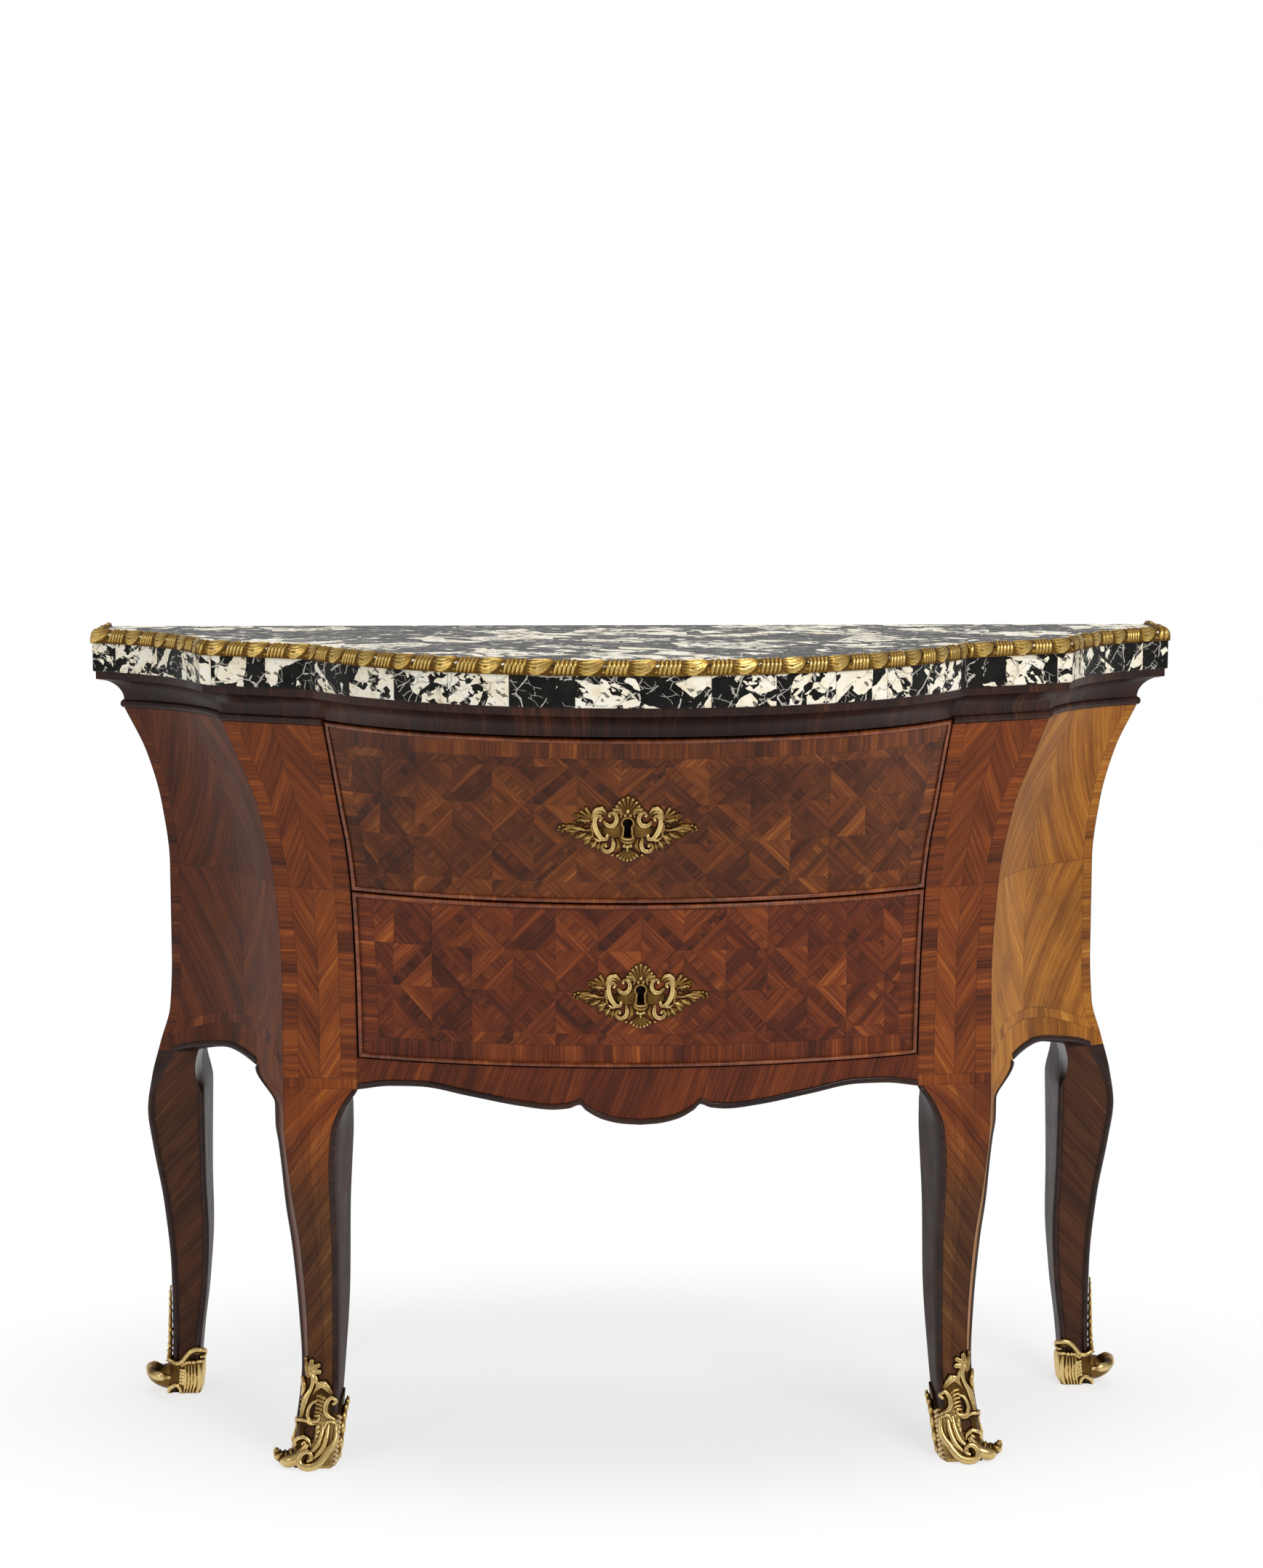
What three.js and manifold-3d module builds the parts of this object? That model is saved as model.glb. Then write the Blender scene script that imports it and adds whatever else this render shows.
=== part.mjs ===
// A bow-fronted, waisted commode chest on four cabriole legs, in millimetres, +Z up.
// The front faces -Y, the floor is z = 0, and the origin is under the middle of the marble top.
// Plan points are pairs [x, forward], where forward is measured from the wall plane behind it.
import * as THREE from "three";
import { mergeVertices, toCreasedNormals } from "three/addons/utils/BufferGeometryUtils.js";
import Module from "manifold-3d";

const wasm = await Module();
wasm.setup();

// Overall sizes
const topWidth = 1260;
const topDepth = 548;
const topHeight = 920;
const fit = 0.3; // gap between two pieces that touch
const boardGap = 0.8; // gap at the edges of a board between posts

// Plan of the marble top, over its gilt edge
const topReturnDepth = 103; // straight ends beside the wall
const caseReturnDepth = 100;
const topRidgeShares = [0.7724, 0.4964]; // corner of the hollow side and the stile: across, forward
const topStileShares = [0.5724, 0.6131]; // corner of the stile and the bow
const topHollowShare = 0.0443;

// Marble and its gilt edge
const marbleThickness = 45;
const marbleVeneer = 5;
const edgeOverhang = 2.5;
const edgeWidth = 15;
const edgeHeight = 17;
const edgeRise = 5; // stands proud of the marble
const edgeLeafPitch = 50;
const leafSwellShare = 0.16; // how much lower the moulding is between two leaves

// Frieze under the marble
const friezeSetback = 3;
const friezeFillet = 9;
const friezeBead = 9;
const friezeBeadBulge = 4;
const friezeThickness = 28;
const friezeHeight = 42; // from the foot of its bead to the marble
const frontFriezeLift = 7; // the bow has no bead, so it ends higher

// Frame
const stileThickness = 52;
const flankThickness = 50;
const legTwist = 5; // how much further forward the inner rear corner of a front leg stands
const backPostWidth = 48;
const backPostReach = 12; // from the straight end of the case to where the side panel meets the post
const frontPostReach = 37; // from the rearmost place of the ridge to where the panel meets that post
const panelThickness = 20;
const sideRailThickness = 45;
const sideRailHeight = 27; // over the highest place of the side arch
const apronThickness = 26;
const apronHeight = 27.5; // over the highest place of its lower edge
const archBead = 7;
const archBeadDepth = 12;
const archBeadProud = 2.5;
const backInset = 3; // back boards stand in from the wall plane
const backBoardThickness = 12;
const backBoardDrop = 5; // from the joint of the drawers down to that of the back boards
const backRailThickness = 24;
const backRailHeight = 34;
const bottomBoardThickness = 9;
const dustBoardThickness = 12;
const dustSetback = 2; // from its front edge to the back of the drawer fronts
const overrun = 1; // how far a cut runs past a face
const kickerWidth = 28;
const boltPocketSpare = 8; // over the thrown bolt

// Drawers
const drawerGap = 1;
const drawerBaseGap = 1.5; // over the apron
const drawerHeadGap = 2; // under the front frieze
const frontThickness = 24; // at the ends of a front
const upperFlatThickness = 23.2; // in the middle, at the foot of the flat behind the lock
const upperFootThickness = 26.2; // and in the middle of the front's lower edge
const lowerFlatThickness = 22.2;
const lowerFootThickness = 29.9;
const cockBead = 5;
const cockBeadProud = 3;
const cockBeadDepth = 16;
const headBeadScale = 1.25; // the bead at the very top stands further out
const baseBeadScale = 1.5; // and the one at the very bottom further still
const boxSideSpace = 11; // from the narrowest place between the stiles to the drawer box
const boxThickness = 10;
const boxBack = 32;
const boxBottomThickness = 8;
const boxBottomRise = 9.5;
const boxSideRise = 3;
const boxJoint = 0.8; // gap between a drawer front and its box
const boxHeadroom = 6; // between the drawer sides and what is over them
const runnerWidth = 26;
const runnerThickness = 4;
const guideThickness = 7;
const guideHeight = 30;
const guideClearance = 0.8;
const stopLength = 60;
const stopThickness = 8;
const stopOffset = 200;

// Locks
const upperLockOffset = -16;
const lowerLockOffset = 0;
const lockWidth = 84;
const lockHeight = 112;
const lockDepth = 13;
const lockWall = 1.6;
const boltWidth = 24;
const boltHeight = 92;
const boltThickness = 4;
const boltThrow = 8;
const boltClearance = 0.8;
const lockFlatMargin = 4; // how far the flat behind a lock runs on under it
const keyholeRadius = 4.2;
const keyholeSlot = 4;
const keyholeDrop = 15;

// Escutcheons
const escutcheonWidth = 150;
const escutcheonHeight = 77;
const escutcheonThickness = 2.4;
const escutcheonRelief = 3;
const escutcheonSeat = 0.6; // stands this far off the curved front, on its pins
const upperKeyholeDepth = 93.7; // under the top of its lock
const lowerKeyholeDepth = 90.4;

// Sabots
const sabotFloor = 2.7;
const legFoot = sabotFloor + fit;
const sabotWall = 4.5;
const sabotClearance = 0.4;
const sabotTip = 120;
const sabotRearHeight = 62;
const sabotInnerHeight = 76;
const sabotRim = 56;
const backSabotTip = 128;
const backSabotRearHeight = 48;
const backSabotInnerHeight = 30;
const backSabotRim = 52;
const toeLength = 34;
const toeHeight = 27;
const toeWidth = 18;
const scrollScale = 0.72; // size of the small front scroll beside a front toe
const frontToeTurn = -0.2; // directions of the toes, in radians from sideways to forwards
const frontScrollTurn = 1.9;
const backToeTurn = 0.1;

// How finely curves are cut
const sideSteps = 6;
const bowSteps = 14;
const shankSteps = 10;
const kneeSteps = 4;
const railSteps = 3;
const headSteps = 3;
const bodySteps = 10;
const boardSteps = 10;
const panelSteps = 7;
const escutcheonSteps = 20;
const pierceSteps = 8;
const keyholeSteps = 8;
const frontSteps = 4; // levels of a drawer front above and below the flat behind its lock
const leafSteps = 3; // in each pitch of the gilt edge
const creaseAngle = Math.PI / 7;
const slopeStep = 1; // how far to each side the slope of a face is measured

const halfWidth = topWidth / 2;
const backY = topDepth / 2;
const marbleBottom = topHeight - marbleThickness;
const caseHeight = marbleBottom - friezeHeight; // floor to the frieze bead
const edgeBottom = topHeight + edgeRise - edgeHeight;

// Each table pairs a share of the case height with a share of the half width or of the depth.
const flankWidthShares = [
  [0, 0.884], [0.08, 0.879], [0.18, 0.8794], [0.282, 0.889], [0.372, 0.906], [0.4226, 0.9127],
  [0.474, 0.903], [0.5246, 0.8857], [0.576, 0.8667], [0.648, 0.862], [0.78, 0.862],
  [0.864, 0.8746], [0.936, 0.9], [1, 0.94],
];
const ridgeWidthShares = [
  [0, 0.6127], [0.06, 0.6016], [0.12, 0.592], [0.18, 0.5937], [0.282, 0.603], [0.384, 0.6206],
  [0.449, 0.6286], [0.546, 0.6317], [0.648, 0.6317], [0.78, 0.643], [0.888, 0.673],
  [0.96, 0.7127], [1, 0.735],
];
const ridgeDepthShares = [
  [0, 0.6168], [0.06, 0.5876], [0.12, 0.562], [0.18, 0.5474], [0.282, 0.542], [0.384, 0.549],
  [0.449, 0.5474], [0.546, 0.522], [0.648, 0.5146], [0.78, 0.5018], [0.888, 0.4854], [1, 0.458],
];
const stileWidthShares = [
  [0, 0.552], [0.06, 0.543], [0.12, 0.5365], [0.282, 0.5365], [0.4, 0.5397], [0.4514, 0.535],
  [0.4682, 0.5286], [0.486, 0.5175], [0.4994, 0.5048], [0.509, 0.4968], [0.648, 0.4984],
  [0.78, 0.5048], [0.84, 0.5127], [0.888, 0.5238], [0.96, 0.5397], [1, 0.549],
];
const stileDepthShares = [
  [0, 0.62], [0.06, 0.593], [0.12, 0.5675], [0.18, 0.553], [0.282, 0.549], [0.384, 0.558],
  [0.4514, 0.558], [0.546, 0.547], [0.648, 0.555], [0.78, 0.562], [0.888, 0.5657], [1, 0.5657],
];
const bowDepthShares = [
  [0.45, 0.64], [0.504, 0.65], [0.546, 0.6588], [0.648, 0.684], [0.72, 0.71], [0.78, 0.737],
  [0.84, 0.7755], [0.912, 0.8285], [0.96, 0.8686], [1, 0.903],
];
const sideHollowShares = [[0, 0.03], [0.45, 0.04], [0.6, 0.045], [1, 0.044]];

// The inner faces of the legs: the rear of a front leg, and the front and rear of a back leg.
const legRearWidthShares = [
  [0, 0.622], [0.12, 0.604], [0.18, 0.609], [0.282, 0.622], [0.334, 0.632], [0.419, 0.644],
  [0.449, 0.6495], [0.49, 0.65],
];
const legRearDepthShares = [
  [0, 0.551], [0.12, 0.496], [0.217, 0.467], [0.334, 0.4544], [0.39, 0.4445], [0.45, 0.4425],
];
const legInnerWidthShares = [
  [0, 0.5413], [0.12, 0.528], [0.24, 0.519], [0.334, 0.5175], [0.44, 0.511],
];
const backLegInnerShares = [
  [0, 0.834], [0.084, 0.824], [0.16, 0.812], [0.24, 0.806], [0.318, 0.808], [0.45, 0.806],
];
const backLegFrontShares = [
  [0, 0.146], [0.12, 0.135], [0.24, 0.144], [0.36, 0.165], [0.42, 0.179], [0.48, 0.188],
  [0.516, 0.2],
];
const backLegRearShares = [[0, 0.075], [0.14, 0.066], [0.3, 0.03], [0.48, 0.0055]];
const legBackShare = 0.4; // a point on the rear face of a front leg
const backPostShares = [0.6, 0.3]; // points on the inner face of a back post
const frontLegBlendShares = [0.475, 0.5205];
const backLegBlendShares = [0.447, 0.516];

// Points of the hollow side between a front joint (0) and the ridge (1)
const ridgeArcShares = [0.35, 0.7];

// Lower edge of the front apron: share of the half opening, then share of the case height.
const apronEdgeShares = [
  [0, 0.473], [0.06, 0.4745], [0.13, 0.4805], [0.19, 0.493], [0.212, 0.5006], [0.25, 0.4955],
  [0.31, 0.4934], [0.42, 0.4976], [0.6, 0.509], [0.77, 0.5186], [0.88, 0.517], [1, 0.509],
];
// Lower edge of the side arch: share of the way from post to post, then of the case height.
const sideArchShares = [
  [0, 0.512], [0.078, 0.5186], [0.24, 0.5252], [0.387, 0.53], [0.544, 0.5318], [0.691, 0.5294],
  [0.804, 0.5264], [1, 0.5205],
];

// Section of the beads under the arches: share of their height, then of how far they stand out,
// where -1 is their hidden rear edge.
const archBeadShares = [[0, -1], [0, 0.6], [0.5, 1], [1, 0.6], [1, -1]];

// Places worked out from the tables
const highest = (pairs) => Math.max(...pairs.map(([, share]) => share));
const lowest = (pairs) => Math.min(...pairs.map(([, share]) => share));
const backJointDepth = caseReturnDepth + backPostReach;
const frontJointDepth = topDepth * lowest(ridgeDepthShares) - frontPostReach;
const sideRailTop = caseHeight * highest(sideArchShares) + sideRailHeight;
const apronTop = caseHeight * highest(apronEdgeShares) + apronHeight;
const drawerBase = apronTop + drawerBaseGap;
const drawerHead = caseHeight + frontFriezeLift - drawerHeadGap;
const jointHeight = (drawerBase + drawerHead) / 2; // where the two drawer fronts meet
const backJointHeight = jointHeight - backBoardDrop;
const boxHalfWidth = halfWidth * lowest(stileWidthShares) - boxSideSpace;

// Edges of an escutcheon: share of the half width, then of the half height round the keyhole.
const escutcheonHighShares = [
  [0, 0.96], [0.1, 0.93], [0.15, 0.84], [0.2, 0.56], [0.27, 0.5], [0.36, 0.62], [0.45, 0.68],
  [0.54, 0.6], [0.63, 0.66], [0.71, 0.52], [0.77, 0.27], [0.85, 0.26], [0.93, 0.17], [1, 0.08],
];
const escutcheonLowShares = [
  [0, -1], [0.13, -0.9], [0.22, -0.8], [0.3, -0.66], [0.35, -0.46], [0.42, -0.55], [0.5, -0.54],
  [0.58, -0.42], [0.68, -0.35], [0.76, -0.2], [0.86, -0.12], [1, -0.06],
];
const escutcheonCrownShares = [[0, 0], [0.2, 0.7], [0.5, 1], [0.8, 0.7], [1, 0]]; // up, then out
// Pierced holes: middle across and up, then half size across and up, as the same shares.
const escutcheonHoleShares = [
  [0.26, 0.28, 0.06, 0.1], [0.36, -0.28, 0.055, 0.07], [0.67, 0.12, 0.055, 0.06],
];

// Sabots: share of the height, then share of the wall; and side view of a toe, out and up.
const sabotWallShares = [
  [0, 1.3], [0.07, 1.5], [0.2, 1.1], [0.4, 1], [0.65, 1.15], [0.85, 0.9], [1, 0.6],
];
const toeShares = [
  [-0.3, 0], [0.25, 0], [0.55, 0.1], [0.85, 0.35], [1, 0.65], [0.92, 0.9], [0.7, 1], [0.5, 0.9],
  [0.47, 0.7], [0.6, 0.62], [0.5, 0.42], [0.3, 0.36], [0.12, 0.5], [-0.3, 0.8],
];
const toeWidthShares = [[-0.5, 0.82], [-0.28, 1], [0.28, 1], [0.5, 0.82]]; // aside, then size

// A smooth value between the pairs of a table, without overshoot.
function along(pairs, at) {
  const last = pairs.length - 1;
  if (at <= pairs[0][0]) return pairs[0][1];
  if (at >= pairs[last][0]) return pairs[last][1];
  let i = 0;
  while (at > pairs[i + 1][0]) i += 1;
  const rise = (k) => (pairs[k + 1][1] - pairs[k][1]) / (pairs[k + 1][0] - pairs[k][0]);
  const tangent = (k) => {
    if (k === 0) return rise(0);
    if (k === last) return rise(last - 1);
    const before = rise(k - 1);
    const after = rise(k);
    return before * after <= 0 ? 0 : (2 * before * after) / (before + after);
  };
  const span = pairs[i + 1][0] - pairs[i][0];
  const t = (at - pairs[i][0]) / span;
  const u = 1 - t;
  return (
    pairs[i][1] * (1 + 2 * t) * u * u +
    pairs[i + 1][1] * t * t * (1 + 2 * u) +
    tangent(i) * span * t * u * u -
    tangent(i + 1) * span * t * t * u
  );
}

const acrossCase = (shares, z) => halfWidth * along(shares, z / caseHeight);
const forwardCase = (shares, z) => topDepth * along(shares, z / caseHeight);
const mix = (a, b, share) => a + (b - a) * share;
const mixPoints = (p, q, share) => p.map((value, k) => mix(value, q[k], share));
const middleOf = (p, q) => p.map((value, k) => (value + q[k]) / 2);
const spread = (from, to, count) =>
  Array.from({ length: count + 1 }, (_, k) => mix(from, to, k / count));

// The plan of the case at one height
function casePlan(z) {
  return {
    flank: [acrossCase(flankWidthShares, z), caseReturnDepth],
    ridge: [acrossCase(ridgeWidthShares, z), forwardCase(ridgeDepthShares, z)],
    stile: [acrossCase(stileWidthShares, z), forwardCase(stileDepthShares, z)],
    bow: forwardCase(bowDepthShares, z),
    hollow: topDepth * along(sideHollowShares, z / caseHeight),
  };
}

const topPlan = {
  flank: [halfWidth, topReturnDepth],
  ridge: [halfWidth * topRidgeShares[0], topDepth * topRidgeShares[1]],
  stile: [halfWidth * topStileShares[0], topDepth * topStileShares[1]],
  bow: topDepth,
  hollow: topDepth * topHollowShare,
};

// The circle that the hollow side follows: it stands outside the case
function sideCircle(plan) {
  const [ax, af] = plan.flank;
  const [bx, bf] = plan.ridge;
  const half = Math.hypot(bx - ax, bf - af) / 2;
  const radius = (half * half + plan.hollow * plan.hollow) / (2 * plan.hollow);
  const away = (radius - plan.hollow) / (2 * half);
  return { x: (ax + bx) / 2 + (bf - af) * away, forward: (af + bf) / 2 + (ax - bx) * away, radius };
}

// A point of the hollow side, from the flank (0) to the ridge (1)
function sidePoint(plan, share) {
  const circle = sideCircle(plan);
  const angle = ([x, forward]) => Math.atan2(forward - circle.forward, circle.x - x);
  const at = mix(angle(plan.flank), angle(plan.ridge), share);
  return [circle.x - circle.radius * Math.cos(at), circle.forward + circle.radius * Math.sin(at)];
}

// How far from the middle the hollow side, or a face that lies inside it, stands at a depth
function sideX(plan, forward, depth = 0) {
  const circle = sideCircle(plan);
  const radius = circle.radius + depth;
  const ahead = forward - circle.forward;
  return circle.x - Math.sqrt(radius * radius - ahead * ahead);
}

// How far forward the hollow side, or a face that lies inside it, stands at x
function sideForward(plan, x, depth) {
  const circle = sideCircle(plan);
  const radius = circle.radius + depth;
  const aside = circle.x - x;
  return circle.forward - Math.sqrt(radius * radius - aside * aside);
}

// How far forward the bow through a pair of ends and a middle stands at x
function bowForward(ends, middle, x) {
  const rise = middle - ends[1];
  const radius = (ends[0] * ends[0] + rise * rise) / (2 * rise);
  return middle - radius + Math.sqrt(radius * radius - x * x);
}

// Points of a bow from x = from to x = to, evenly round its arc
function bowPoints(ends, middle, from, to, steps) {
  const rise = middle - ends[1];
  const radius = (ends[0] * ends[0] + rise * rise) / (2 * rise);
  const start = Math.asin(from / radius);
  const end = Math.asin(to / radius);
  return spread(start, end, steps).map((angle) => [
    radius * Math.sin(angle),
    middle - radius + radius * Math.cos(angle),
  ]);
}

// The whole outline from the right end at the wall, round the front, to the left end
function outline(plan) {
  const right = [[plan.flank[0], 0]];
  spread(0, 1, sideSteps).forEach((share) => right.push(sidePoint(plan, share)));
  const bow = bowPoints(plan.stile, plan.bow, plan.stile[0], -plan.stile[0], bowSteps);
  const left = right.map(([x, forward]) => [-x, forward]).reverse();
  return [...right, ...bow, ...left];
}
const ridgeIndex = sideSteps + 1;
const stileIndex = sideSteps + 2;
const farStileIndex = stileIndex + bowSteps;

// The sideways directions of an outline at each of its points, with mitred corners
function mitres(points, closed) {
  const count = points.length;
  const normal = (a, b) => {
    const length = Math.hypot(b[0] - a[0], b[1] - a[1]);
    return [(b[1] - a[1]) / length, (a[0] - b[0]) / length];
  };
  return points.map((point, k) => {
    const first = !closed && k === 0;
    const final = !closed && k === count - 1;
    const before = first ? null : normal(points[(k + count - 1) % count], point);
    const after = final ? null : normal(point, points[(k + 1) % count]);
    if (!before) return after;
    if (!after) return before;
    const scale = 1 + before[0] * after[0] + before[1] * after[1];
    return [(before[0] + after[0]) / scale, (before[1] + after[1]) / scale];
  });
}

// Moves an outline sideways: to the inside of one that runs from right to left round the front
function inset(points, distance, closed = false) {
  const sideways = mitres(points, closed);
  return points.map(([x, forward], k) => [
    x - sideways[k][0] * distance,
    forward - sideways[k][1] * distance,
  ]);
}

const place = (x, forward, z) => new THREE.Vector3(x, backY - forward, z);
const ringAt = (points, z) => points.map(([x, forward]) => place(x, forward, z));
const mirrored = (points, hand) => points.map(([x, forward]) => [x * hand, forward]);

// Triangles that close a flat ring, turned the way the ring turns
function capTriangles(ring) {
  const normal = new THREE.Vector3();
  ring.forEach((point, k) => normal.add(point.clone().cross(ring[(k + 1) % ring.length])));
  const size = [Math.abs(normal.x), Math.abs(normal.y), Math.abs(normal.z)];
  const dropped = size.indexOf(Math.max(...size));
  const [u, v] = [["y", "z"], ["z", "x"], ["x", "y"]][dropped];
  const flat = ring.map((point) => new THREE.Vector2(point[u], point[v]));
  const turn = THREE.ShapeUtils.area(flat);
  return THREE.ShapeUtils.triangulateShape(flat, []).map(([a, b, c]) => {
    const area = THREE.ShapeUtils.area([flat[a], flat[b], flat[c]]);
    return area * turn < 0 ? [a, c, b] : [a, b, c];
  });
}

function meshGeometry(points, triangles) {
  let volume = 0;
  triangles.forEach(([a, b, c]) => {
    volume += points[a].dot(points[b].clone().cross(points[c]));
  });
  const index = triangles.flatMap(([a, b, c]) => (volume < 0 ? [a, c, b] : [a, b, c]));
  const geometry = new THREE.BufferGeometry().setFromPoints(points);
  geometry.setIndex(index);
  return geometry;
}

// A closed solid through rings of equal count; a closed loop of rings has no end caps
function loft(rings, loop = false) {
  const count = rings[0].length;
  const points = rings.flat();
  const triangles = [];
  const spans = loop ? rings.length : rings.length - 1;
  for (let r = 0; r < spans; r += 1) {
    const here = r * count;
    const next = ((r + 1) % rings.length) * count;
    for (let k = 0; k < count; k += 1) {
      const k2 = (k + 1) % count;
      triangles.push([here + k, here + k2, next + k2], [here + k, next + k2, next + k]);
    }
  }
  if (!loop) {
    const last = (rings.length - 1) * count;
    capTriangles(rings[0]).forEach(([a, b, c]) => triangles.push([a, c, b]));
    capTriangles(rings[rings.length - 1]).forEach(([a, b, c]) => {
      triangles.push([last + a, last + b, last + c]);
    });
  }
  return meshGeometry(points, triangles);
}

const slab = (points, from, to) => loft([ringAt(points, from), ringAt(points, to)]);
const block = (x0, x1, forward0, forward1, z0, z1) =>
  slab([[x0, forward0], [x1, forward0], [x1, forward1], [x0, forward1]], z0, z1);

function solidOf(geometry) {
  const bare = new THREE.BufferGeometry();
  bare.setAttribute("position", geometry.getAttribute("position").clone());
  if (geometry.index) bare.setIndex(geometry.index.clone());
  const merged = mergeVertices(bare);
  return new wasm.Manifold(
    new wasm.Mesh({
      numProp: 3,
      vertProperties: merged.attributes.position.array,
      triVerts: new Uint32Array(merged.index.array),
    }),
  );
}

function geometryOf(solid) {
  const mesh = solid.getMesh();
  const geometry = new THREE.BufferGeometry();
  geometry.setAttribute("position", new THREE.BufferAttribute(mesh.vertProperties, mesh.numProp));
  geometry.setIndex(new THREE.BufferAttribute(mesh.triVerts, 1));
  return geometry;
}

const cut = (geometry, ...tools) =>
  geometryOf(tools.reduce((solid, tool) => solid.subtract(solidOf(tool)), solidOf(geometry)));
const join = (geometry, ...others) =>
  geometryOf(others.reduce((solid, other) => solid.add(solidOf(other)), solidOf(geometry)));

// Finishes
const finish = (color, roughness, metalness) =>
  new THREE.MeshStandardMaterial({ color, roughness, metalness });
const finishes = {
  veneer: finish("#7a4523", 0.35, 0),
  darkWood: finish("#3c2015", 0.45, 0),
  carcass: finish("#9a7348", 0.8, 0),
  marble: finish("#4a4743", 0.2, 0),
  gilt: finish("#c49a4a", 0.35, 1),
  iron: finish("#4b4744", 0.55, 1),
};

const commode = new THREE.Group();
commode.name = "commode";

function add(name, geometry, material) {
  const mesh = new THREE.Mesh(toCreasedNormals(geometry, creaseAngle), material);
  mesh.name = name;
  commode.add(mesh);
}

// Marble top
function addMarble() {
  const edge = outline(topPlan);
  const faceTop = topHeight - marbleVeneer;
  const underEdge = edgeBottom - fit;
  const coreEdge = inset(edge, edgeOverhang + marbleVeneer + fit);
  const coreTop = inset(edge, edgeWidth + fit);
  const core = loft([
    ringAt(coreEdge, marbleBottom),
    ringAt(coreEdge, underEdge),
    ringAt(coreTop, underEdge),
    ringAt(coreTop, faceTop - fit),
  ]);
  add("marble_core", core, finishes.marble);
  add("marble_top_veneer", slab(coreTop, faceTop, topHeight), finishes.marble);
  const outer = inset(edge, edgeOverhang);
  const inner = inset(edge, edgeOverhang + marbleVeneer).reverse();
  add("marble_edge_veneer", slab([...outer, ...inner], marbleBottom, underEdge), finishes.marble);
}

// Gilt edge: a leafy moulding whose section swells once in each leaf
const edgeSectionShares = [
  [0, 0], [0, 0.5], [0.22, 0.78], [0.5, 1], [0.78, 0.86], [1, 0.5], [1, 0],
];

function addGiltEdge() {
  const edge = inset(outline(topPlan), edgeWidth);
  const sideways = mitres(edge, false);
  const stretches = {
    edge_moulding_right: [0, ridgeIndex],
    edge_moulding_right_stile: [ridgeIndex, stileIndex],
    edge_moulding_front: [stileIndex, farStileIndex],
    edge_moulding_left_stile: [farStileIndex, farStileIndex + 1],
    edge_moulding_left: [farStileIndex + 1, edge.length - 1],
  };
  Object.entries(stretches).forEach(([name, [first, final]]) => {
    const stations = [];
    let run = 0;
    for (let k = first; k < final; k += 1) {
      const length = Math.hypot(edge[k + 1][0] - edge[k][0], edge[k + 1][1] - edge[k][1]);
      const steps = Math.max(1, Math.round((leafSteps * length) / edgeLeafPitch));
      const trimStart = k === first ? fit / (2 * length) : 0;
      const trimEnd = k === final - 1 ? fit / (2 * length) : 0;
      const from = k === first ? 0 : 1;
      for (let s = from; s <= steps; s += 1) {
        const share = mix(trimStart, 1 - trimEnd, s / steps);
        stations.push({
          at: mixPoints(edge[k], edge[k + 1], share),
          out: mixPoints(sideways[k], sideways[k + 1], share),
          run: run + length * share,
        });
      }
      run += length;
    }
    const rings = stations.map(({ at, out, run: distance }) => {
      const swell = 1 - (leafSwellShare * (1 + Math.cos((2 * Math.PI * distance) / edgeLeafPitch))) / 2;
      return edgeSectionShares.map(([across, up]) => {
        const crown = 1 - (1 - swell) * up;
        const reach = edgeWidth * across;
        return place(
          at[0] + out[0] * reach,
          at[1] + out[1] * reach,
          edgeBottom + edgeHeight * up * crown,
        );
      });
    });
    add(name, loft(rings), finishes.gilt);
  });
}

// Frieze: a fillet, a hollow and a bead round the case, under the marble
const hollowShares = [0, 0.3, 0.6, 0.85, 1];
const beadShares = [0, 0.35, 0.7, 1];
const friezeTop = marbleBottom - fit;
const hollowTop = marbleBottom - friezeFillet;

function addFrieze() {
  const low = casePlan(caseHeight);
  const highOutline = inset(outline(topPlan), edgeOverhang + friezeSetback);
  const lowOutline = outline(low);
  const innerOutline = inset(lowOutline, friezeThickness);
  const hollowFoot = caseHeight + friezeBead;
  const outerAt = (z) => {
    if (z < hollowFoot) {
      const bulge = Math.sin((Math.PI * (z - caseHeight)) / friezeBead) * friezeBeadBulge;
      return inset(lowOutline, -bulge);
    }
    const rise = Math.min(1, (z - hollowFoot) / (hollowTop - hollowFoot));
    const share = 1 - Math.sqrt(1 - rise * rise);
    return lowOutline.map((point, k) => mixPoints(point, highOutline[k], share));
  };
  const hollowLevels = hollowShares.map((share) => mix(hollowFoot, hollowTop, share));
  const beadLevels = beadShares.slice(0, -1).map((share) => mix(caseHeight + fit, hollowFoot, share));
  const frontLevels = [caseHeight + frontFriezeLift, ...hollowLevels, friezeTop];
  const front = frontLevels.map((z) => {
    const outer = z < hollowFoot ? lowOutline : outerAt(z);
    const face = outer.slice(stileIndex, farStileIndex + 1);
    const rear = innerOutline.slice(stileIndex, farStileIndex + 1).reverse();
    face[0] = [face[0][0] - fit, face[0][1]];
    face[face.length - 1] = [-face[0][0], face[0][1]];
    return ringAt([...face, ...rear], z);
  });
  add("frieze_front", loft(front), finishes.darkWood);
  const sideLevels = [...beadLevels, ...hollowLevels, friezeTop];
  [["right", 1], ["left", -1]].forEach(([side, hand]) => {
    const rings = sideLevels.map((z) => {
      const face = outerAt(z).slice(0, stileIndex + 1);
      const rear = innerOutline.slice(0, stileIndex + 1).reverse();
      const endX = low.stile[0] + 2 * fit;
      face[stileIndex] = [Math.max(face[stileIndex][0] + fit, endX), face[stileIndex][1]];
      rear[0] = mixPoints(rear[0], rear[1], (endX - rear[0][0]) / (rear[1][0] - rear[0][0]));
      return ringAt(mirrored([...face, ...rear], hand), z);
    });
    add(`frieze_${side}`, loft(rings), finishes.darkWood);
  });
}

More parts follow.
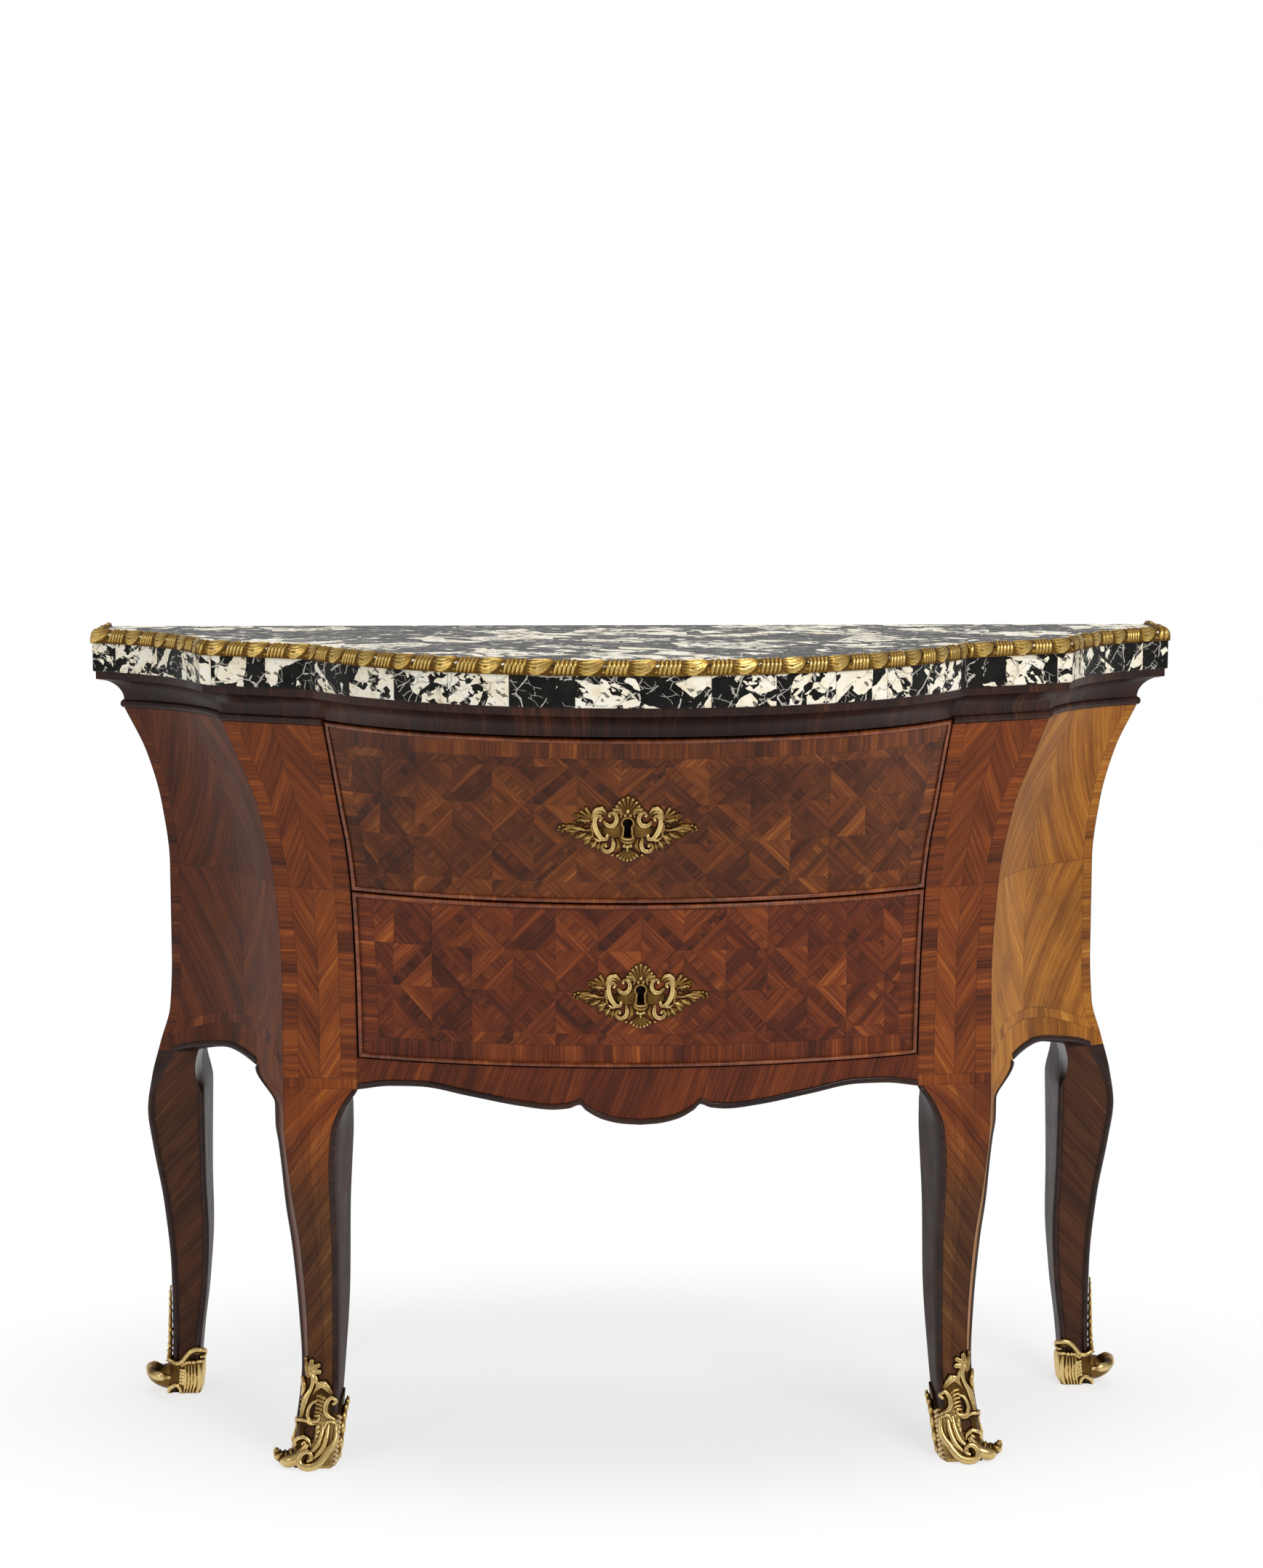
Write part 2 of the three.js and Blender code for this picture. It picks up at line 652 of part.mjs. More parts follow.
// Legs: each is one length of wood from the foot to the marble
const smooth = (share) => share * share * (3 - 2 * share);
const blendAt = ([low, high], z) =>
  smooth(Math.min(1, Math.max(0, (z / caseHeight - low) / (high - low))));

// A bead on the edge at a corner, beside the face that runs on to another point: foot and crest
function beadedCorner(corner, onward) {
  const length = Math.hypot(onward[0] - corner[0], onward[1] - corner[1]);
  const foot = mixPoints(corner, onward, archBead / length);
  const [crestX, crestF] = middleOf(corner, foot);
  return { foot, crestX, crestF };
}

function postRing(z, insetBy = 0) {
  const plan = casePlan(z);
  const rebate = insetBy > 0 ? boardGap : 0;
  const [ridgeX, ridgeF] = inset(outline(plan), insetBy)[ridgeIndex];
  const joint = frontJointDepth + rebate;
  const innerX = plan.stile[0] + guideClearance + rebate;
  const slope = (plan.stile[1] - plan.ridge[1]) / (plan.stile[0] - plan.ridge[0]);
  const faceF = plan.stile[1] + slope * guideClearance - insetBy * Math.hypot(1, slope);
  const onFace = (distance) => [innerX + distance, faceF + slope * distance];
  return [
    [sideX(plan, joint, insetBy), joint],
    ...ridgeArcShares.map((share) => {
      const forward = mix(joint, ridgeF, share);
      return [sideX(plan, forward, insetBy), forward];
    }),
    [ridgeX, ridgeF],
    onFace(archBead),
    onFace(archBead / 2),
    onFace(0),
    [innerX, plan.stile[1] - stileThickness + rebate],
    [sideX(plan, joint, flankThickness - rebate), joint],
  ];
}

function frontLegRing(z) {
  const ridge = [acrossCase(ridgeWidthShares, z), forwardCase(ridgeDepthShares, z)];
  const inner = [acrossCase(stileWidthShares, z), forwardCase(stileDepthShares, z)];
  const rear = [acrossCase(legRearWidthShares, z), forwardCase(legRearDepthShares, z)];
  const hind = [acrossCase(legInnerWidthShares, z), rear[1] + legTwist];
  const front = beadedCorner(inner, ridge);
  const side = beadedCorner(rear, ridge);
  return [
    rear,
    [side.crestX + archBeadProud, side.crestF],
    side.foot,
    ridge,
    front.foot,
    [front.crestX, front.crestF + archBeadProud],
    inner,
    hind,
    mixPoints(rear, hind, legBackShare),
  ];
}

function legLevels(foot, blend, head) {
  const [low, high] = blend.map((share) => share * caseHeight);
  const shank = spread(foot, low, shankSteps);
  const knee = spread(low, high, kneeSteps);
  const rail = spread(high, sideRailTop, railSteps);
  const body = spread(sideRailTop, head, bodySteps);
  return [...shank, ...knee.slice(1), ...rail.slice(1), ...body.slice(1)];
}

function addFrontLegs() {
  const head = caseHeight - fit;
  const rings = legLevels(legFoot, frontLegBlendShares, head).map((z) => {
    const share = blendAt(frontLegBlendShares, z);
    const leg = frontLegRing(z);
    const post = postRing(z);
    return [leg.map((point, k) => mixPoints(point, post[k], share)), z];
  });
  const inside = postRing(head, friezeThickness + boardGap);
  rings.push([inside, head], [inside, friezeTop]);
  [["right", 1], ["left", -1]].forEach(([side, hand]) => {
    const solid = loft(rings.map(([points, z]) => ringAt(mirrored(points, hand), z)));
    add(`front_leg_${side}`, solid, finishes.veneer);
  });
}

function backPostRing(z) {
  const plan = casePlan(z);
  const inner = plan.flank[0] - backPostWidth;
  const between = (plan.flank[1] + backJointDepth) / 2;
  return [
    [plan.flank[0], backInset],
    plan.flank,
    [sideX(plan, between), between],
    [sideX(plan, backJointDepth), backJointDepth],
    [inner, backJointDepth],
    ...backPostShares.map((share) => [inner + fit, mix(backInset, backJointDepth, share)]),
    [inner, backInset],
  ];
}

// The part of a back post that stands inside the frieze
function backHeadRing(insetBy) {
  const plan = casePlan(caseHeight);
  const inner = plan.flank[0] - backPostWidth + boardGap;
  const rear = backInset + boardGap;
  const edge = spread(plan.flank[0] - insetBy, inner, headSteps)
    .map((x) => [x, sideForward(plan, x, insetBy)]);
  const corner = edge[edge.length - 1][1];
  return [
    [plan.flank[0] - insetBy, rear],
    ...edge,
    ...backPostShares.map((share) => [inner + fit, mix(rear, corner, share)]),
    [inner, rear],
  ];
}

function backLegRing(z) {
  const outerX = acrossCase(flankWidthShares, z);
  const innerX = acrossCase(backLegInnerShares, z);
  const front = forwardCase(backLegFrontShares, z);
  const rear = Math.max(backInset, forwardCase(backLegRearShares, z));
  const bead = beadedCorner([innerX, front], [outerX, front]);
  return [
    [outerX, rear],
    [outerX, front],
    [outerX - archBead / 2, front + archBeadProud],
    [outerX - archBead, front],
    bead.foot,
    [bead.crestX, front + archBeadProud],
    [innerX, front],
    [innerX, rear],
  ];
}

function addBackLegs() {
  const head = caseHeight - fit;
  const rings = legLevels(legFoot, backLegBlendShares, head).map((z) => {
    const share = blendAt(backLegBlendShares, z);
    const post = backPostRing(z);
    return [backLegRing(z).map((point, k) => mixPoints(point, post[k], share)), z];
  });
  const inside = backHeadRing(friezeThickness + boardGap);
  rings.push([inside, head], [inside, friezeTop]);
  [["right", 1], ["left", -1]].forEach(([side, hand]) => {
    const solid = loft(rings.map(([points, z]) => ringAt(mirrored(points, hand), z)));
    add(`back_leg_${side}`, solid, finishes.veneer);
  });
}

// Side panels, and the arched rails under them, each built up from the back post to the front
function addSides() {
  const from = backJointDepth + fit;
  const to = frontJointDepth - fit;
  const stations = (count) => spread(from, to, count);
  const panelLevels = spread(sideRailTop + fit, caseHeight - fit, bodySteps);
  const wall = (levels, depth, forward) =>
    levels.map((z) => [sideX(casePlan(z), forward, depth), forward, z]);
  const panelSection = (forward) => [
    ...wall(panelLevels, 0, forward),
    ...wall([...panelLevels].reverse(), panelThickness, forward),
  ];
  const archAt = (forward) => caseHeight * along(sideArchShares, (forward - from) / (to - from));
  const railSection = (forward) => {
    const low = archAt(forward);
    const step = low + archBead + fit;
    const levels = spread(step, sideRailTop, railSteps);
    return [
      ...wall([low], archBeadDepth + fit, forward),
      ...wall([step], archBeadDepth + fit, forward),
      ...wall(levels, 0, forward),
      ...wall([...levels.reverse(), low], sideRailThickness, forward),
    ];
  };
  const beadSection = (forward) =>
    archBeadShares.map(([up, out]) => {
      const z = archAt(forward) + archBead * up;
      return [sideX(casePlan(z), forward, out < 0 ? archBeadDepth : -archBeadProud * out), forward, z];
    });
  [["right", 1], ["left", -1]].forEach(([side, hand]) => {
    const placed = (section) => (forward) =>
      section(forward).map(([x, at, z]) => place(x * hand, at, z));
    const panel = loft(stations(sideSteps).map(placed(panelSection)));
    add(`side_panel_${side}`, panel, finishes.veneer);
    const rail = loft(stations(2 * sideSteps).map(placed(railSection)));
    add(`side_rail_${side}`, rail, finishes.veneer);
    const bead = loft(stations(2 * sideSteps).map(placed(beadSection)));
    add(`side_arch_bead_${side}`, bead, finishes.darkWood);
  });
}

// Front apron, with its shaped lower edge and bead
function addApron() {
  const reach = halfWidth * along(stileWidthShares, apronEdgeShares[apronEdgeShares.length - 1][1]);
  const half = reach + guideClearance - fit;
  const cuspShares = apronEdgeShares.map(([share]) => share);
  const positions = [];
  cuspShares.forEach((share, k) => {
    if (k > 0) positions.push((half * (cuspShares[k - 1] + share)) / 2);
    positions.push(half * share);
  });
  const xs = [...positions.slice(1).map((x) => -x).reverse(), ...positions];
  const edgeAt = (x) => caseHeight * along(apronEdgeShares, Math.abs(x) / half);
  const faceAt = (x, z) => {
    const plan = casePlan(z);
    return bowForward([half, plan.stile[1]], plan.bow, x);
  };
  const section = (x) => {
    const low = edgeAt(x);
    const step = low + archBead + fit;
    const rear = faceAt(x, apronTop) - apronThickness;
    return [
      place(x, rear, low),
      place(x, faceAt(x, low) - archBeadDepth - fit, low),
      place(x, faceAt(x, step) - archBeadDepth - fit, step),
      place(x, faceAt(x, step), step),
      place(x, faceAt(x, (step + apronTop) / 2), (step + apronTop) / 2),
      place(x, faceAt(x, apronTop), apronTop),
      place(x, rear, apronTop),
    ];
  };
  const beadSection = (x) => {
    const low = edgeAt(x);
    return archBeadShares.map(([up, out]) => {
      const z = low + archBead * up;
      return place(x, faceAt(x, z) + (out < 0 ? -archBeadDepth : archBeadProud * out), z);
    });
  };
  add("front_apron", loft(xs.map(section)), finishes.veneer);
  add("front_apron_bead", loft(xs.map(beadSection)), finishes.darkWood);
}

// Half outline of the space inside the frame, from the back to the front posts
function frameInside(z, sideThickness) {
  const plan = casePlan(z);
  const inner = plan.flank[0] - backPostWidth;
  const side = spread(backJointDepth, frontJointDepth, sideSteps)
    .map((forward) => [sideX(plan, forward, sideThickness), forward]);
  return [
    [inner, backInset + backBoardThickness + fit],
    [inner, backJointDepth],
    ...side,
    [sideX(plan, frontJointDepth, flankThickness), frontJointDepth],
    [plan.stile[0] + guideClearance, plan.stile[1] - stileThickness],
  ];
}

// A board that fills the frame, with a bowed front edge through its middle
function frameBoard(z, sideThickness, frontSetback, middle) {
  const half = frameInside(z, sideThickness);
  const plan = casePlan(z);
  const ends = [plan.stile[0] + guideClearance, plan.stile[1] - frontSetback];
  const front = bowPoints(ends, middle, ends[0], -ends[0], bowSteps);
  const whole = [...half, ...front, ...mirrored(half, -1).reverse()];
  const apart = whole.filter(([x, forward], k) => {
    const [nextX, nextForward] = whole[(k + 1) % whole.length];
    return Math.hypot(nextX - x, nextForward - forward) > boardGap;
  });
  return inset(apart, boardGap, true);
}

const lowerRunnerTop = drawerBase + boxSideRise - fit;
const bottomBoardTop = lowerRunnerTop - boxSideRise - 2 * fit - runnerThickness;
const dustTop = jointHeight + drawerGap + boxSideRise;
const upperRunnerTop = dustTop + 2 * fit + runnerThickness;

function boltSlot(lock, from, to) {
  const half = boltWidth / 2 + boltClearance;
  const depth = boltThickness / 2 + boltClearance;
  return block(lock.x - half, lock.x + half, lock.bolt - depth, lock.bolt + depth, from, to);
}

// Where a lock lies against the flat inside its drawer front, with its bolt and keyhole
function lockUnder(top, x, thickness, keyholeDepth) {
  const flat = top - lockHeight - lockFlatMargin;
  const face = forwardCase(bowDepthShares, flat) - thickness;
  const bolt = face - fit - lockDepth + lockWall + boltClearance + boltThickness / 2;
  return { top, x, flat, face, bolt, keyhole: top - keyholeDepth };
}

const upperLockTop = drawerHead - fit;
const lowerLockTop = dustTop - dustBoardThickness - 2 * fit;
const locks = {
  upper: lockUnder(upperLockTop, upperLockOffset, upperFlatThickness, upperKeyholeDepth),
  lower: lockUnder(lowerLockTop, lowerLockOffset, lowerFlatThickness, lowerKeyholeDepth),
};

// How far forward the inside of a drawer front stands in the middle of its lower edge
const insideFoot = (base, thickness) => forwardCase(bowDepthShares, base) - thickness;
const upperInnerFoot = insideFoot(jointHeight + drawerGap, upperFootThickness);
const lowerInnerFoot = insideFoot(drawerBase, lowerFootThickness);

// Boards, rails, runners and stops that hold the drawers
function addInterior() {
  const floorSetback = apronThickness + fit;
  const floorMiddle = casePlan(apronTop).bow - floorSetback;
  const floor = [bottomBoardTop - bottomBoardThickness, bottomBoardTop].map((z) =>
    ringAt(frameBoard(z, sideRailThickness, floorSetback, floorMiddle), z));
  add("bottom_board", loft(floor), finishes.carcass);

  const dustFront = locks.lower.face - dustSetback;
  const dust = loft([dustTop - dustBoardThickness, dustTop].map((z) =>
    ringAt(frameBoard(z, panelThickness, frontThickness + dustSetback, dustFront), z)));
  const slot = boltSlot(locks.lower, dustTop - dustBoardThickness - overrun, dustTop + overrun);
  add("dust_board", cut(dust, slot), finishes.carcass);

  const runnerEnd = casePlan(drawerBase).stile[1] - stileThickness;
  const inner = boxHalfWidth - runnerWidth + guideThickness;
  const wall = boxHalfWidth + guideClearance;
  [["lower", bottomBoardTop, lowerRunnerTop], ["upper", dustTop, upperRunnerTop]].forEach(
    ([level, base, top]) => {
      [["right", 1], ["left", -1]].forEach(([side, hand]) => {
        const profile = [
          [inner, base + fit], [wall + guideThickness, base + fit],
          [wall + guideThickness, top + guideHeight], [wall, top + guideHeight],
          [wall, top], [inner, top],
        ];
        const from = backInset + backBoardThickness + 2 * fit;
        const ring = (forward) => profile.map(([x, z]) => place(x * hand, forward, z));
        add(`${level}_runner_${side}`, loft([ring(from), ring(runnerEnd)]), finishes.carcass);
      });
    },
  );

  const stop = (level, base, foot, z) => {
    const plan = casePlan(z);
    const ends = [plan.stile[0], plan.stile[1] - frontThickness];
    const face = bowForward(ends, foot, stopOffset + stopLength / 2) - 2 * fit;
    const piece = block(
      stopOffset - stopLength / 2, stopOffset + stopLength / 2,
      face - stopThickness, face, base + fit, z + boxBottomRise - 2 * fit,
    );
    add(`${level}_drawer_stop`, piece, finishes.carcass);
  };
  stop("lower", bottomBoardTop, lowerInnerFoot, drawerBase);
  stop("upper", dustTop, upperInnerFoot, jointHeight + drawerGap);
}

// Rails that join the heads of the posts
function addTopRails() {
  const low = casePlan(caseHeight);
  const railFloor = caseHeight + friezeBead;
  const backPlanX = low.flank[0] - backPostWidth - fit;
  add(
    "top_rail_back",
    block(-backPlanX, backPlanX, backInset, backInset + backRailThickness, railFloor, friezeTop),
    finishes.carcass,
  );
  const half = low.stile[0];
  const rearF = low.stile[1] - stileThickness;
  const inner = inset(outline(low), friezeThickness + fit).slice(stileIndex, farStileIndex + 1);
  const front = slab([[half - 2 * fit, rearF], ...inner, [2 * fit - half, rearF]], railFloor, friezeTop);
  const slot = boltSlot(locks.upper, railFloor - overrun, railFloor + boltThrow + boltPocketSpare);
  add("top_rail_front", cut(front, slot), finishes.carcass);
  [["right", 1], ["left", -1]].forEach(([side, hand]) => {
    const edges = [boxHalfWidth - kickerWidth, boxHalfWidth + guideThickness].map((x) => x * hand);
    const rail = block(
      Math.min(...edges), Math.max(...edges),
      backInset + backRailThickness + fit, rearF - fit, railFloor, friezeTop,
    );
    add(`top_rail_${side}`, rail, finishes.carcass);
  });
}

// Where the inner face of a back post stands
function backPostInner(z) {
  const post = acrossCase(flankWidthShares, z) - backPostWidth;
  return mix(acrossCase(backLegInnerShares, z), post, blendAt(backLegBlendShares, z));
}

// Back of the case
function addBack() {
  const boards = {
    back_rail_bottom: [bottomBoardTop - backRailHeight, bottomBoardTop],
    back_board_lower: [bottomBoardTop + fit, backJointHeight - fit],
    back_board_upper: [backJointHeight, caseHeight + friezeBead - fit],
  };
  Object.entries(boards).forEach(([name, [from, to]]) => {
    const rings = spread(from, to, boardSteps).map((z) => {
      const halfBoard = backPostInner(Math.min(z, caseHeight)) - boardGap;
      const rear = backInset;
      return ringAt(
        [[-halfBoard, rear], [halfBoard, rear], [halfBoard, rear + backBoardThickness],
          [-halfBoard, rear + backBoardThickness]],
        z,
      );
    });
    add(name, loft(rings), finishes.carcass);
  });
}

// Drawers
const drawers = {
  upper: {
    base: jointHeight + drawerGap, head: drawerHead, foot: upperInnerFoot,
    runner: upperRunnerTop, ceiling: caseHeight + friezeBead, lock: locks.upper,
    proudEdge: 1, proudScale: headBeadScale,
  },
  lower: {
    base: drawerBase, head: jointHeight - drawerGap, foot: lowerInnerFoot,
    runner: lowerRunnerTop, ceiling: dustTop - dustBoardThickness, lock: locks.lower,
    proudEdge: -1, proudScale: baseBeadScale,
  },
};

const frontHalfWidth = (z) => casePlan(z).stile[0] - drawerGap - cockBead;

// Outer face of the drawer fronts
function drawerFace(x, z, out = 0) {
  const plan = casePlan(z);
  const forward = (px, pz) => {
    const at = casePlan(pz);
    return bowForward(at.stile, at.bow, px);
  };
  const slopeX = (forward(x + slopeStep, z) - forward(x - slopeStep, z)) / (2 * slopeStep);
  const slopeZ = (forward(x, z + slopeStep) - forward(x, z - slopeStep)) / (2 * slopeStep);
  const length = Math.hypot(slopeX, slopeZ, 1);
  const here = bowForward(plan.stile, plan.bow, x);
  return place(x - (slopeX * out) / length, here + out / length, z - (slopeZ * out) / length);
}

// How far forward the inside of a drawer front stands
function insideForward(drawer, x, z) {
  const plan = casePlan(z);
  const ends = [plan.stile[0], plan.stile[1] - frontThickness];
  const share = Math.min(1, Math.max(0, (z - drawer.base) / (drawer.lock.flat - drawer.base)));
  return bowForward(ends, mix(drawer.foot, drawer.lock.face, share), x);
}

// How far forward a line of points, listed from right to left, stands at x
function forwardOn(line, x) {
  const k = line.findIndex((point, n) => n + 1 < line.length && line[n + 1][0] <= x);
  const [[fromX, fromF], [toX, toF]] = [line[k], line[k + 1]];
  return mix(fromF, toF, (x - fromX) / (toX - fromX));
}

function keyholeTool(x, z, fromForward, toForward) {
  const shape = new THREE.Shape();
  const half = keyholeSlot / 2;
  shape.moveTo(half, -keyholeDrop);
  shape.lineTo(half, -Math.sqrt(keyholeRadius * keyholeRadius - half * half));
  const open = Math.asin(half / keyholeRadius);
  shape.absarc(0, 0, keyholeRadius, -Math.PI / 2 + open, (3 * Math.PI) / 2 - open, false);
  shape.lineTo(-half, -keyholeDrop);
  shape.closePath();
  const outlinePoints = shape.getPoints(keyholeSteps);
  outlinePoints.pop();
  const ring = (forward) => outlinePoints.map((p) => place(x + p.x, forward, z + p.y));
  return loft([ring(fromForward), ring(toForward)]);
}

function addDrawer(level, drawer) {
  const { lock } = drawer;
  const low = drawer.base + cockBead + fit;
  const high = drawer.head - cockBead - fit;
  const levels = [
    ...spread(low, lock.flat, frontSteps),
    ...spread(lock.flat, high, frontSteps).slice(1),
  ];
  const outerLine = (z) => {
    const half = frontHalfWidth(z);
    const plan = casePlan(z);
    return bowPoints(plan.stile, plan.bow, half, -half, bowSteps);
  };
  const innerLine = (z) => outerLine(z).map(([x]) => [x, insideForward(drawer, x, z)]);
  const behindFront = (x, z) => forwardOn(innerLine(Math.max(z, low)), x) - boxJoint;
  const rings = levels.map((z) => ringAt([...outerLine(z), ...innerLine(z).reverse()], z));
  const behindLock = lock.face - lockDepth - overrun;
  const through = keyholeTool(lock.x, lock.keyhole, behindLock, topDepth);
  const lockHalf = lockWidth / 2 + fit;
  const bed = block(
    lock.x - lockHalf, lock.x + lockHalf, behindLock, lock.face,
    lock.top - lockHeight - 2 * fit, drawer.head + overrun,
  );
  add(`${level}_drawer_front`, cut(loft(rings), through, bed), finishes.veneer);
  addCockBead(level, drawer, low - fit, high + fit);

  const sideTop = drawer.ceiling - boxHeadroom;
  const sideFoot = drawer.runner + fit;
  const bottomZ = drawer.base + boxBottomRise;
  [["right", 1], ["left", -1]].forEach(([side, hand]) => {
    const between = levels.filter((z) => z > sideFoot && z < sideTop);
    const boards = [sideFoot, ...between, sideTop].map((z) => {
      const xs = [boxHalfWidth - boxThickness, boxHalfWidth];
      const points = [
        [xs[0], boxBack], [xs[1], boxBack],
        [xs[1], behindFront(xs[1], z)],
        [xs[0], behindFront(xs[0], z)],
      ];
      return ringAt(mirrored(points, hand), z);
    });
    add(`${level}_drawer_side_${side}`, loft(boards), finishes.carcass);
  });
  const innerHalf = boxHalfWidth - boxThickness - fit;
  add(
    `${level}_drawer_back`,
    block(-innerHalf, innerHalf, boxBack, boxBack + boxThickness, sideFoot, sideTop),
    finishes.carcass,
  );
  const front = [
    [innerHalf, behindFront(innerHalf, bottomZ)],
    ...innerLine(bottomZ)
      .filter(([x]) => Math.abs(x) < innerHalf - boxJoint)
      .map(([x, forward]) => [x, forward - boxJoint]),
    [-innerHalf, behindFront(innerHalf, bottomZ)],
  ];
  const backEdge = boxBack + boxThickness + fit;
  const panel = slab(
    [[innerHalf, backEdge], ...front, [-innerHalf, backEdge]],
    bottomZ, bottomZ + boxBottomThickness,
  );
  add(`${level}_drawer_bottom`, panel, finishes.carcass);
  addLock(level, drawer);
}

// Bead round the edges of a drawer front, mitred at its corners
const cockBeadSectionShares = [[0, -1], [0, 0.35], [0.5, 1], [1, 0.35], [1, -1]];

function addCockBead(level, drawer, low, high) {
  const stations = [];
  const corner = (hand, z, up) => stations.push({ x: hand * frontHalfWidth(z), z, side: hand, up });
  const run = (fromX, toX, z, up) => {
    spread(fromX, toX, bowSteps).slice(1, -1).forEach((x) => stations.push({ x, z, side: 0, up }));
  };
  const sides = spread(low, high, panelSteps).slice(1, -1);
  corner(-1, low, -1);
  run(-frontHalfWidth(low), frontHalfWidth(low), low, -1);
  corner(1, low, -1);
  sides.forEach((z) => corner(1, z, 0));
  corner(1, high, 1);
  run(frontHalfWidth(high), -frontHalfWidth(high), high, 1);
  corner(-1, high, 1);
  [...sides].reverse().forEach((z) => corner(-1, z, 0));
  const rings = stations.map(({ x, z, side, up }) => {
    const swell = up && up === drawer.proudEdge ? drawer.proudScale : 1;
    return cockBeadSectionShares.map(([across, out]) => {
      const atZ = z + up * (cockBead * across);
      const edge = side * (frontHalfWidth(atZ) + fit + cockBead * across);
      const atX = side ? edge : x;
      const depth = out < 0 ? out * cockBeadDepth : out * cockBeadProud * swell;
      const plan = casePlan(atZ);
      return place(atX, bowForward(plan.stile, plan.bow, atX) + depth, atZ);
    });
  });
  add(`${level}_drawer_bead`, loft(rings, true), finishes.darkWood);
}

function addLock(level, drawer) {
  const { lock } = drawer;
  const half = lockWidth / 2;
  const front = lock.face - fit;
  const rear = front - lockDepth;
  const foot = lock.top - lockHeight;
  const body = block(lock.x - half, lock.x + half, rear, front, foot, lock.top);
  const hollow = block(
    lock.x - half + lockWall, lock.x + half - lockWall,
    rear + lockWall, front + overrun, foot + lockWall, lock.top - lockWall,
  );
  const slot = boltSlot(lock, lock.top - lockWall - overrun, lock.top + overrun);
  add(`${level}_lock_case`, cut(body, hollow, slot), finishes.iron);
  const boltHalf = boltWidth / 2;
  const bolt = block(
    lock.x - boltHalf, lock.x + boltHalf,
    lock.bolt - boltThickness / 2, lock.bolt + boltThickness / 2,
    lock.top - boltHeight, lock.top,
  );
  add(`${level}_lock_bolt`, bolt, finishes.iron);
}

// Escutcheons: pierced plates that follow the drawer fronts
function addEscutcheon(level, { lock }) {
  const halfWide = escutcheonWidth / 2;
  const halfHigh = escutcheonHeight / 2;
  const sections = spread(-1, 1, escutcheonSteps).map((across) => {
    const low = along(escutcheonLowShares, Math.abs(across));
    const high = along(escutcheonHighShares, Math.abs(across));
    const at = (share, out) =>
      drawerFace(lock.x + across * halfWide, lock.keyhole + mix(low, high, share) * halfHigh, out);
    const crown = escutcheonRelief * (1 - across * across);
    const front = escutcheonCrownShares.map(([share, rise]) =>
      at(share, escutcheonSeat + escutcheonThickness + crown * rise));
    const rear = escutcheonCrownShares.map(([share]) => at(share, escutcheonSeat)).reverse();
    return [...front, ...rear];
  });
  const holes = escutcheonHoleShares.flatMap((hole) =>
    [1, -1].map((hand) => pierce(lock, hole, hand)));
  const opening = keyholeTool(lock.x, lock.keyhole, lock.face, topDepth);
  add(`${level}_escutcheon`, cut(loft(sections), opening, ...holes), finishes.gilt);
}

// The tool for one hole through an escutcheon
function pierce(lock, [across, up, wide, high], hand) {
  const halfWide = escutcheonWidth / 2;
  const halfHigh = escutcheonHeight / 2;
  const angles = spread(0, 2 * Math.PI, pierceSteps).slice(1);
  const ring = (forward) => angles.map((angle) => place(
    lock.x + halfWide * (hand * across + wide * Math.cos(angle)),
    forward,
    lock.keyhole + halfHigh * (up + high * Math.sin(angle)),
  ));
  return loft([ring(lock.face), ring(topDepth)]);
}

// Sabots: gilt shoes, each a cup round the foot of its leg that rises to a leafy tip
const feet = {
  front: {
    ring: frontLegRing,
    blend: frontLegBlendShares,
    corners: (ring) => [ring[0], ring[3], ring[6], ring[7]],
    heights: [sabotRearHeight, sabotTip, sabotInnerHeight],
    rim: sabotRim,
    toes: [[frontToeTurn, toeLength], [frontScrollTurn, toeLength * scrollScale]],
  },
  back: {
    ring: backLegRing,
    blend: backLegBlendShares,
    corners: (ring) => [ring[0], ring[1], ring[6], ring[7]],
    heights: [backSabotRearHeight, backSabotTip, backSabotInnerHeight],
    rim: backSabotRim,
    toes: [[backToeTurn, toeLength]],
  },
};

// Everything above a slope through three points at three heights
function slopeTool(points, heights) {
  const [[x0, f0], [x1, f1], [x2, f2]] = points;
  const [z0, z1, z2] = heights;
  const turn = (x1 - x0) * (f2 - f0) - (x2 - x0) * (f1 - f0);
  const slopeX = ((z1 - z0) * (f2 - f0) - (z2 - z0) * (f1 - f0)) / turn;
  const slopeF = ((x1 - x0) * (z2 - z0) - (x2 - x0) * (z1 - z0)) / turn;
  const reach = sabotTip;
  const low = [[-1, -1], [1, -1], [1, 1], [-1, 1]].map(([i, j]) =>
    place(x0 + i * reach, f0 + j * reach, z0 + (slopeX * i + slopeF * j) * reach));
  return loft([low, low.map((point) => point.clone().setZ(topHeight))]);
}

// A toe of the shoe that curls outwards from a corner of the foot
function toe([x, forward], turn, length) {
  const direction = [Math.cos(turn), Math.sin(turn)];
  const scale = length / toeLength;
  return loft(toeWidthShares.map(([across, size]) => {
    const aside = toeWidth * scale * across;
    return toeShares.map(([out, up]) => {
      const reach = length * size * out;
      return place(
        x + direction[0] * reach - direction[1] * aside,
        forward + direction[1] * reach + direction[0] * aside,
        toeHeight * scale * size * up,
      );
    });
  }));
}

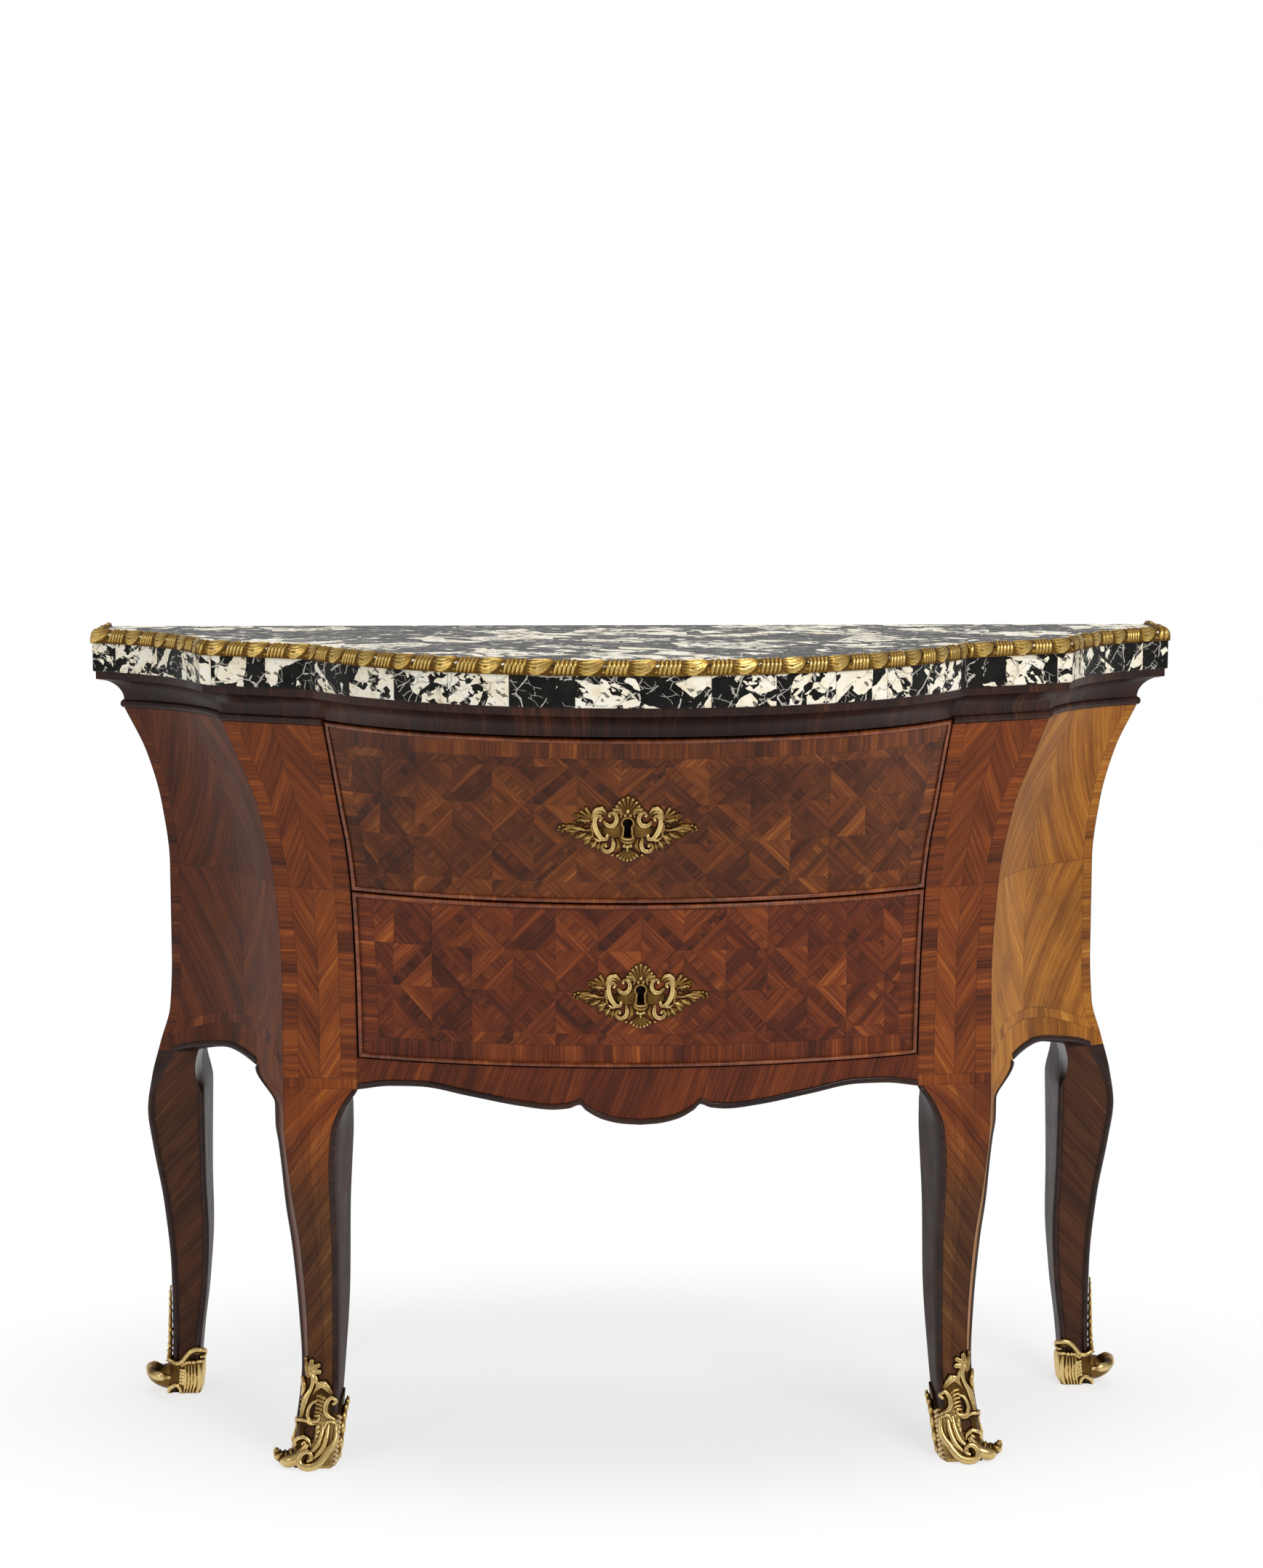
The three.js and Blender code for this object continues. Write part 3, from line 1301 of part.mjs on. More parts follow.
function addSabots() {
  Object.entries(feet).forEach(([end, foot]) => {
    const cornersAt = (z, grow) => inset(foot.corners(foot.ring(z)), -grow, true);
    const top = Math.max(...foot.heights);
    const outer = sabotWallShares.map(([up, wall]) => {
      const z = top * up;
      const corners = cornersAt(z, sabotWall * wall);
      const ring = corners.flatMap((corner, k) => {
        const next = corners[(k + 1) % corners.length];
        return [corner, middleOf(corner, next)];
      });
      return ringAt(ring, z);
    });
    const slope = slopeTool(foot.heights.map((z, k) => cornersAt(z, sabotWall)[k]), foot.heights);
    const above = slab(cornersAt(0, sabotTip), foot.rim, topHeight);
    const body = join(cut(loft(outer), slope), cut(loft(outer), above));
    const toes = foot.toes.map(([turn, scale]) => toe(cornersAt(0, sabotWall)[1], turn, scale));
    const levels = legLevels(legFoot, foot.blend, caseHeight).filter((z) => z < top + sabotTip);
    const inside = [sabotFloor, ...levels].map((z) =>
      ringAt(inset(foot.ring(Math.max(z, legFoot)), -sabotClearance, true), z));
    const shoe = cut(join(body, ...toes), loft(inside));
    add(`sabot_${end}_right`, shoe, finishes.gilt);
    add(`sabot_${end}_left`, otherHand(shoe), finishes.gilt);
  });
}

// The same solid on the other side of the commode
function otherHand(geometry) {
  const position = geometry.getAttribute("position");
  const points = Array.from({ length: position.count }, (_, k) =>
    new THREE.Vector3(-position.getX(k), position.getY(k), position.getZ(k)));
  const triangles = [];
  for (let k = 0; k < geometry.index.count; k += 3) {
    triangles.push([0, 1, 2].map((n) => geometry.index.getX(k + n)));
  }
  return meshGeometry(points, triangles);
}

addMarble();
addGiltEdge();
addFrieze();
addFrontLegs();
addBackLegs();
addSides();
addApron();
addInterior();
addTopRails();
addBack();
Object.entries(drawers).forEach(([level, drawer]) => {
  addDrawer(level, drawer);
  addEscutcheon(level, drawer);
});
addSabots();

export default commode;
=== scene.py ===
# The looks of a bow-fronted, waisted commode chest: veneer, marble and gilt mounts.
# Sizes are in millimetres, as in the model's own plan: x across, forward from the wall, z up.
import math
from types import SimpleNamespace

import bmesh
import bpy
import numpy as np
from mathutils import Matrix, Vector


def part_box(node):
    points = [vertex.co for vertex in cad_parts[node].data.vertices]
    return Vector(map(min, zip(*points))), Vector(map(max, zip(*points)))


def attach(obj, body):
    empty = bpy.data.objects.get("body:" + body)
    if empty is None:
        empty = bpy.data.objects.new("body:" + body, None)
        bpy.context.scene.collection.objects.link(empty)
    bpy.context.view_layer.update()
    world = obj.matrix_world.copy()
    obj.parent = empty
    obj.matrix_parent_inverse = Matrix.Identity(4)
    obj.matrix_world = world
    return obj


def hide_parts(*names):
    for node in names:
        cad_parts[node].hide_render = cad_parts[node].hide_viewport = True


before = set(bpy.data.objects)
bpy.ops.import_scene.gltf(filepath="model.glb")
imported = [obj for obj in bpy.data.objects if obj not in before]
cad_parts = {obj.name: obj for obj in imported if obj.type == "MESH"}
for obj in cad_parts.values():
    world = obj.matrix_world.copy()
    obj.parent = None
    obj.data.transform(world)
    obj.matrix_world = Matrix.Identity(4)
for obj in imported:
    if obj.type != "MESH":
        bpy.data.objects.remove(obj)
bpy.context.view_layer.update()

MM = 0.001

# Overall sizes
TOP_WIDTH = 1260
TOP_DEPTH = 548
TOP_HEIGHT = 920
CASE_HEIGHT = 833
HALF_WIDTH = TOP_WIDTH / 2
BACK_Y = TOP_DEPTH / 2
FIT = 0.3

# Plan of the marble top, over its gilt edge
TOP_RETURN_DEPTH = 103
CASE_RETURN_DEPTH = 100
TOP_RIDGE = (486.6, 272)
TOP_STILE = (360.6, 336)
TOP_SIDE_HOLLOW = 24.3

# Points round a plan: the hollow side, then the bow
SIDE_STEPS = 16
BOW_STEPS = 72
RIDGE_INDEX = SIDE_STEPS + 1
STILE_INDEX = SIDE_STEPS + 2
FAR_STILE_INDEX = STILE_INDEX + BOW_STEPS

# Marble and its gilt edge
MARBLE_THICKNESS = 45
MARBLE_BEVEL = 1.2
SLIP_LENGTH = 70
EDGE_OVERHANG = 2.5
EDGE_WIDTH = 15
EDGE_HEIGHT = 17
EDGE_RISE = 5
LEAF_PITCH = 52
LEAF_GROUND = 0.8
LEAF_STEP = 0.4
# Depth of the moulding's core under its outline, and the heights over which the gilding goes from painted
# shade to a painted highlight
EDGE_CORE = 2.6
EDGE_TONE_LOW = 1.2
EDGE_TONE_RANGE = 1.9
# Where the leaves of the moulding fan out from, in shares of its width and height
EDGE_HEART_SHARES = (0.5, 0.42)
# How far the moulding's flat bottom stays inside its width, and the step of its cuts
EDGE_FOOT_INSET = 0.4
EDGE_SAMPLE = 0.65

# Frieze
FRIEZE_SETBACK = 3
FRIEZE_FILLET = 9
FRIEZE_BEAD = 9
FRIEZE_BULGE = 4
FRIEZE_THICKNESS = 28
FRONT_FRIEZE_LIFT = 7

# Frame
STILE_THICKNESS = 52
FLANK_THICKNESS = 50
LEG_TWIST = 5
BACK_POST_WIDTH = 48
BACK_JOINT = 112
FRONT_JOINT = 213.98
PANEL_THICKNESS = 20
RAIL_THICKNESS = 45
RAIL_TOP = 470
APRON_THICKNESS = 26
APRON_TOP = 459.49
ARCH_BEAD = 7
ARCH_BEAD_DEPTH = 12
ARCH_BEAD_PROUD = 2.5
BACK_INSET = 3
GUIDE_CLEARANCE = 0.8

# Drawers
JOINT_HEIGHT = 649.5
DRAWER_GAP = 1
DRAWER_BASE = 460.99
DRAWER_HEAD = 838
FRONT_THICKNESS = 24
COCK_BEAD = 5
COCK_BEAD_PROUD = 3
COCK_BEAD_DEPTH = 16
LOCK_WIDTH = 84
LOCK_HEIGHT = 112
LOCK_DEPTH = 13
KEYHOLE_RISE = 5.6
KEYHOLE_RADIUS = 4.7
KEYHOLE_SLOT = 6
KEYHOLE_DROP = 16.5
KEYHOLE_SPREAD = 1.25
# A drawer's front and its cock bead reach from base to head. The middle of the front's inside
# stands foot forward at the base, and face forward from the level flat upwards. plate is the
# level of the escutcheon's middle, and the lattice is measured from pattern_x and pattern_z. At
# the upper edge (proud_edge 1) or the lower one (-1) the bead stands proud times as far out.
DRAWERS = {
    "upper": SimpleNamespace(
        base=JOINT_HEIGHT + DRAWER_GAP, head=DRAWER_HEAD, foot=377.9, flat=721.7, face=411.97,
        lock_x=-16, lock_top=837.7, plate=738.4, proud_edge=1, proud=1.25,
        pattern_x=-70, pattern_z=763,
    ),
    "lower": SimpleNamespace(
        base=DRAWER_BASE, head=JOINT_HEIGHT - DRAWER_GAP, foot=332, flat=524.9, face=349.9,
        lock_x=0, lock_top=640.9, plate=544.9, proud_edge=-1, proud=1.5,
        pattern_x=0, pattern_z=595,
    ),
}

# Legs. Their rows lie below the knee level, from there to the rail's top, and above it.
LEG_FOOT = 3.0
KNEE_LEVEL = 340
LEG_ROWS = (70, 44, 64)
MARK_CLEARANCE = 0.4
HIND_SHARE = 0.4
# Width that the hidden back of a front leg has in its maps
HIND_WIDTH = 40
BEAD_COLUMNS = np.linspace(0, 1, 7)
FACE_COLUMNS = np.linspace(0, 1, 10)
WALL_COLUMNS = np.linspace(0, 1, 5)
# Height over which a bead dies away
FADE = 2.5
# Finishes of a leg: outer side, face, hidden sides and bead
SIDE_SLOT, FACE_SLOT, HIDDEN_SLOT, BEAD_SLOT = range(4)
# Distances to the side edges that keep a finish clear of its darkening along them
NO_EDGE = (9, 9)
# Angles in degrees under which the shading of a piece stays smooth
SMOOTH_ANGLE = 32
BEAD_SMOOTH_ANGLE = 50
FRIEZE_SMOOTH_ANGLE = 40
MOULDING_SMOOTH_ANGLE = 70

# Veneer, in metres
LOZENGE_HALF_WIDTH = 0.0465
LOZENGE_HALF_HEIGHT = 0.049
LOZENGE_PITCH = 2 / math.hypot(1 / LOZENGE_HALF_WIDTH, 1 / LOZENGE_HALF_HEIGHT)
LATTICE_WIDTH = 0.0115
BORDER_WIDTH = 0.02
BORDER_SLICE = 0.03
BAND_SLICE = 0.024
HOOP_SLICE = 0.014
BEAD_PIECE = 0.085
SEAM = 0.0006
PANEL_ANGLE = 58
STILE_BANDS = (0.0185, 0.0185)
SIDE_BANDS = (0.013, 0.0)
# Level and width of the band over a leg; level, rise and width of the hoop on a side
LEG_BAND = (-0.226, 0.012)
SIDE_HOOP = (-0.205, 0.034, 0.012)
# Waves in a metre, along and across the grain
GRAIN_WANDER = (7, 16)
GRAIN_FIGURE = (3, 60)
GRAIN_STREAK = (9, 330)
GRAIN_FIBRE = (40, 1100)
# Shares of the three kinds of streak in the tone of the wood
GRAIN_SHARES = (0.38, 0.42, 0.2)
GRAIN_SWAY = 0.014
# How deep a joint between two leaves of veneer is against the grain
JOINT_DEPTH = 1.5
# What a tinted place keeps of its red, green and blue
SHADE = (0.3, 0.26, 0.24, 1)
SMOKE = (0.42, 0.36, 0.34, 1)
LEG_TINT = (0.5, 0.76, 1.2, 1)

# Marble: cells in a metre, of two leans where there are two, and how far they are warped
STONES = 15
SHARDS = (29, 31)
CHIPS = (105, 90)
CRUMBS = 240
CRACKS = 22
THREADS = 70
STONE_WARP = 0.013
# Chance values: stones that are black or crushed, and shards that are pale on the edge and on top
BLACK_BELOW = 0.4
CRUSHED_ABOVE = 0.74
EDGE_PALE_ABOVE = 0.53
TOP_PALE_ABOVE = 0.6

# Escutcheons; SINK is how far the empty places of a relief lie under the surface
SINK = 0.6
PLATE_HALF_WIDTH = 75
PLATE_HALF_HEIGHT = 38.5
PLATE_STEP = 0.45

# Sabots
SABOT_STEP = 0.55
SABOT_CLEARANCE = 0.5
CORNER_ROUNDING = 3.5
SOLE_THICKNESS = 2.7
STRAND_SIDES = 18
STRAND_GUIDE = (0.2, 0.9, 0.4)
# How much lighter a rib's crest and darker its groove are painted
RIB_SHADING = 0.22
# Heights at which the painted shade of the hollows is darkest and the painted highlight of the crests
# brightest
FRONT_TONES = (0.4, 5.0)
BACK_TONES = (1.0, 4.9)

# Studio
CAMERA_AT = (-0.103, -3.254, 1.18)
CAMERA_TILT = math.radians(7.3)
CAMERA_TURN = math.radians(-1.69)
LENS = 67.66
SENSOR_HEIGHT = 36
FLOOR_SIZE = 16
# The floor's shaded oval: its middle, its narrowing, the radii where it fades and its least glow
FLOOR_MIDDLE = 0.22
FLOOR_NARROWING = 0.55
FLOOR_FADE = (0.24, 0.54)
FLOOR_GLOW = 0.65
FLOOR_TONES = ((0.9, 0.9, 0.9, 1), (0.86, 0.86, 0.86, 1))
FLOOR_ROUGHNESS = 0.85
WORLD_LIGHT = 0.5
LAMPS = [
    ("key", (1.7, -2.4, 2.6), (0, 0, 0.5), (1.6, 1.2), 46),
    ("fill", (-2.6, -2.0, 1.7), (0, 0, 0.5), (1.4, 1.4), 10),
    ("top", (0, 0.2, 3.2), (0, 0, 0), (2.4, 1.4), 30),
]

# Each table pairs a share of the case height with a share of the half width or of the depth.
FLANK_WIDTH_SHARES = [
    (0, 0.884), (0.08, 0.879), (0.18, 0.8794), (0.282, 0.889), (0.372, 0.906), (0.4226, 0.9127),
    (0.474, 0.903), (0.5246, 0.8857), (0.576, 0.8667), (0.648, 0.862), (0.78, 0.862),
    (0.864, 0.8746), (0.936, 0.9), (1, 0.94),
]
RIDGE_WIDTH_SHARES = [
    (0, 0.6127), (0.06, 0.6016), (0.12, 0.592), (0.18, 0.5937), (0.282, 0.603), (0.384, 0.6206),
    (0.449, 0.6286), (0.546, 0.6317), (0.648, 0.6317), (0.78, 0.643), (0.888, 0.673),
    (0.96, 0.7127), (1, 0.735),
]
RIDGE_DEPTH_SHARES = [
    (0, 0.6168), (0.06, 0.5876), (0.12, 0.562), (0.18, 0.5474), (0.282, 0.542), (0.384, 0.549),
    (0.449, 0.5474), (0.546, 0.522), (0.648, 0.5146), (0.78, 0.5018), (0.888, 0.4854), (1, 0.458),
]
STILE_WIDTH_SHARES = [
    (0, 0.552), (0.06, 0.543), (0.12, 0.5365), (0.282, 0.5365), (0.4, 0.5397), (0.4514, 0.535),
    (0.4682, 0.5286), (0.486, 0.5175), (0.4994, 0.5048), (0.509, 0.4968), (0.648, 0.4984),
    (0.78, 0.5048), (0.84, 0.5127), (0.888, 0.5238), (0.96, 0.5397), (1, 0.549),
]
STILE_DEPTH_SHARES = [
    (0, 0.62), (0.06, 0.593), (0.12, 0.5675), (0.18, 0.553), (0.282, 0.549), (0.384, 0.558),
    (0.4514, 0.558), (0.546, 0.547), (0.648, 0.555), (0.78, 0.562), (0.888, 0.5657), (1, 0.5657),
]
BOW_DEPTH_SHARES = [
    (0.45, 0.64), (0.504, 0.65), (0.546, 0.6588), (0.648, 0.684), (0.72, 0.71), (0.78, 0.737),
    (0.84, 0.7755), (0.912, 0.8285), (0.96, 0.8686), (1, 0.903),
]
SIDE_HOLLOW_SHARES = [(0, 0.03), (0.45, 0.04), (0.6, 0.045), (1, 0.044)]
LEG_REAR_WIDTH_SHARES = [
    (0, 0.622), (0.12, 0.604), (0.18, 0.609), (0.282, 0.622), (0.334, 0.632), (0.419, 0.644),
    (0.449, 0.6495), (0.49, 0.65),
]
LEG_REAR_DEPTH_SHARES = [
    (0, 0.551), (0.12, 0.496), (0.217, 0.467), (0.334, 0.4544), (0.39, 0.4445), (0.45, 0.4425),
]
LEG_INNER_WIDTH_SHARES = [
    (0, 0.5413), (0.12, 0.528), (0.24, 0.519), (0.334, 0.5175), (0.44, 0.511),
]
BACK_LEG_INNER_SHARES = [
    (0, 0.834), (0.084, 0.824), (0.16, 0.812), (0.24, 0.806), (0.318, 0.808), (0.45, 0.806),
]
BACK_LEG_FRONT_SHARES = [
    (0, 0.146), (0.12, 0.135), (0.24, 0.144), (0.36, 0.165), (0.42, 0.179), (0.48, 0.188),
    (0.516, 0.2),
]
BACK_LEG_REAR_SHARES = [(0, 0.075), (0.14, 0.066), (0.3, 0.03), (0.48, 0.0055)]
BACK_POST_SHARE = 0.3
FRONT_LEG_BLEND_SHARES = (0.475, 0.5205)
BACK_LEG_BLEND_SHARES = (0.447, 0.516)
# Lower edge of the front apron: share of the half opening, then share of the case height.
APRON_EDGE_SHARES = [
    (0, 0.473), (0.06, 0.4745), (0.13, 0.4805), (0.19, 0.493), (0.212, 0.5006), (0.25, 0.4955),
    (0.31, 0.4934), (0.42, 0.4976), (0.6, 0.509), (0.77, 0.5186), (0.88, 0.517), (1, 0.509),
]
# Lower edge of the side arch: share of the way from post to post, then of the case height.
SIDE_ARCH_SHARES = [
    (0, 0.512), (0.078, 0.5186), (0.24, 0.5252), (0.387, 0.53), (0.544, 0.5318), (0.691, 0.5294),
    (0.804, 0.5264), (1, 0.5205),
]


def along(shares, at):
    """A smooth value between the pairs of a table, without overshoot."""
    x, y = np.array(shares, float).T
    slope = np.diff(y) / np.diff(x)
    before, after = slope[:-1], slope[1:]
    steady = before * after > 0
    inner = np.where(steady, 2 * before * after / np.where(steady, before + after, 1), 0)
    tangent = np.concatenate([slope[:1], inner, slope[-1:]])
    at = np.clip(at, x[0], x[-1])
    i = np.clip(np.searchsorted(x, at, "right") - 1, 0, len(x) - 2)
    span = x[i + 1] - x[i]
    t = (at - x[i]) / span
    u = 1 - t
    return (
        y[i] * (1 + 2 * t) * u * u
        + y[i + 1] * t * t * (1 + 2 * u)
        + tangent[i] * span * t * u * u
        - tangent[i + 1] * span * t * t * u
    )


def across_case(shares, z):
    return HALF_WIDTH * along(shares, z / CASE_HEIGHT)


def forward_case(shares, z):
    return TOP_DEPTH * along(shares, z / CASE_HEIGHT)


def mix(a, b, share):
    return a + (b - a) * share


def smooth(share):
    return share * share * (3 - 2 * share)


def place(x, forward, z):
    """Points in metres, in the frame of the model."""
    x, forward, z = np.broadcast_arrays(x, forward, z)
    return np.stack([x, BACK_Y - forward, z], -1) * MM


def case_plan(z):
    z = np.asarray(z, float)
    return SimpleNamespace(
        flank=across_case(FLANK_WIDTH_SHARES, z),
        flank_f=CASE_RETURN_DEPTH,
        ridge=across_case(RIDGE_WIDTH_SHARES, z),
        ridge_f=forward_case(RIDGE_DEPTH_SHARES, z),
        stile=across_case(STILE_WIDTH_SHARES, z),
        stile_f=forward_case(STILE_DEPTH_SHARES, z),
        bow=forward_case(BOW_DEPTH_SHARES, z),
        hollow=forward_case(SIDE_HOLLOW_SHARES, z),
    )


TOP_PLAN = SimpleNamespace(
    flank=HALF_WIDTH, flank_f=TOP_RETURN_DEPTH, ridge=TOP_RIDGE[0], ridge_f=TOP_RIDGE[1],
    stile=TOP_STILE[0], stile_f=TOP_STILE[1], bow=TOP_DEPTH, hollow=TOP_SIDE_HOLLOW,
)


def side_circle(plan):
    """The circle that the hollow side follows: it stands outside the case."""
    half = np.hypot(plan.ridge - plan.flank, plan.ridge_f - plan.flank_f) / 2
    radius = (half**2 + plan.hollow**2) / (2 * plan.hollow)
    away = (radius - plan.hollow) / (2 * half)
    x = (plan.flank + plan.ridge) / 2 + (plan.ridge_f - plan.flank_f) * away
    forward = (plan.flank_f + plan.ridge_f) / 2 + (plan.flank - plan.ridge) * away
    return x, forward, radius


def side_x(plan, forward, depth=0):
    """How far out the hollow side, or a face that lies inside it, stands."""
    circle_x, circle_f, radius = side_circle(plan)
    return circle_x - np.sqrt((radius + depth) ** 2 - (forward - circle_f) ** 2)


def bow_forward(end_x, end_f, middle, x):
    rise = middle - end_f
    radius = (end_x**2 + rise**2) / (2 * rise)
    return middle - radius + np.sqrt(radius**2 - x**2)


def bow_run(end_x, end_f, middle, x):
    """Distance round the bow from its middle."""
    rise = middle - end_f
    radius = (end_x**2 + rise**2) / (2 * rise)
    return radius * np.arcsin(x / radius)


def outline(plan):
    """The whole plan from the right end at the wall, round the front, to the left end."""
    forward = np.linspace(plan.flank_f, plan.ridge_f, SIDE_STEPS + 1)
    right = [(plan.flank, 0)] + list(zip(side_x(plan, forward), forward))
    xs = np.linspace(plan.stile, -plan.stile, BOW_STEPS + 1)
    bow = list(zip(xs, bow_forward(plan.stile, plan.stile_f, plan.bow, xs)))
    left = [(-x, f) for x, f in reversed(right)]
    return np.array(right + bow + left)


def mitres(points):
    """The sideways directions of an open outline at each of its points."""
    step = np.diff(points, axis=0)
    normal = np.stack([step[:, 1], -step[:, 0]], -1) / np.hypot(*step.T)[:, None]
    before = np.vstack([normal[:1], normal])
    after = np.vstack([normal, normal[-1:]])
    return (before + after) / (1 + (before * after).sum(1, keepdims=True))


def inset(points, distance):
    return points - mitres(points) * distance


def running(points):
    """Distance travelled along a line of points."""
    return np.concatenate([[0], np.cumsum(np.linalg.norm(np.diff(points, axis=0), axis=1))])


def add_object(name, data):
    made = bpy.data.objects.new(name, data)
    bpy.context.scene.collection.objects.link(made)
    return made


class Skin:
    """A closed mesh made of sheets of quads, with two maps in metres.

    The pattern map holds the place across and up a face, and the span map the distances
    to the face's two side edges."""

    def __init__(self, name):
        self.name = name
        self.points = []
        self.maps = []
        self.reliefs = []
        self.faces = []
        self.slots = []
        self.count = 0

    def add_points(self, points, pattern, span, relief):
        flat = points.reshape(-1, 3)
        shape = points.shape[:-1]
        maps = np.zeros(shape + (4,))
        for first, value in ((0, pattern), (2, span)):
            if value is not None:
                maps[..., first] = np.broadcast_to(value[0], shape) * MM
                maps[..., first + 1] = np.broadcast_to(value[1], shape) * MM
        self.points.append(flat)
        self.maps.append(maps.reshape(-1, 4))
        self.reliefs.append(np.broadcast_to(relief, shape).reshape(-1))
        index = np.arange(len(flat)).reshape(shape) + self.count
        self.count += len(flat)
        return index

    def sheet(self, points, pattern=None, span=None, slot=0, relief=1.0, closed=False):
        index = self.add_points(points, pattern, span, relief)
        if closed:
            index = np.hstack([index, index[:, :1]])
        quads = np.stack([index[:-1, :-1], index[:-1, 1:], index[1:, 1:], index[1:, :-1]], -1)
        quads = quads.reshape(-1, 4).tolist()
        self.faces.extend(quads)
        self.slots.extend([slot] * len(quads))

    def cap(self, ring, pattern=None, slot=0):
        index = self.add_points(ring, pattern, None, 1.0)
        self.faces.append(index.tolist())
        self.slots.append(slot)

    def loft(self, rings, pattern=None, span=None, slot=0, relief=1.0):
        """A closed tube through rings, with flat ends."""
        self.sheet(rings, pattern, span, slot, relief, closed=True)
        self.cap(rings[0], slot=slot)
        self.cap(rings[-1], slot=slot)

    def shell(self, outer, inner, pattern, span, inner_pattern=None):
        """A slab between two sheets, with slot 0 on the outer one and slot 1 elsewhere."""
        self.sheet(outer, pattern, span)
        self.sheet(inner, inner_pattern, slot=1)
        for edge in ((slice(None), 0), (slice(None), -1), (0, slice(None)), (-1, slice(None))):
            self.sheet(np.stack([outer[edge], inner[edge]]), slot=1)

    def build(self, materials, sharp=SMOOTH_ANGLE):
        points = np.vstack(self.points)
        maps = np.vstack(self.maps)
        relief = np.concatenate(self.reliefs)
        _, first, inverse = np.unique(
            np.round(points / MM, 3), axis=0, return_index=True, return_inverse=True
        )
        inverse = inverse.reshape(-1)
        faces = []
        corners = []
        slots = []
        for face, slot in zip(self.faces, self.slots):
            kept = [k for n, k in enumerate(face) if inverse[k] != inverse[face[n - 1]]]
            if len(kept) > 2:
                faces.append([int(inverse[k]) for k in kept])
                corners.extend(kept)
                slots.append(slot)
        mesh = bpy.data.meshes.new(self.name)
        mesh.from_pydata(points[first].tolist(), [], faces)
        for name, columns in (("pattern", maps[:, :2]), ("span", maps[:, 2:])):
            layer = mesh.uv_layers.new(name=name)
            layer.data.foreach_set("uv", columns[corners].astype(np.float32).ravel())
        # The relief attribute sets the gilding's tone: painted shade in the hollows and a painted highlight
        # on the crests
        attribute = mesh.attributes.new("relief", "FLOAT", "POINT")
        attribute.data.foreach_set("value", relief[first].astype(np.float32))
        mesh.polygons.foreach_set("material_index", slots)
        mesh.polygons.foreach_set("use_smooth", [True] * len(faces))
        for material in materials:
            mesh.materials.append(material)
        work = bmesh.new()
        work.from_mesh(mesh)
        bmesh.ops.recalc_face_normals(work, faces=work.faces)
        work.to_mesh(mesh)
        work.free()
        mesh.validate()
        if sharp:
            mesh.set_sharp_from_angle(angle=math.radians(sharp))
        return add_object(self.name, mesh)


# Finishes: a small language for node materials
def srgb(red, green, blue):
    def linear(value):
        share = value / 255
        return share / 12.92 if share <= 0.04045 else ((share + 0.055) / 1.055) ** 2.4

    return (linear(red), linear(green), linear(blue), 1)


def math_method(operation, turned=False):
    """A method that puts a signal through a math node, as its last value where turned."""

    def method(self, *others):
        values = (*others, self) if turned else (self, *others)
        return self.graph.math(operation, *values)

    return method


class Signal:
    """A value that varies over a surface: arithmetic on it adds math nodes."""

    def __init__(self, graph, socket):
        self.graph = graph
        self.socket = socket

    __add__ = __radd__ = math_method("ADD")
    __sub__ = math_method("SUBTRACT")
    __rsub__ = math_method("SUBTRACT", turned=True)
    __mul__ = __rmul__ = math_method("MULTIPLY")
    __truediv__ = math_method("DIVIDE")
    __abs__ = math_method("ABSOLUTE")
    floor = math_method("FLOOR")
    above = math_method("GREATER_THAN")
    below = math_method("LESS_THAN")
    least = math_method("MINIMUM")
    most = math_method("MAXIMUM")

    def ease(self, low, high):
        """0 below low, 1 above high, smooth between them."""
        node = self.graph.node("ShaderNodeMapRange", interpolation_type="SMOOTHSTEP")
        self.graph.plug(node.inputs["Value"], self)
        node.inputs["From Min"].default_value = low
        node.inputs["From Max"].default_value = high
        return Signal(self.graph, node.outputs["Result"])


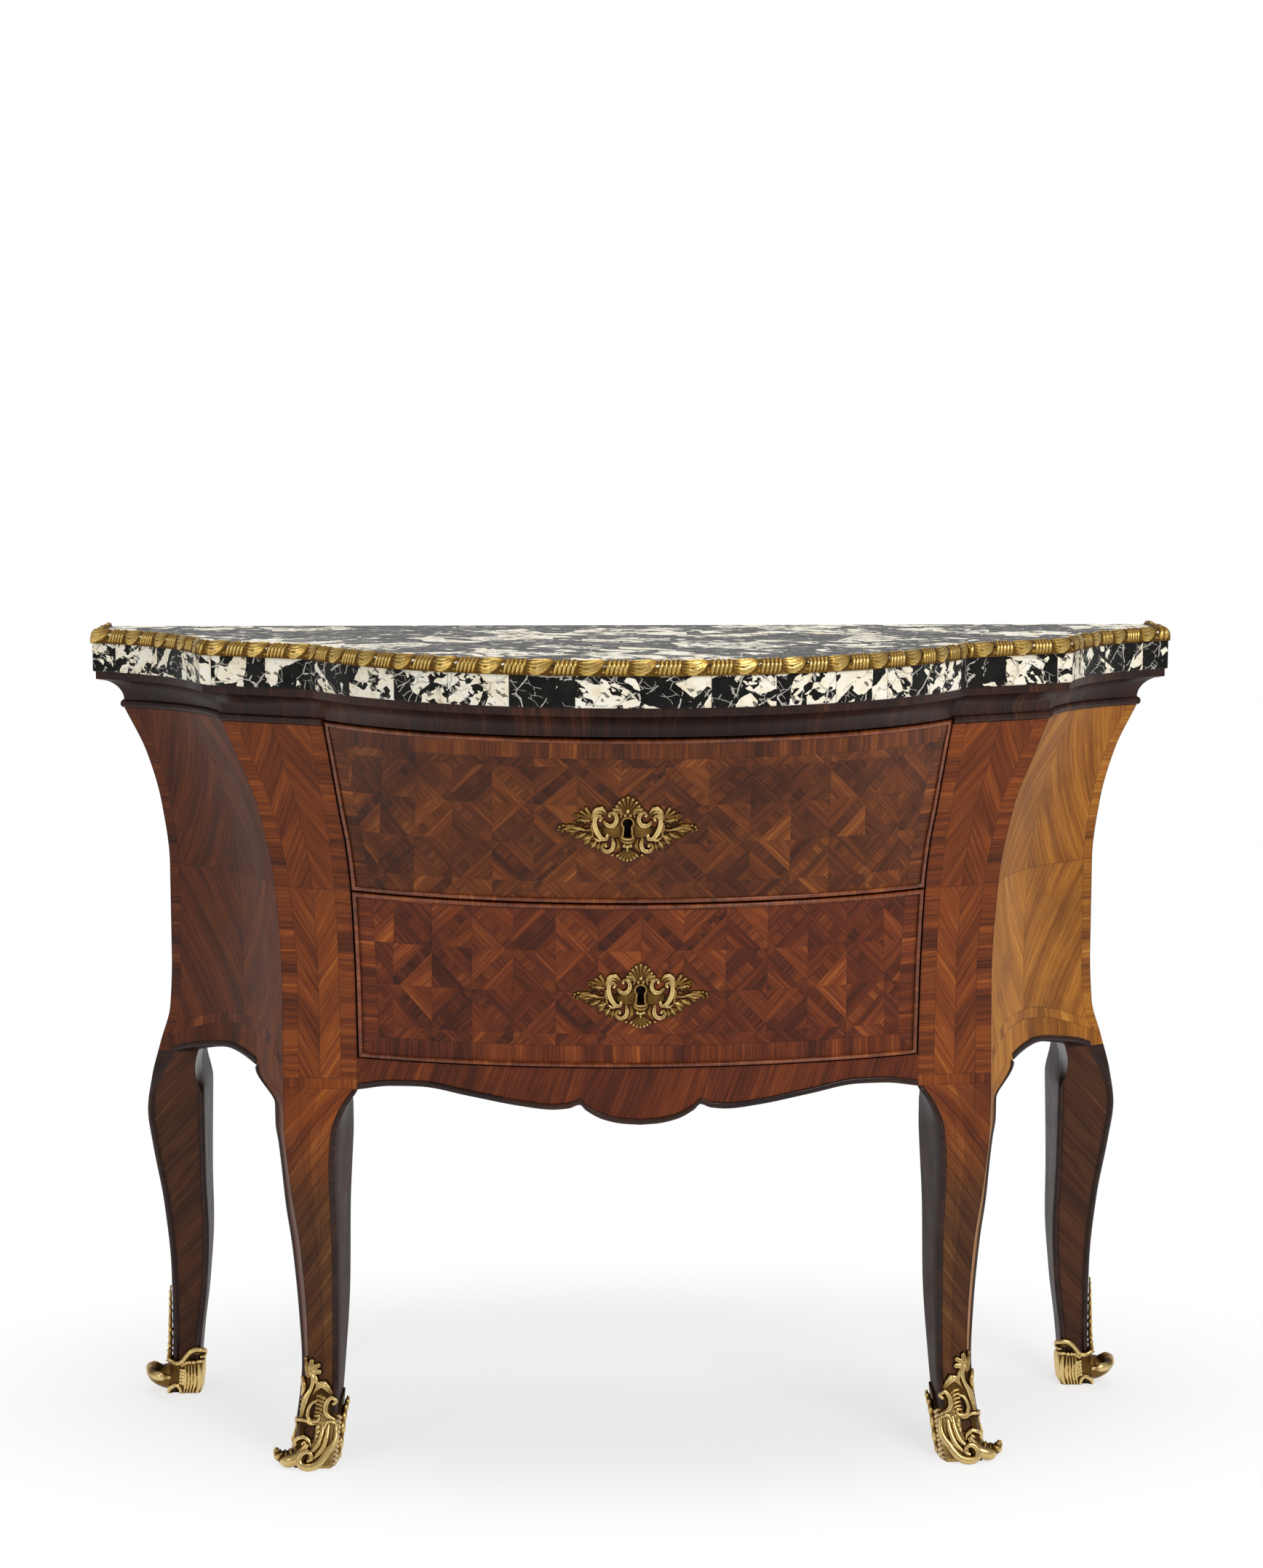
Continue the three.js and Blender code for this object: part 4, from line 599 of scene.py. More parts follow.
class Graph:
    """A material under construction."""

    def __init__(self, name):
        self.material = bpy.data.materials.new(name)
        self.material.use_nodes = True
        self.tree = self.material.node_tree
        self.tree.nodes.clear()
        self.shader = self.node("ShaderNodeBsdfPrincipled")
        output = self.node("ShaderNodeOutputMaterial")
        self.tree.links.new(self.shader.outputs["BSDF"], output.inputs["Surface"])

    def node(self, kind, **settings):
        made = self.tree.nodes.new(kind)
        for key, value in settings.items():
            setattr(made, key, value)
        return made

    def plug(self, socket, value):
        if isinstance(value, Signal):
            value = value.socket
        if isinstance(value, bpy.types.NodeSocket):
            self.tree.links.new(value, socket)
        else:
            socket.default_value = value

    def math(self, operation, *values):
        made = self.node("ShaderNodeMath", operation=operation)
        for socket, value in zip(made.inputs, values):
            self.plug(socket, value)
        return Signal(self, made.outputs[0])

    def choose(self, share, a, b):
        """Value a where the share is 0, and value b where it is 1."""
        return a + (b - a) * share if isinstance(a, Signal) else (b - a) * share + a

    def pick(self, share, first, second):
        """The first values where the share is 0, and the second where it is 1."""
        return [self.choose(share, a, b) for a, b in zip(first, second)]

    def vector(self, x, y, z=0.0):
        made = self.node("ShaderNodeCombineXYZ")
        for socket, value in zip(made.inputs, (x, y, z)):
            self.plug(socket, value)
        return made.outputs[0]

    def split(self, socket):
        made = self.node("ShaderNodeSeparateXYZ")
        self.plug(made.inputs[0], socket)
        return [Signal(self, out) for out in made.outputs]

    def map(self, name):
        u, v, _ = self.split(self.node("ShaderNodeUVMap", uv_map=name).outputs[0])
        return u, v

    def place(self):
        return self.split(self.node("ShaderNodeTexCoord").outputs["Object"])

    def spot(self):
        return self.vector(*self.place())

    def noise(self, vector, scale=1.0, detail=2.0, roughness=0.5, distortion=0.0):
        made = self.node("ShaderNodeTexNoise")
        self.plug(made.inputs["Vector"], vector)
        for name, value in (
            ("Scale", scale), ("Detail", detail), ("Roughness", roughness),
            ("Distortion", distortion),
        ):
            made.inputs[name].default_value = value
        return Signal(self, made.outputs["Fac"])

    def cells(self, vector, scale, feature="F1", output="Color"):
        made = self.node("ShaderNodeTexVoronoi", feature=feature)
        self.plug(made.inputs["Vector"], vector)
        made.inputs["Scale"].default_value = scale
        if output == "Color":
            return self.split(made.outputs["Color"])
        return Signal(self, made.outputs[output])

    def random(self, *parts):
        made = self.node("ShaderNodeTexWhiteNoise", noise_dimensions="3D")
        self.plug(made.inputs["Vector"], self.vector(*parts))
        return Signal(self, made.outputs["Value"])

    def blend(self, share, a, b, kind="MIX"):
        made = self.node("ShaderNodeMix", data_type="RGBA", blend_type=kind)
        self.plug(made.inputs[0], share)
        self.plug(made.inputs[6], a)
        self.plug(made.inputs[7], b)
        return made.outputs[2]

    def ramp(self, share, stops):
        made = self.node("ShaderNodeValToRGB")
        self.plug(made.inputs[0], share)
        ramp = made.color_ramp
        while len(ramp.elements) < len(stops):
            ramp.elements.new(1)
        for element, (position, color) in zip(ramp.elements, stops):
            element.position = position
            element.color = color
        return made.outputs[0]

    def bump(self, height, strength, distance):
        made = self.node("ShaderNodeBump")
        self.plug(made.inputs["Height"], height)
        made.inputs["Strength"].default_value = strength
        made.inputs["Distance"].default_value = distance
        self.tree.links.new(made.outputs[0], self.shader.inputs["Normal"])

    def finish(self, color, roughness, metallic=0.0, coat=0.0, coat_roughness=0.1):
        for name, value in (
            ("Base Color", color), ("Roughness", roughness), ("Metallic", metallic),
            ("Coat Weight", coat), ("Coat Roughness", coat_roughness),
        ):
            self.plug(self.shader.inputs[name], value)
        return self.material


# Veneers: dark, middle, light and bright tones of each wood
WOODS = {
    "drawer": (srgb(40, 16, 5), srgb(86, 40, 14), srgb(118, 60, 22), srgb(168, 98, 42)),
    "lower": (srgb(42, 14, 5), srgb(90, 36, 13), srgb(124, 57, 21), srgb(174, 96, 40)),
    "stile": (srgb(56, 22, 6), srgb(104, 46, 13), srgb(138, 68, 22), srgb(188, 112, 46)),
    # The side veneer comes as lit and shaded copies: the left side's palette is painted darker as shade,
    # and the right side's, after it, painted lighter as light
    "side": (srgb(40, 15, 5), srgb(78, 33, 11), srgb(106, 50, 18), srgb(150, 82, 34)),
    "golden": (srgb(96, 48, 11), srgb(148, 88, 26), srgb(182, 118, 40), srgb(216, 154, 70)),
    "leg": (srgb(32, 14, 7), srgb(64, 33, 17), srgb(90, 51, 28), srgb(136, 86, 48)),
    "dark": (srgb(16, 7, 4), srgb(34, 15, 8), srgb(52, 25, 13), srgb(88, 48, 25)),
    "frieze": (srgb(20, 9, 5), srgb(40, 19, 11), srgb(60, 29, 16), srgb(100, 54, 30)),
    "carcass": (srgb(96, 66, 38), srgb(140, 103, 64), srgb(164, 126, 82), srgb(188, 150, 104)),
}
TONE_STOPS = (0.3, 0.45, 0.57, 0.72)


def grain(graph, lengthwise, crosswise, seed, waves, **settings):
    return graph.noise(graph.vector(lengthwise * waves[0], crosswise * waves[1], seed), **settings)


def wood(graph, lengthwise, crosswise, seed, palette, tone=0.0):
    """Streaked grain: the colour, and a height for the bump. Distances are in metres."""
    wander = grain(graph, lengthwise, crosswise, seed, GRAIN_WANDER, detail=1)
    crosswise = crosswise + (wander - 0.5) * GRAIN_SWAY
    figure = grain(graph, lengthwise, crosswise, seed, GRAIN_FIGURE)
    streak = grain(graph, lengthwise, crosswise, seed, GRAIN_STREAK, detail=3, roughness=0.65)
    fibre = grain(graph, lengthwise, crosswise, seed, GRAIN_FIBRE)
    level = figure * GRAIN_SHARES[0] + streak * GRAIN_SHARES[1] + fibre * GRAIN_SHARES[2]
    stops = list(zip(TONE_STOPS, WOODS[palette]))
    return graph.ramp(level + tone, stops), streak + fibre


def darken(graph, share, color, by=SHADE):
    return graph.blend(share, color, graph.blend(1.0, color, by, "MULTIPLY"))


def grime(graph, color, amount):
    """Slow, smoky changes of tone over the whole piece."""
    smoke = graph.noise(graph.spot(), scale=7, detail=4, roughness=0.62).ease(0.52, 0.72)
    return darken(graph, smoke * amount, color, SMOKE)


def polish(graph, color, height, roughness, coat):
    haze = graph.noise(graph.spot(), scale=30, detail=3)
    graph.bump(height, 0.25, 0.0004)
    graph.shader.inputs["Specular IOR Level"].default_value = 0.2
    return graph.finish(color, haze * 0.2 + roughness, coat=coat, coat_roughness=0.2)


def parquetry(name, palette):
    """Lozenges of four matched quarters in a lattice of cross-grained strips."""
    graph = Graph(name)
    u, v = graph.map("pattern")
    side_edge, level_edge = graph.map("span")
    s = (u / LOZENGE_HALF_WIDTH + v / LOZENGE_HALF_HEIGHT) * 0.5
    t = (u / LOZENGE_HALF_WIDTH - v / LOZENGE_HALF_HEIGHT) * 0.5
    cell_s = (s + 0.5).floor()
    cell_t = (t + 0.5).floor()
    part_s = s - cell_s
    part_t = t - cell_t
    steep = abs(part_s).above(abs(part_t))
    reach = abs(part_s).most(abs(part_t)) * 2
    strip_start = 1 - LATTICE_WIDTH / LOZENGE_PITCH
    strip = reach.above(strip_start)
    turned = abs(steep - strip)
    lengthwise = graph.choose(turned, s, t) * LOZENGE_PITCH
    crosswise = graph.choose(turned, t, s) * LOZENGE_PITCH
    quarter = graph.choose(steep, part_t, part_s).above(0) + steep * 2
    strip_s = graph.choose(steep, cell_s, s.floor())
    strip_t = graph.choose(steep, t.floor(), cell_t)
    seed_s = graph.choose(strip, cell_s, strip_s + 0.3)
    seed_t = graph.choose(strip, cell_t, strip_t + 0.4)
    tone_s = graph.random(seed_s, seed_t, graph.choose(strip, quarter, steep + 9))
    # Cross-grained border along the sides and one level edge, mitred at its corners
    beside = side_edge.below(level_edge)
    near = side_edge.least(level_edge)
    border = near.below(BORDER_WIDTH)
    across = graph.choose(beside, u, v)
    piece = graph.random((across / BORDER_SLICE).floor(), beside, 3.0)
    grain_at = graph.pick(
        border, (lengthwise, crosswise, tone_s * 40),
        (graph.choose(beside, level_edge, side_edge), across, piece * 20 + 60),
    )
    tone = (graph.choose(border, tone_s, piece) - 0.5) * 0.13
    color, height = wood(graph, *grain_at, palette, tone)
    # Joints between the pieces of veneer
    seams = abs(reach - strip_start).below(SEAM / LOZENGE_PITCH * 1.6)
    quarters = abs(abs(part_s) - abs(part_t)).below(SEAM / LOZENGE_PITCH * 0.7) * (1 - strip)
    lines = (seams.most(quarters) * (1 - border)).most(abs(near - BORDER_WIDTH).below(SEAM))
    color = darken(graph, lines * 0.45, color)
    color = darken(graph, strip * (1 - border) * 0.22, color)
    color = darken(graph, (1 - side_edge.ease(0, 0.006)) * 0.6, color)
    color = grime(graph, color, 0.75)
    return polish(graph, color, height - lines * JOINT_DEPTH, roughness=0.4, coat=0.05)


def matched_panel(name, palette, bands, arch=None, foot=None):
    """A panel of four matched quarters about an upright joint and a level one.

    The bands are cross-grained edges, the arch is a cross-grained hoop near the bottom, and
    the foot is a level band with the veneer of the leg under it."""
    graph = Graph(name)
    u, v = graph.map("pattern")
    left, right = graph.map("span")
    slope = math.radians(PANEL_ANGLE)
    upper = v.above(0)
    # Above the level joint the grain rises to the middle, and below it falls to the middle
    lean = upper * 2 - 1
    beside = abs(u)
    quarter = upper * 2 + u.above(0)
    # Places along and across the grain, and a seed
    grain_at = (
        v * math.sin(slope) - beside * lean * math.cos(slope),
        v * math.cos(slope) + beside * lean * math.sin(slope), quarter * 7 + 2,
    )
    tone = (graph.random(quarter, 5.0, 1.0) - 0.5) * 0.1
    lines = beside.below(SEAM).most(abs(v).below(SEAM))
    band = left.below(bands[0]).most(right.below(bands[1]))
    near = left.least(right)
    if arch:
        low, rise, width = arch
        middle = (left + right) * 0.5
        hoop = v - low - rise * (1 - (u / middle) * (u / middle))
        below = hoop.below(0)
        on_hoop = abs(hoop).below(width / 2)
        lower_grain = (v + beside * 0.25, u * 0.9 + v * 0.2, u.above(0) * 5 + 40)
        grain_at = graph.pick(below, grain_at, lower_grain)
        lines = (lines * (1 - below)).most(abs(abs(hoop) - width / 2).below(SEAM))
        lines = lines.most(beside.below(SEAM))
        slices = graph.random((u / HOOP_SLICE).floor(), 7.0, 3.0)
        grain_at = graph.pick(on_hoop, grain_at, (v, u, slices * 30 + 70))
        tone = graph.choose(on_hoop, tone, (slices - 0.5) * 0.14)
        band = band * (1 - below)
    if foot:
        level, width = foot
        low_band = v.below(level + width) * v.above(level)
        under = v.below(level)
        grain_at = graph.pick(low_band, grain_at, (v, u, 90.0))
        lines = lines * (1 - low_band)
        lines = lines.most(abs(v - level - width).below(SEAM)).most(abs(v - level).below(SEAM * 1.6))
        grain_at = graph.pick(under, grain_at, (u * 0.6 + v * 0.8, v * 0.6 - u * 0.8, 120.0))
        lines = lines * (1 - under)
        band = band * (1 - under) * (1 - low_band)
    pieces = graph.random((v / BAND_SLICE).floor(), u.above(0), 8.0)
    grain_at = graph.pick(band, grain_at, (near, v, pieces * 25 + 30))
    tone = graph.choose(band, tone, (pieces - 0.5) * 0.12 - 0.02)
    edge_lines = abs(left - bands[0]).below(SEAM).most(abs(right - bands[1]).below(SEAM))
    lines = (lines * (1 - band)).most(edge_lines * band.ease(-1, 0.5))
    color, height = wood(graph, *grain_at, palette, tone)
    color = darken(graph, lines * 0.5, color)
    color = darken(graph, (1 - near.ease(0, 0.003)) * 0.4, color)
    if foot:
        color = darken(graph, (level - v).ease(0.02, 0.16), color, LEG_TINT)
    color = grime(graph, color, 0.5)
    return polish(graph, color, height - lines * JOINT_DEPTH, roughness=0.38, coat=0.06)


def slanted_veneer(name, palette, angle, tone=0.0):
    """Plain veneer with its grain at a slant to the pattern map, darker along its edges."""
    graph = Graph(name)
    u, v = graph.map("pattern")
    left, right = graph.map("span")
    slope = math.radians(angle)
    lengthwise = v * math.sin(slope) + u * math.cos(slope)
    crosswise = v * math.cos(slope) - u * math.sin(slope)
    color, height = wood(graph, lengthwise, crosswise, 3.0, palette, tone)
    near = left.least(right)
    color = darken(graph, (1 - near.ease(0, 0.004)) * 0.35, color)
    color = grime(graph, color, 0.45)
    return polish(graph, color, height, roughness=0.42, coat=0.04)


def sliced_veneer(name, palette, slice_length, coat=0.12):
    """Slices of veneer side by side, their grain across the moulding."""
    graph = Graph(name)
    u, v = graph.map("pattern")
    wobble = graph.random((u / (slice_length * 2.3)).floor(), 1.0, 1.0) * slice_length
    index = ((u + wobble) / slice_length).floor()
    tone = graph.random(index, 2.0, 5.0)
    joint = abs((u + wobble) / slice_length - index - 0.5).above(0.5 - SEAM / slice_length)
    color, height = wood(graph, v, u, tone * 50, palette, (tone - 0.5) * 0.1)
    color = darken(graph, joint * 0.5, color)
    color = grime(graph, color, 0.4)
    return polish(graph, color, height - joint * JOINT_DEPTH, roughness=0.34, coat=coat)


def bead_wood(name):
    graph = Graph(name)
    u, v = graph.map("pattern")
    index = (u / BEAD_PIECE).floor()
    tone = graph.random(index, 1.0, 4.0)
    color, height = wood(graph, u, v, tone * 9, "dark", (tone - 0.5) * 0.08)
    return polish(graph, color, height, roughness=0.3, coat=0.2)


def plain_wood(name, palette, axis):
    """Solid wood inside the case, with its grain along one axis."""
    graph = Graph(name)
    parts = graph.place()
    lengthwise = parts.pop(axis)
    crosswise = parts[0] * 0.8 + parts[1] * 0.62
    color, height = wood(graph, lengthwise, crosswise, parts[0] * 3, palette)
    color = grime(graph, color, 0.5)
    graph.bump(height, 0.3, 0.0005)
    return graph.finish(color, 0.7)


def iron():
    graph = Graph("iron")
    spot = graph.spot()
    pits = graph.noise(spot, scale=900, detail=4)
    rust = graph.noise(spot, scale=60, detail=5).ease(0.5, 0.7)
    color = graph.blend(rust * 0.6, srgb(78, 74, 71), srgb(84, 52, 34))
    graph.bump(pits, 0.3, 0.0003)
    return graph.finish(color, pits * 0.3 + 0.35, metallic=0.85)


# Gilt tones for the crests, the open surface and the hollows: the first serves as a painted highlight, the
# last as patina deepened by painted shade
GOLDS = {
    "bright": (srgb(240, 212, 138), srgb(198, 158, 80), srgb(104, 76, 34)),
    "worn_and_shaded": (srgb(226, 198, 134), srgb(146, 108, 54), srgb(50, 34, 18)),
}


def gilt(kind):
    """Fire-gilt bronze: a painted highlight on the high parts, and brown in the hollows, partly patina and
    partly painted shade.
    """
    graph = Graph(f"gilt_{kind}")
    gold, old_gold, recess = GOLDS[kind]
    high = Signal(graph, graph.node("ShaderNodeAttribute", attribute_name="relief").outputs["Fac"])
    spot = graph.spot()
    patch = graph.noise(spot, scale=55, detail=4, roughness=0.6)
    speck = graph.noise(spot, scale=420, detail=3)
    # The relief share paints shade into the hollows, mixed with patches of wear, and a painted highlight
    # onto the crests
    worn_and_shaded = (high + (patch - 0.5) * 0.5).ease(0.1, 0.75)
    color = graph.blend(worn_and_shaded, recess, old_gold)
    color = graph.blend((high + (speck - 0.5) * 0.35).ease(0.5, 0.95), color, gold)
    roughness = (1 - worn_and_shaded) * 0.3 + patch * 0.18 + 0.16
    graph.bump(speck, 0.12, 0.0003)
    return graph.finish(color, roughness, metallic=1.0)


def marble(name, edge):
    """Black and cream breccia: angular stones of several sizes, crushed stone and fine veins."""
    graph = Graph(name)
    if edge:
        u, v = graph.map("pattern")
        slip = (u / (SLIP_LENGTH * MM)).floor()
        joint = abs(u / (SLIP_LENGTH * MM) - slip - 0.5).above(0.5 - 0.5 / SLIP_LENGTH)
        shift = graph.random(slip, 1.0, 2.0)
        x, y, z = u + shift * 3, v + shift * 5, shift * 9
    else:
        x, y, z = graph.place()
        joint = 0.0
    spot = graph.vector(x, y, z)
    warps = [
        graph.noise(graph.vector(x + apart, y - apart, z), scale=40, detail=3, roughness=0.6) - 0.5
        for apart in (0, 7)
    ]
    wx = x + warps[0] * STONE_WARP
    wy = y + warps[1] * STONE_WARP
    # Two sets of shards lean opposite ways, and large stones choose between them
    right = graph.vector(wx * 0.55 + wy * 0.5, wy * 1.3 - wx * 0.7, z)
    left = graph.vector(wx * 0.7 - wy * 0.45, wy * 1.2 + wx * 0.9, z)
    stone, kind, _ = graph.cells(graph.vector(wx, wy, z), STONES)
    tilt = kind.above(0.5)
    shard = graph.choose(tilt, graph.cells(right, SHARDS[0])[0], graph.cells(left, SHARDS[1])[0])
    chip = graph.choose(tilt, graph.cells(right, CHIPS[0])[0], graph.cells(left, CHIPS[1])[1])
    crumb = graph.cells(right, CRUMBS)[2]
    large = shard.above(EDGE_PALE_ABOVE if edge else TOP_PALE_ABOVE)
    small = chip.above(0.5).most(crumb.above(0.76))
    pale = graph.choose(stone.above(CRUSHED_ABOVE), large, small)
    pale = (pale * (1 - crumb.above(0.93) * 0.8)).most(chip.above(0.93))
    pale = pale * (1 - stone.below(BLACK_BELOW) * (1 - chip.above(0.96)))
    hair = graph.noise(spot, scale=60, detail=2)
    cracks, threads = (
        graph.cells(lean, scale, "DISTANCE_TO_EDGE", "Distance").below(width) * hair.above(limit)
        for lean, scale, width, limit in ((left, CRACKS, 0.016, 0.46), (right, THREADS, 0.022, 0.52))
    )
    vein = cracks.most(threads * 0.75)
    cloud = graph.noise(spot, scale=45, detail=5, roughness=0.65)
    black = graph.ramp(cloud, [(0.3, srgb(12, 12, 12)), (0.7, srgb(34, 33, 31))])
    light = graph.ramp(cloud, [
        (0.3, srgb(238, 222, 190)), (0.5, srgb(252, 244, 222)), (0.7, srgb(252, 250, 242)),
    ])
    color = graph.blend(vein * 0.8, black, srgb(214, 208, 196))
    color = graph.blend(pale, color, light)
    color = darken(graph, vein * pale * 0.5, color)
    if edge:
        color = darken(graph, joint * 0.8, color)
    graph.bump(cloud, 0.05, 0.0003)
    graph.shader.inputs["Specular IOR Level"].default_value = 0.1
    return graph.finish(color, cloud * 0.12 + 0.22)


MATERIALS = {
    "drawer_upper": parquetry("parquetry_upper", "drawer"),
    "drawer_lower": parquetry("parquetry_lower", "lower"),
    "leg_inner": slanted_veneer("leg_inner", "dark", 80, 0.04),
    "leg_front": slanted_veneer("leg_front", "leg", 48),
    "apron": slanted_veneer("apron_veneer", "lower", 70, -0.03),
    "frieze": sliced_veneer("frieze_veneer", "frieze", 0.092),
    "cock": sliced_veneer("cock_bead_wood", "stile", 0.045, 0.7),
    "bead": bead_wood("bead_wood"),
    "gilt": gilt("bright"),
    "gilt_worn_and_shaded": gilt("worn_and_shaded"),
    "marble_top": marble("marble_top", False),
    "marble_edge": marble("marble_edge", True),
    "iron": iron(),
}
# The right side takes the lit copy of the side veneer and the left side the shaded copy: painted light and
# shade
for hand_name, side_palette in (("right", "golden"), ("left", "side")):
    stile_name = f"stile_{hand_name}"
    MATERIALS[stile_name] = matched_panel(stile_name, "stile", STILE_BANDS, foot=LEG_BAND)
    side_name = f"side_{hand_name}"
    MATERIALS[side_name] = matched_panel(side_name, side_palette, SIDE_BANDS, arch=SIDE_HOOP)
for axis, axis_name in enumerate("xyz"):
    MATERIALS[f"carcass_{axis_name}"] = plain_wood(f"carcass_{axis_name}", "carcass", axis)


def settle(piece, body, slot, *nodes):
    """Says what a piece moves with and which nodes it replaces; slot, the finish it stands for, is not
    used.
    """
    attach(piece, body)
    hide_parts(*nodes)


def run_up(curve):
    """Distance up a line on the case, measured from the joint between the drawers."""
    levels = np.linspace(0, CASE_HEIGHT, 500)
    travelled = running(np.stack([*curve(levels), levels], -1))
    zero = np.interp(JOINT_HEIGHT, levels, travelled)

    def up(z):
        return np.interp(z, levels, travelled) - zero

    return up


def side_middle(z):
    plan = case_plan(z)
    forward = (plan.flank_f + plan.ridge_f) / 2
    return side_x(plan, forward), forward


def stile_middle(z):
    plan = case_plan(z)
    return (plan.ridge + plan.stile) / 2, (plan.ridge_f + plan.stile_f) / 2


def bow_middle(z):
    plan = case_plan(z)
    return 0 * z, plan.bow


side_up = run_up(side_middle)
stile_up = run_up(stile_middle)
bow_up = run_up(bow_middle)


def side_maps(z, forward):
    """Pattern and span of a point of the hollow side."""
    plan = case_plan(z)
    circle_x, circle_f, radius = side_circle(plan)

    def turn(x, f):
        return np.arctan2(f - circle_f, circle_x - x)

    here = turn(side_x(plan, forward), forward)
    behind = radius * (here - turn(plan.flank, plan.flank_f))
    ahead = radius * (turn(plan.ridge, plan.ridge_f) - here)
    return ((behind - ahead) / 2, side_up(z)), (behind, ahead)


# Legs
def blend_at(shares, z):
    low, high = shares
    return smooth(np.clip((z / CASE_HEIGHT - low) / (high - low), 0, 1))


def leg_levels(marks):
    """Levels up a leg, close together round its knee, with marks among them."""
    bounds = (LEG_FOOT, KNEE_LEVEL, RAIL_TOP, CASE_HEIGHT - FIT)
    evenly = [np.linspace(*ends) for ends in zip(bounds, bounds[1:], LEG_ROWS)]
    levels = np.unique(np.round(np.concatenate(evenly + [marks]), 3))
    near = np.min(np.abs(levels[:, None] - np.array(marks)[None, :]), axis=1)
    kept = levels[(near > MARK_CLEARANCE) | np.isin(levels, marks)]
    return kept[:, None]


def mapped(distances, total, up):
    """Maps of a flat face from the distance to one edge and the face's width."""
    return (distances - total / 2, up), (distances, total - distances)


def bulge(columns, z, end):
    fade = np.clip((end - z) / FADE, 0, 1)
    return ARCH_BEAD_PROUD * np.sin(np.pi * columns) ** 0.7 * fade


def row_at(z, level):
    return int(np.argmin(np.abs(z[:, 0] - level)))


def split_sheet(skin, points, pattern, span, cut, slots):
    """A sheet with one finish up to a row and another above it."""
    shape = points.shape[:2]
    for rows, slot in ((slice(0, cut + 1), slots[0]), (slice(cut, None), slots[1])):
        maps = ([np.broadcast_to(value, shape)[rows] for value in pair] for pair in (pattern, span))
        skin.sheet(points[rows], *maps, slot)


def finish_leg(skin, rings, side, face, node):
    """Closes a leg at its sole and its head, and gives it its finishes."""
    for row in (0, -1):
        skin.cap(np.vstack([ring[row, :-1] for ring in rings]), slot=HIDDEN_SLOT)
    materials = [MATERIALS[name] for name in (f"side_{side}", face, "leg_inner", "bead")]
    settle(skin.build(materials), "case", "veneer", node)


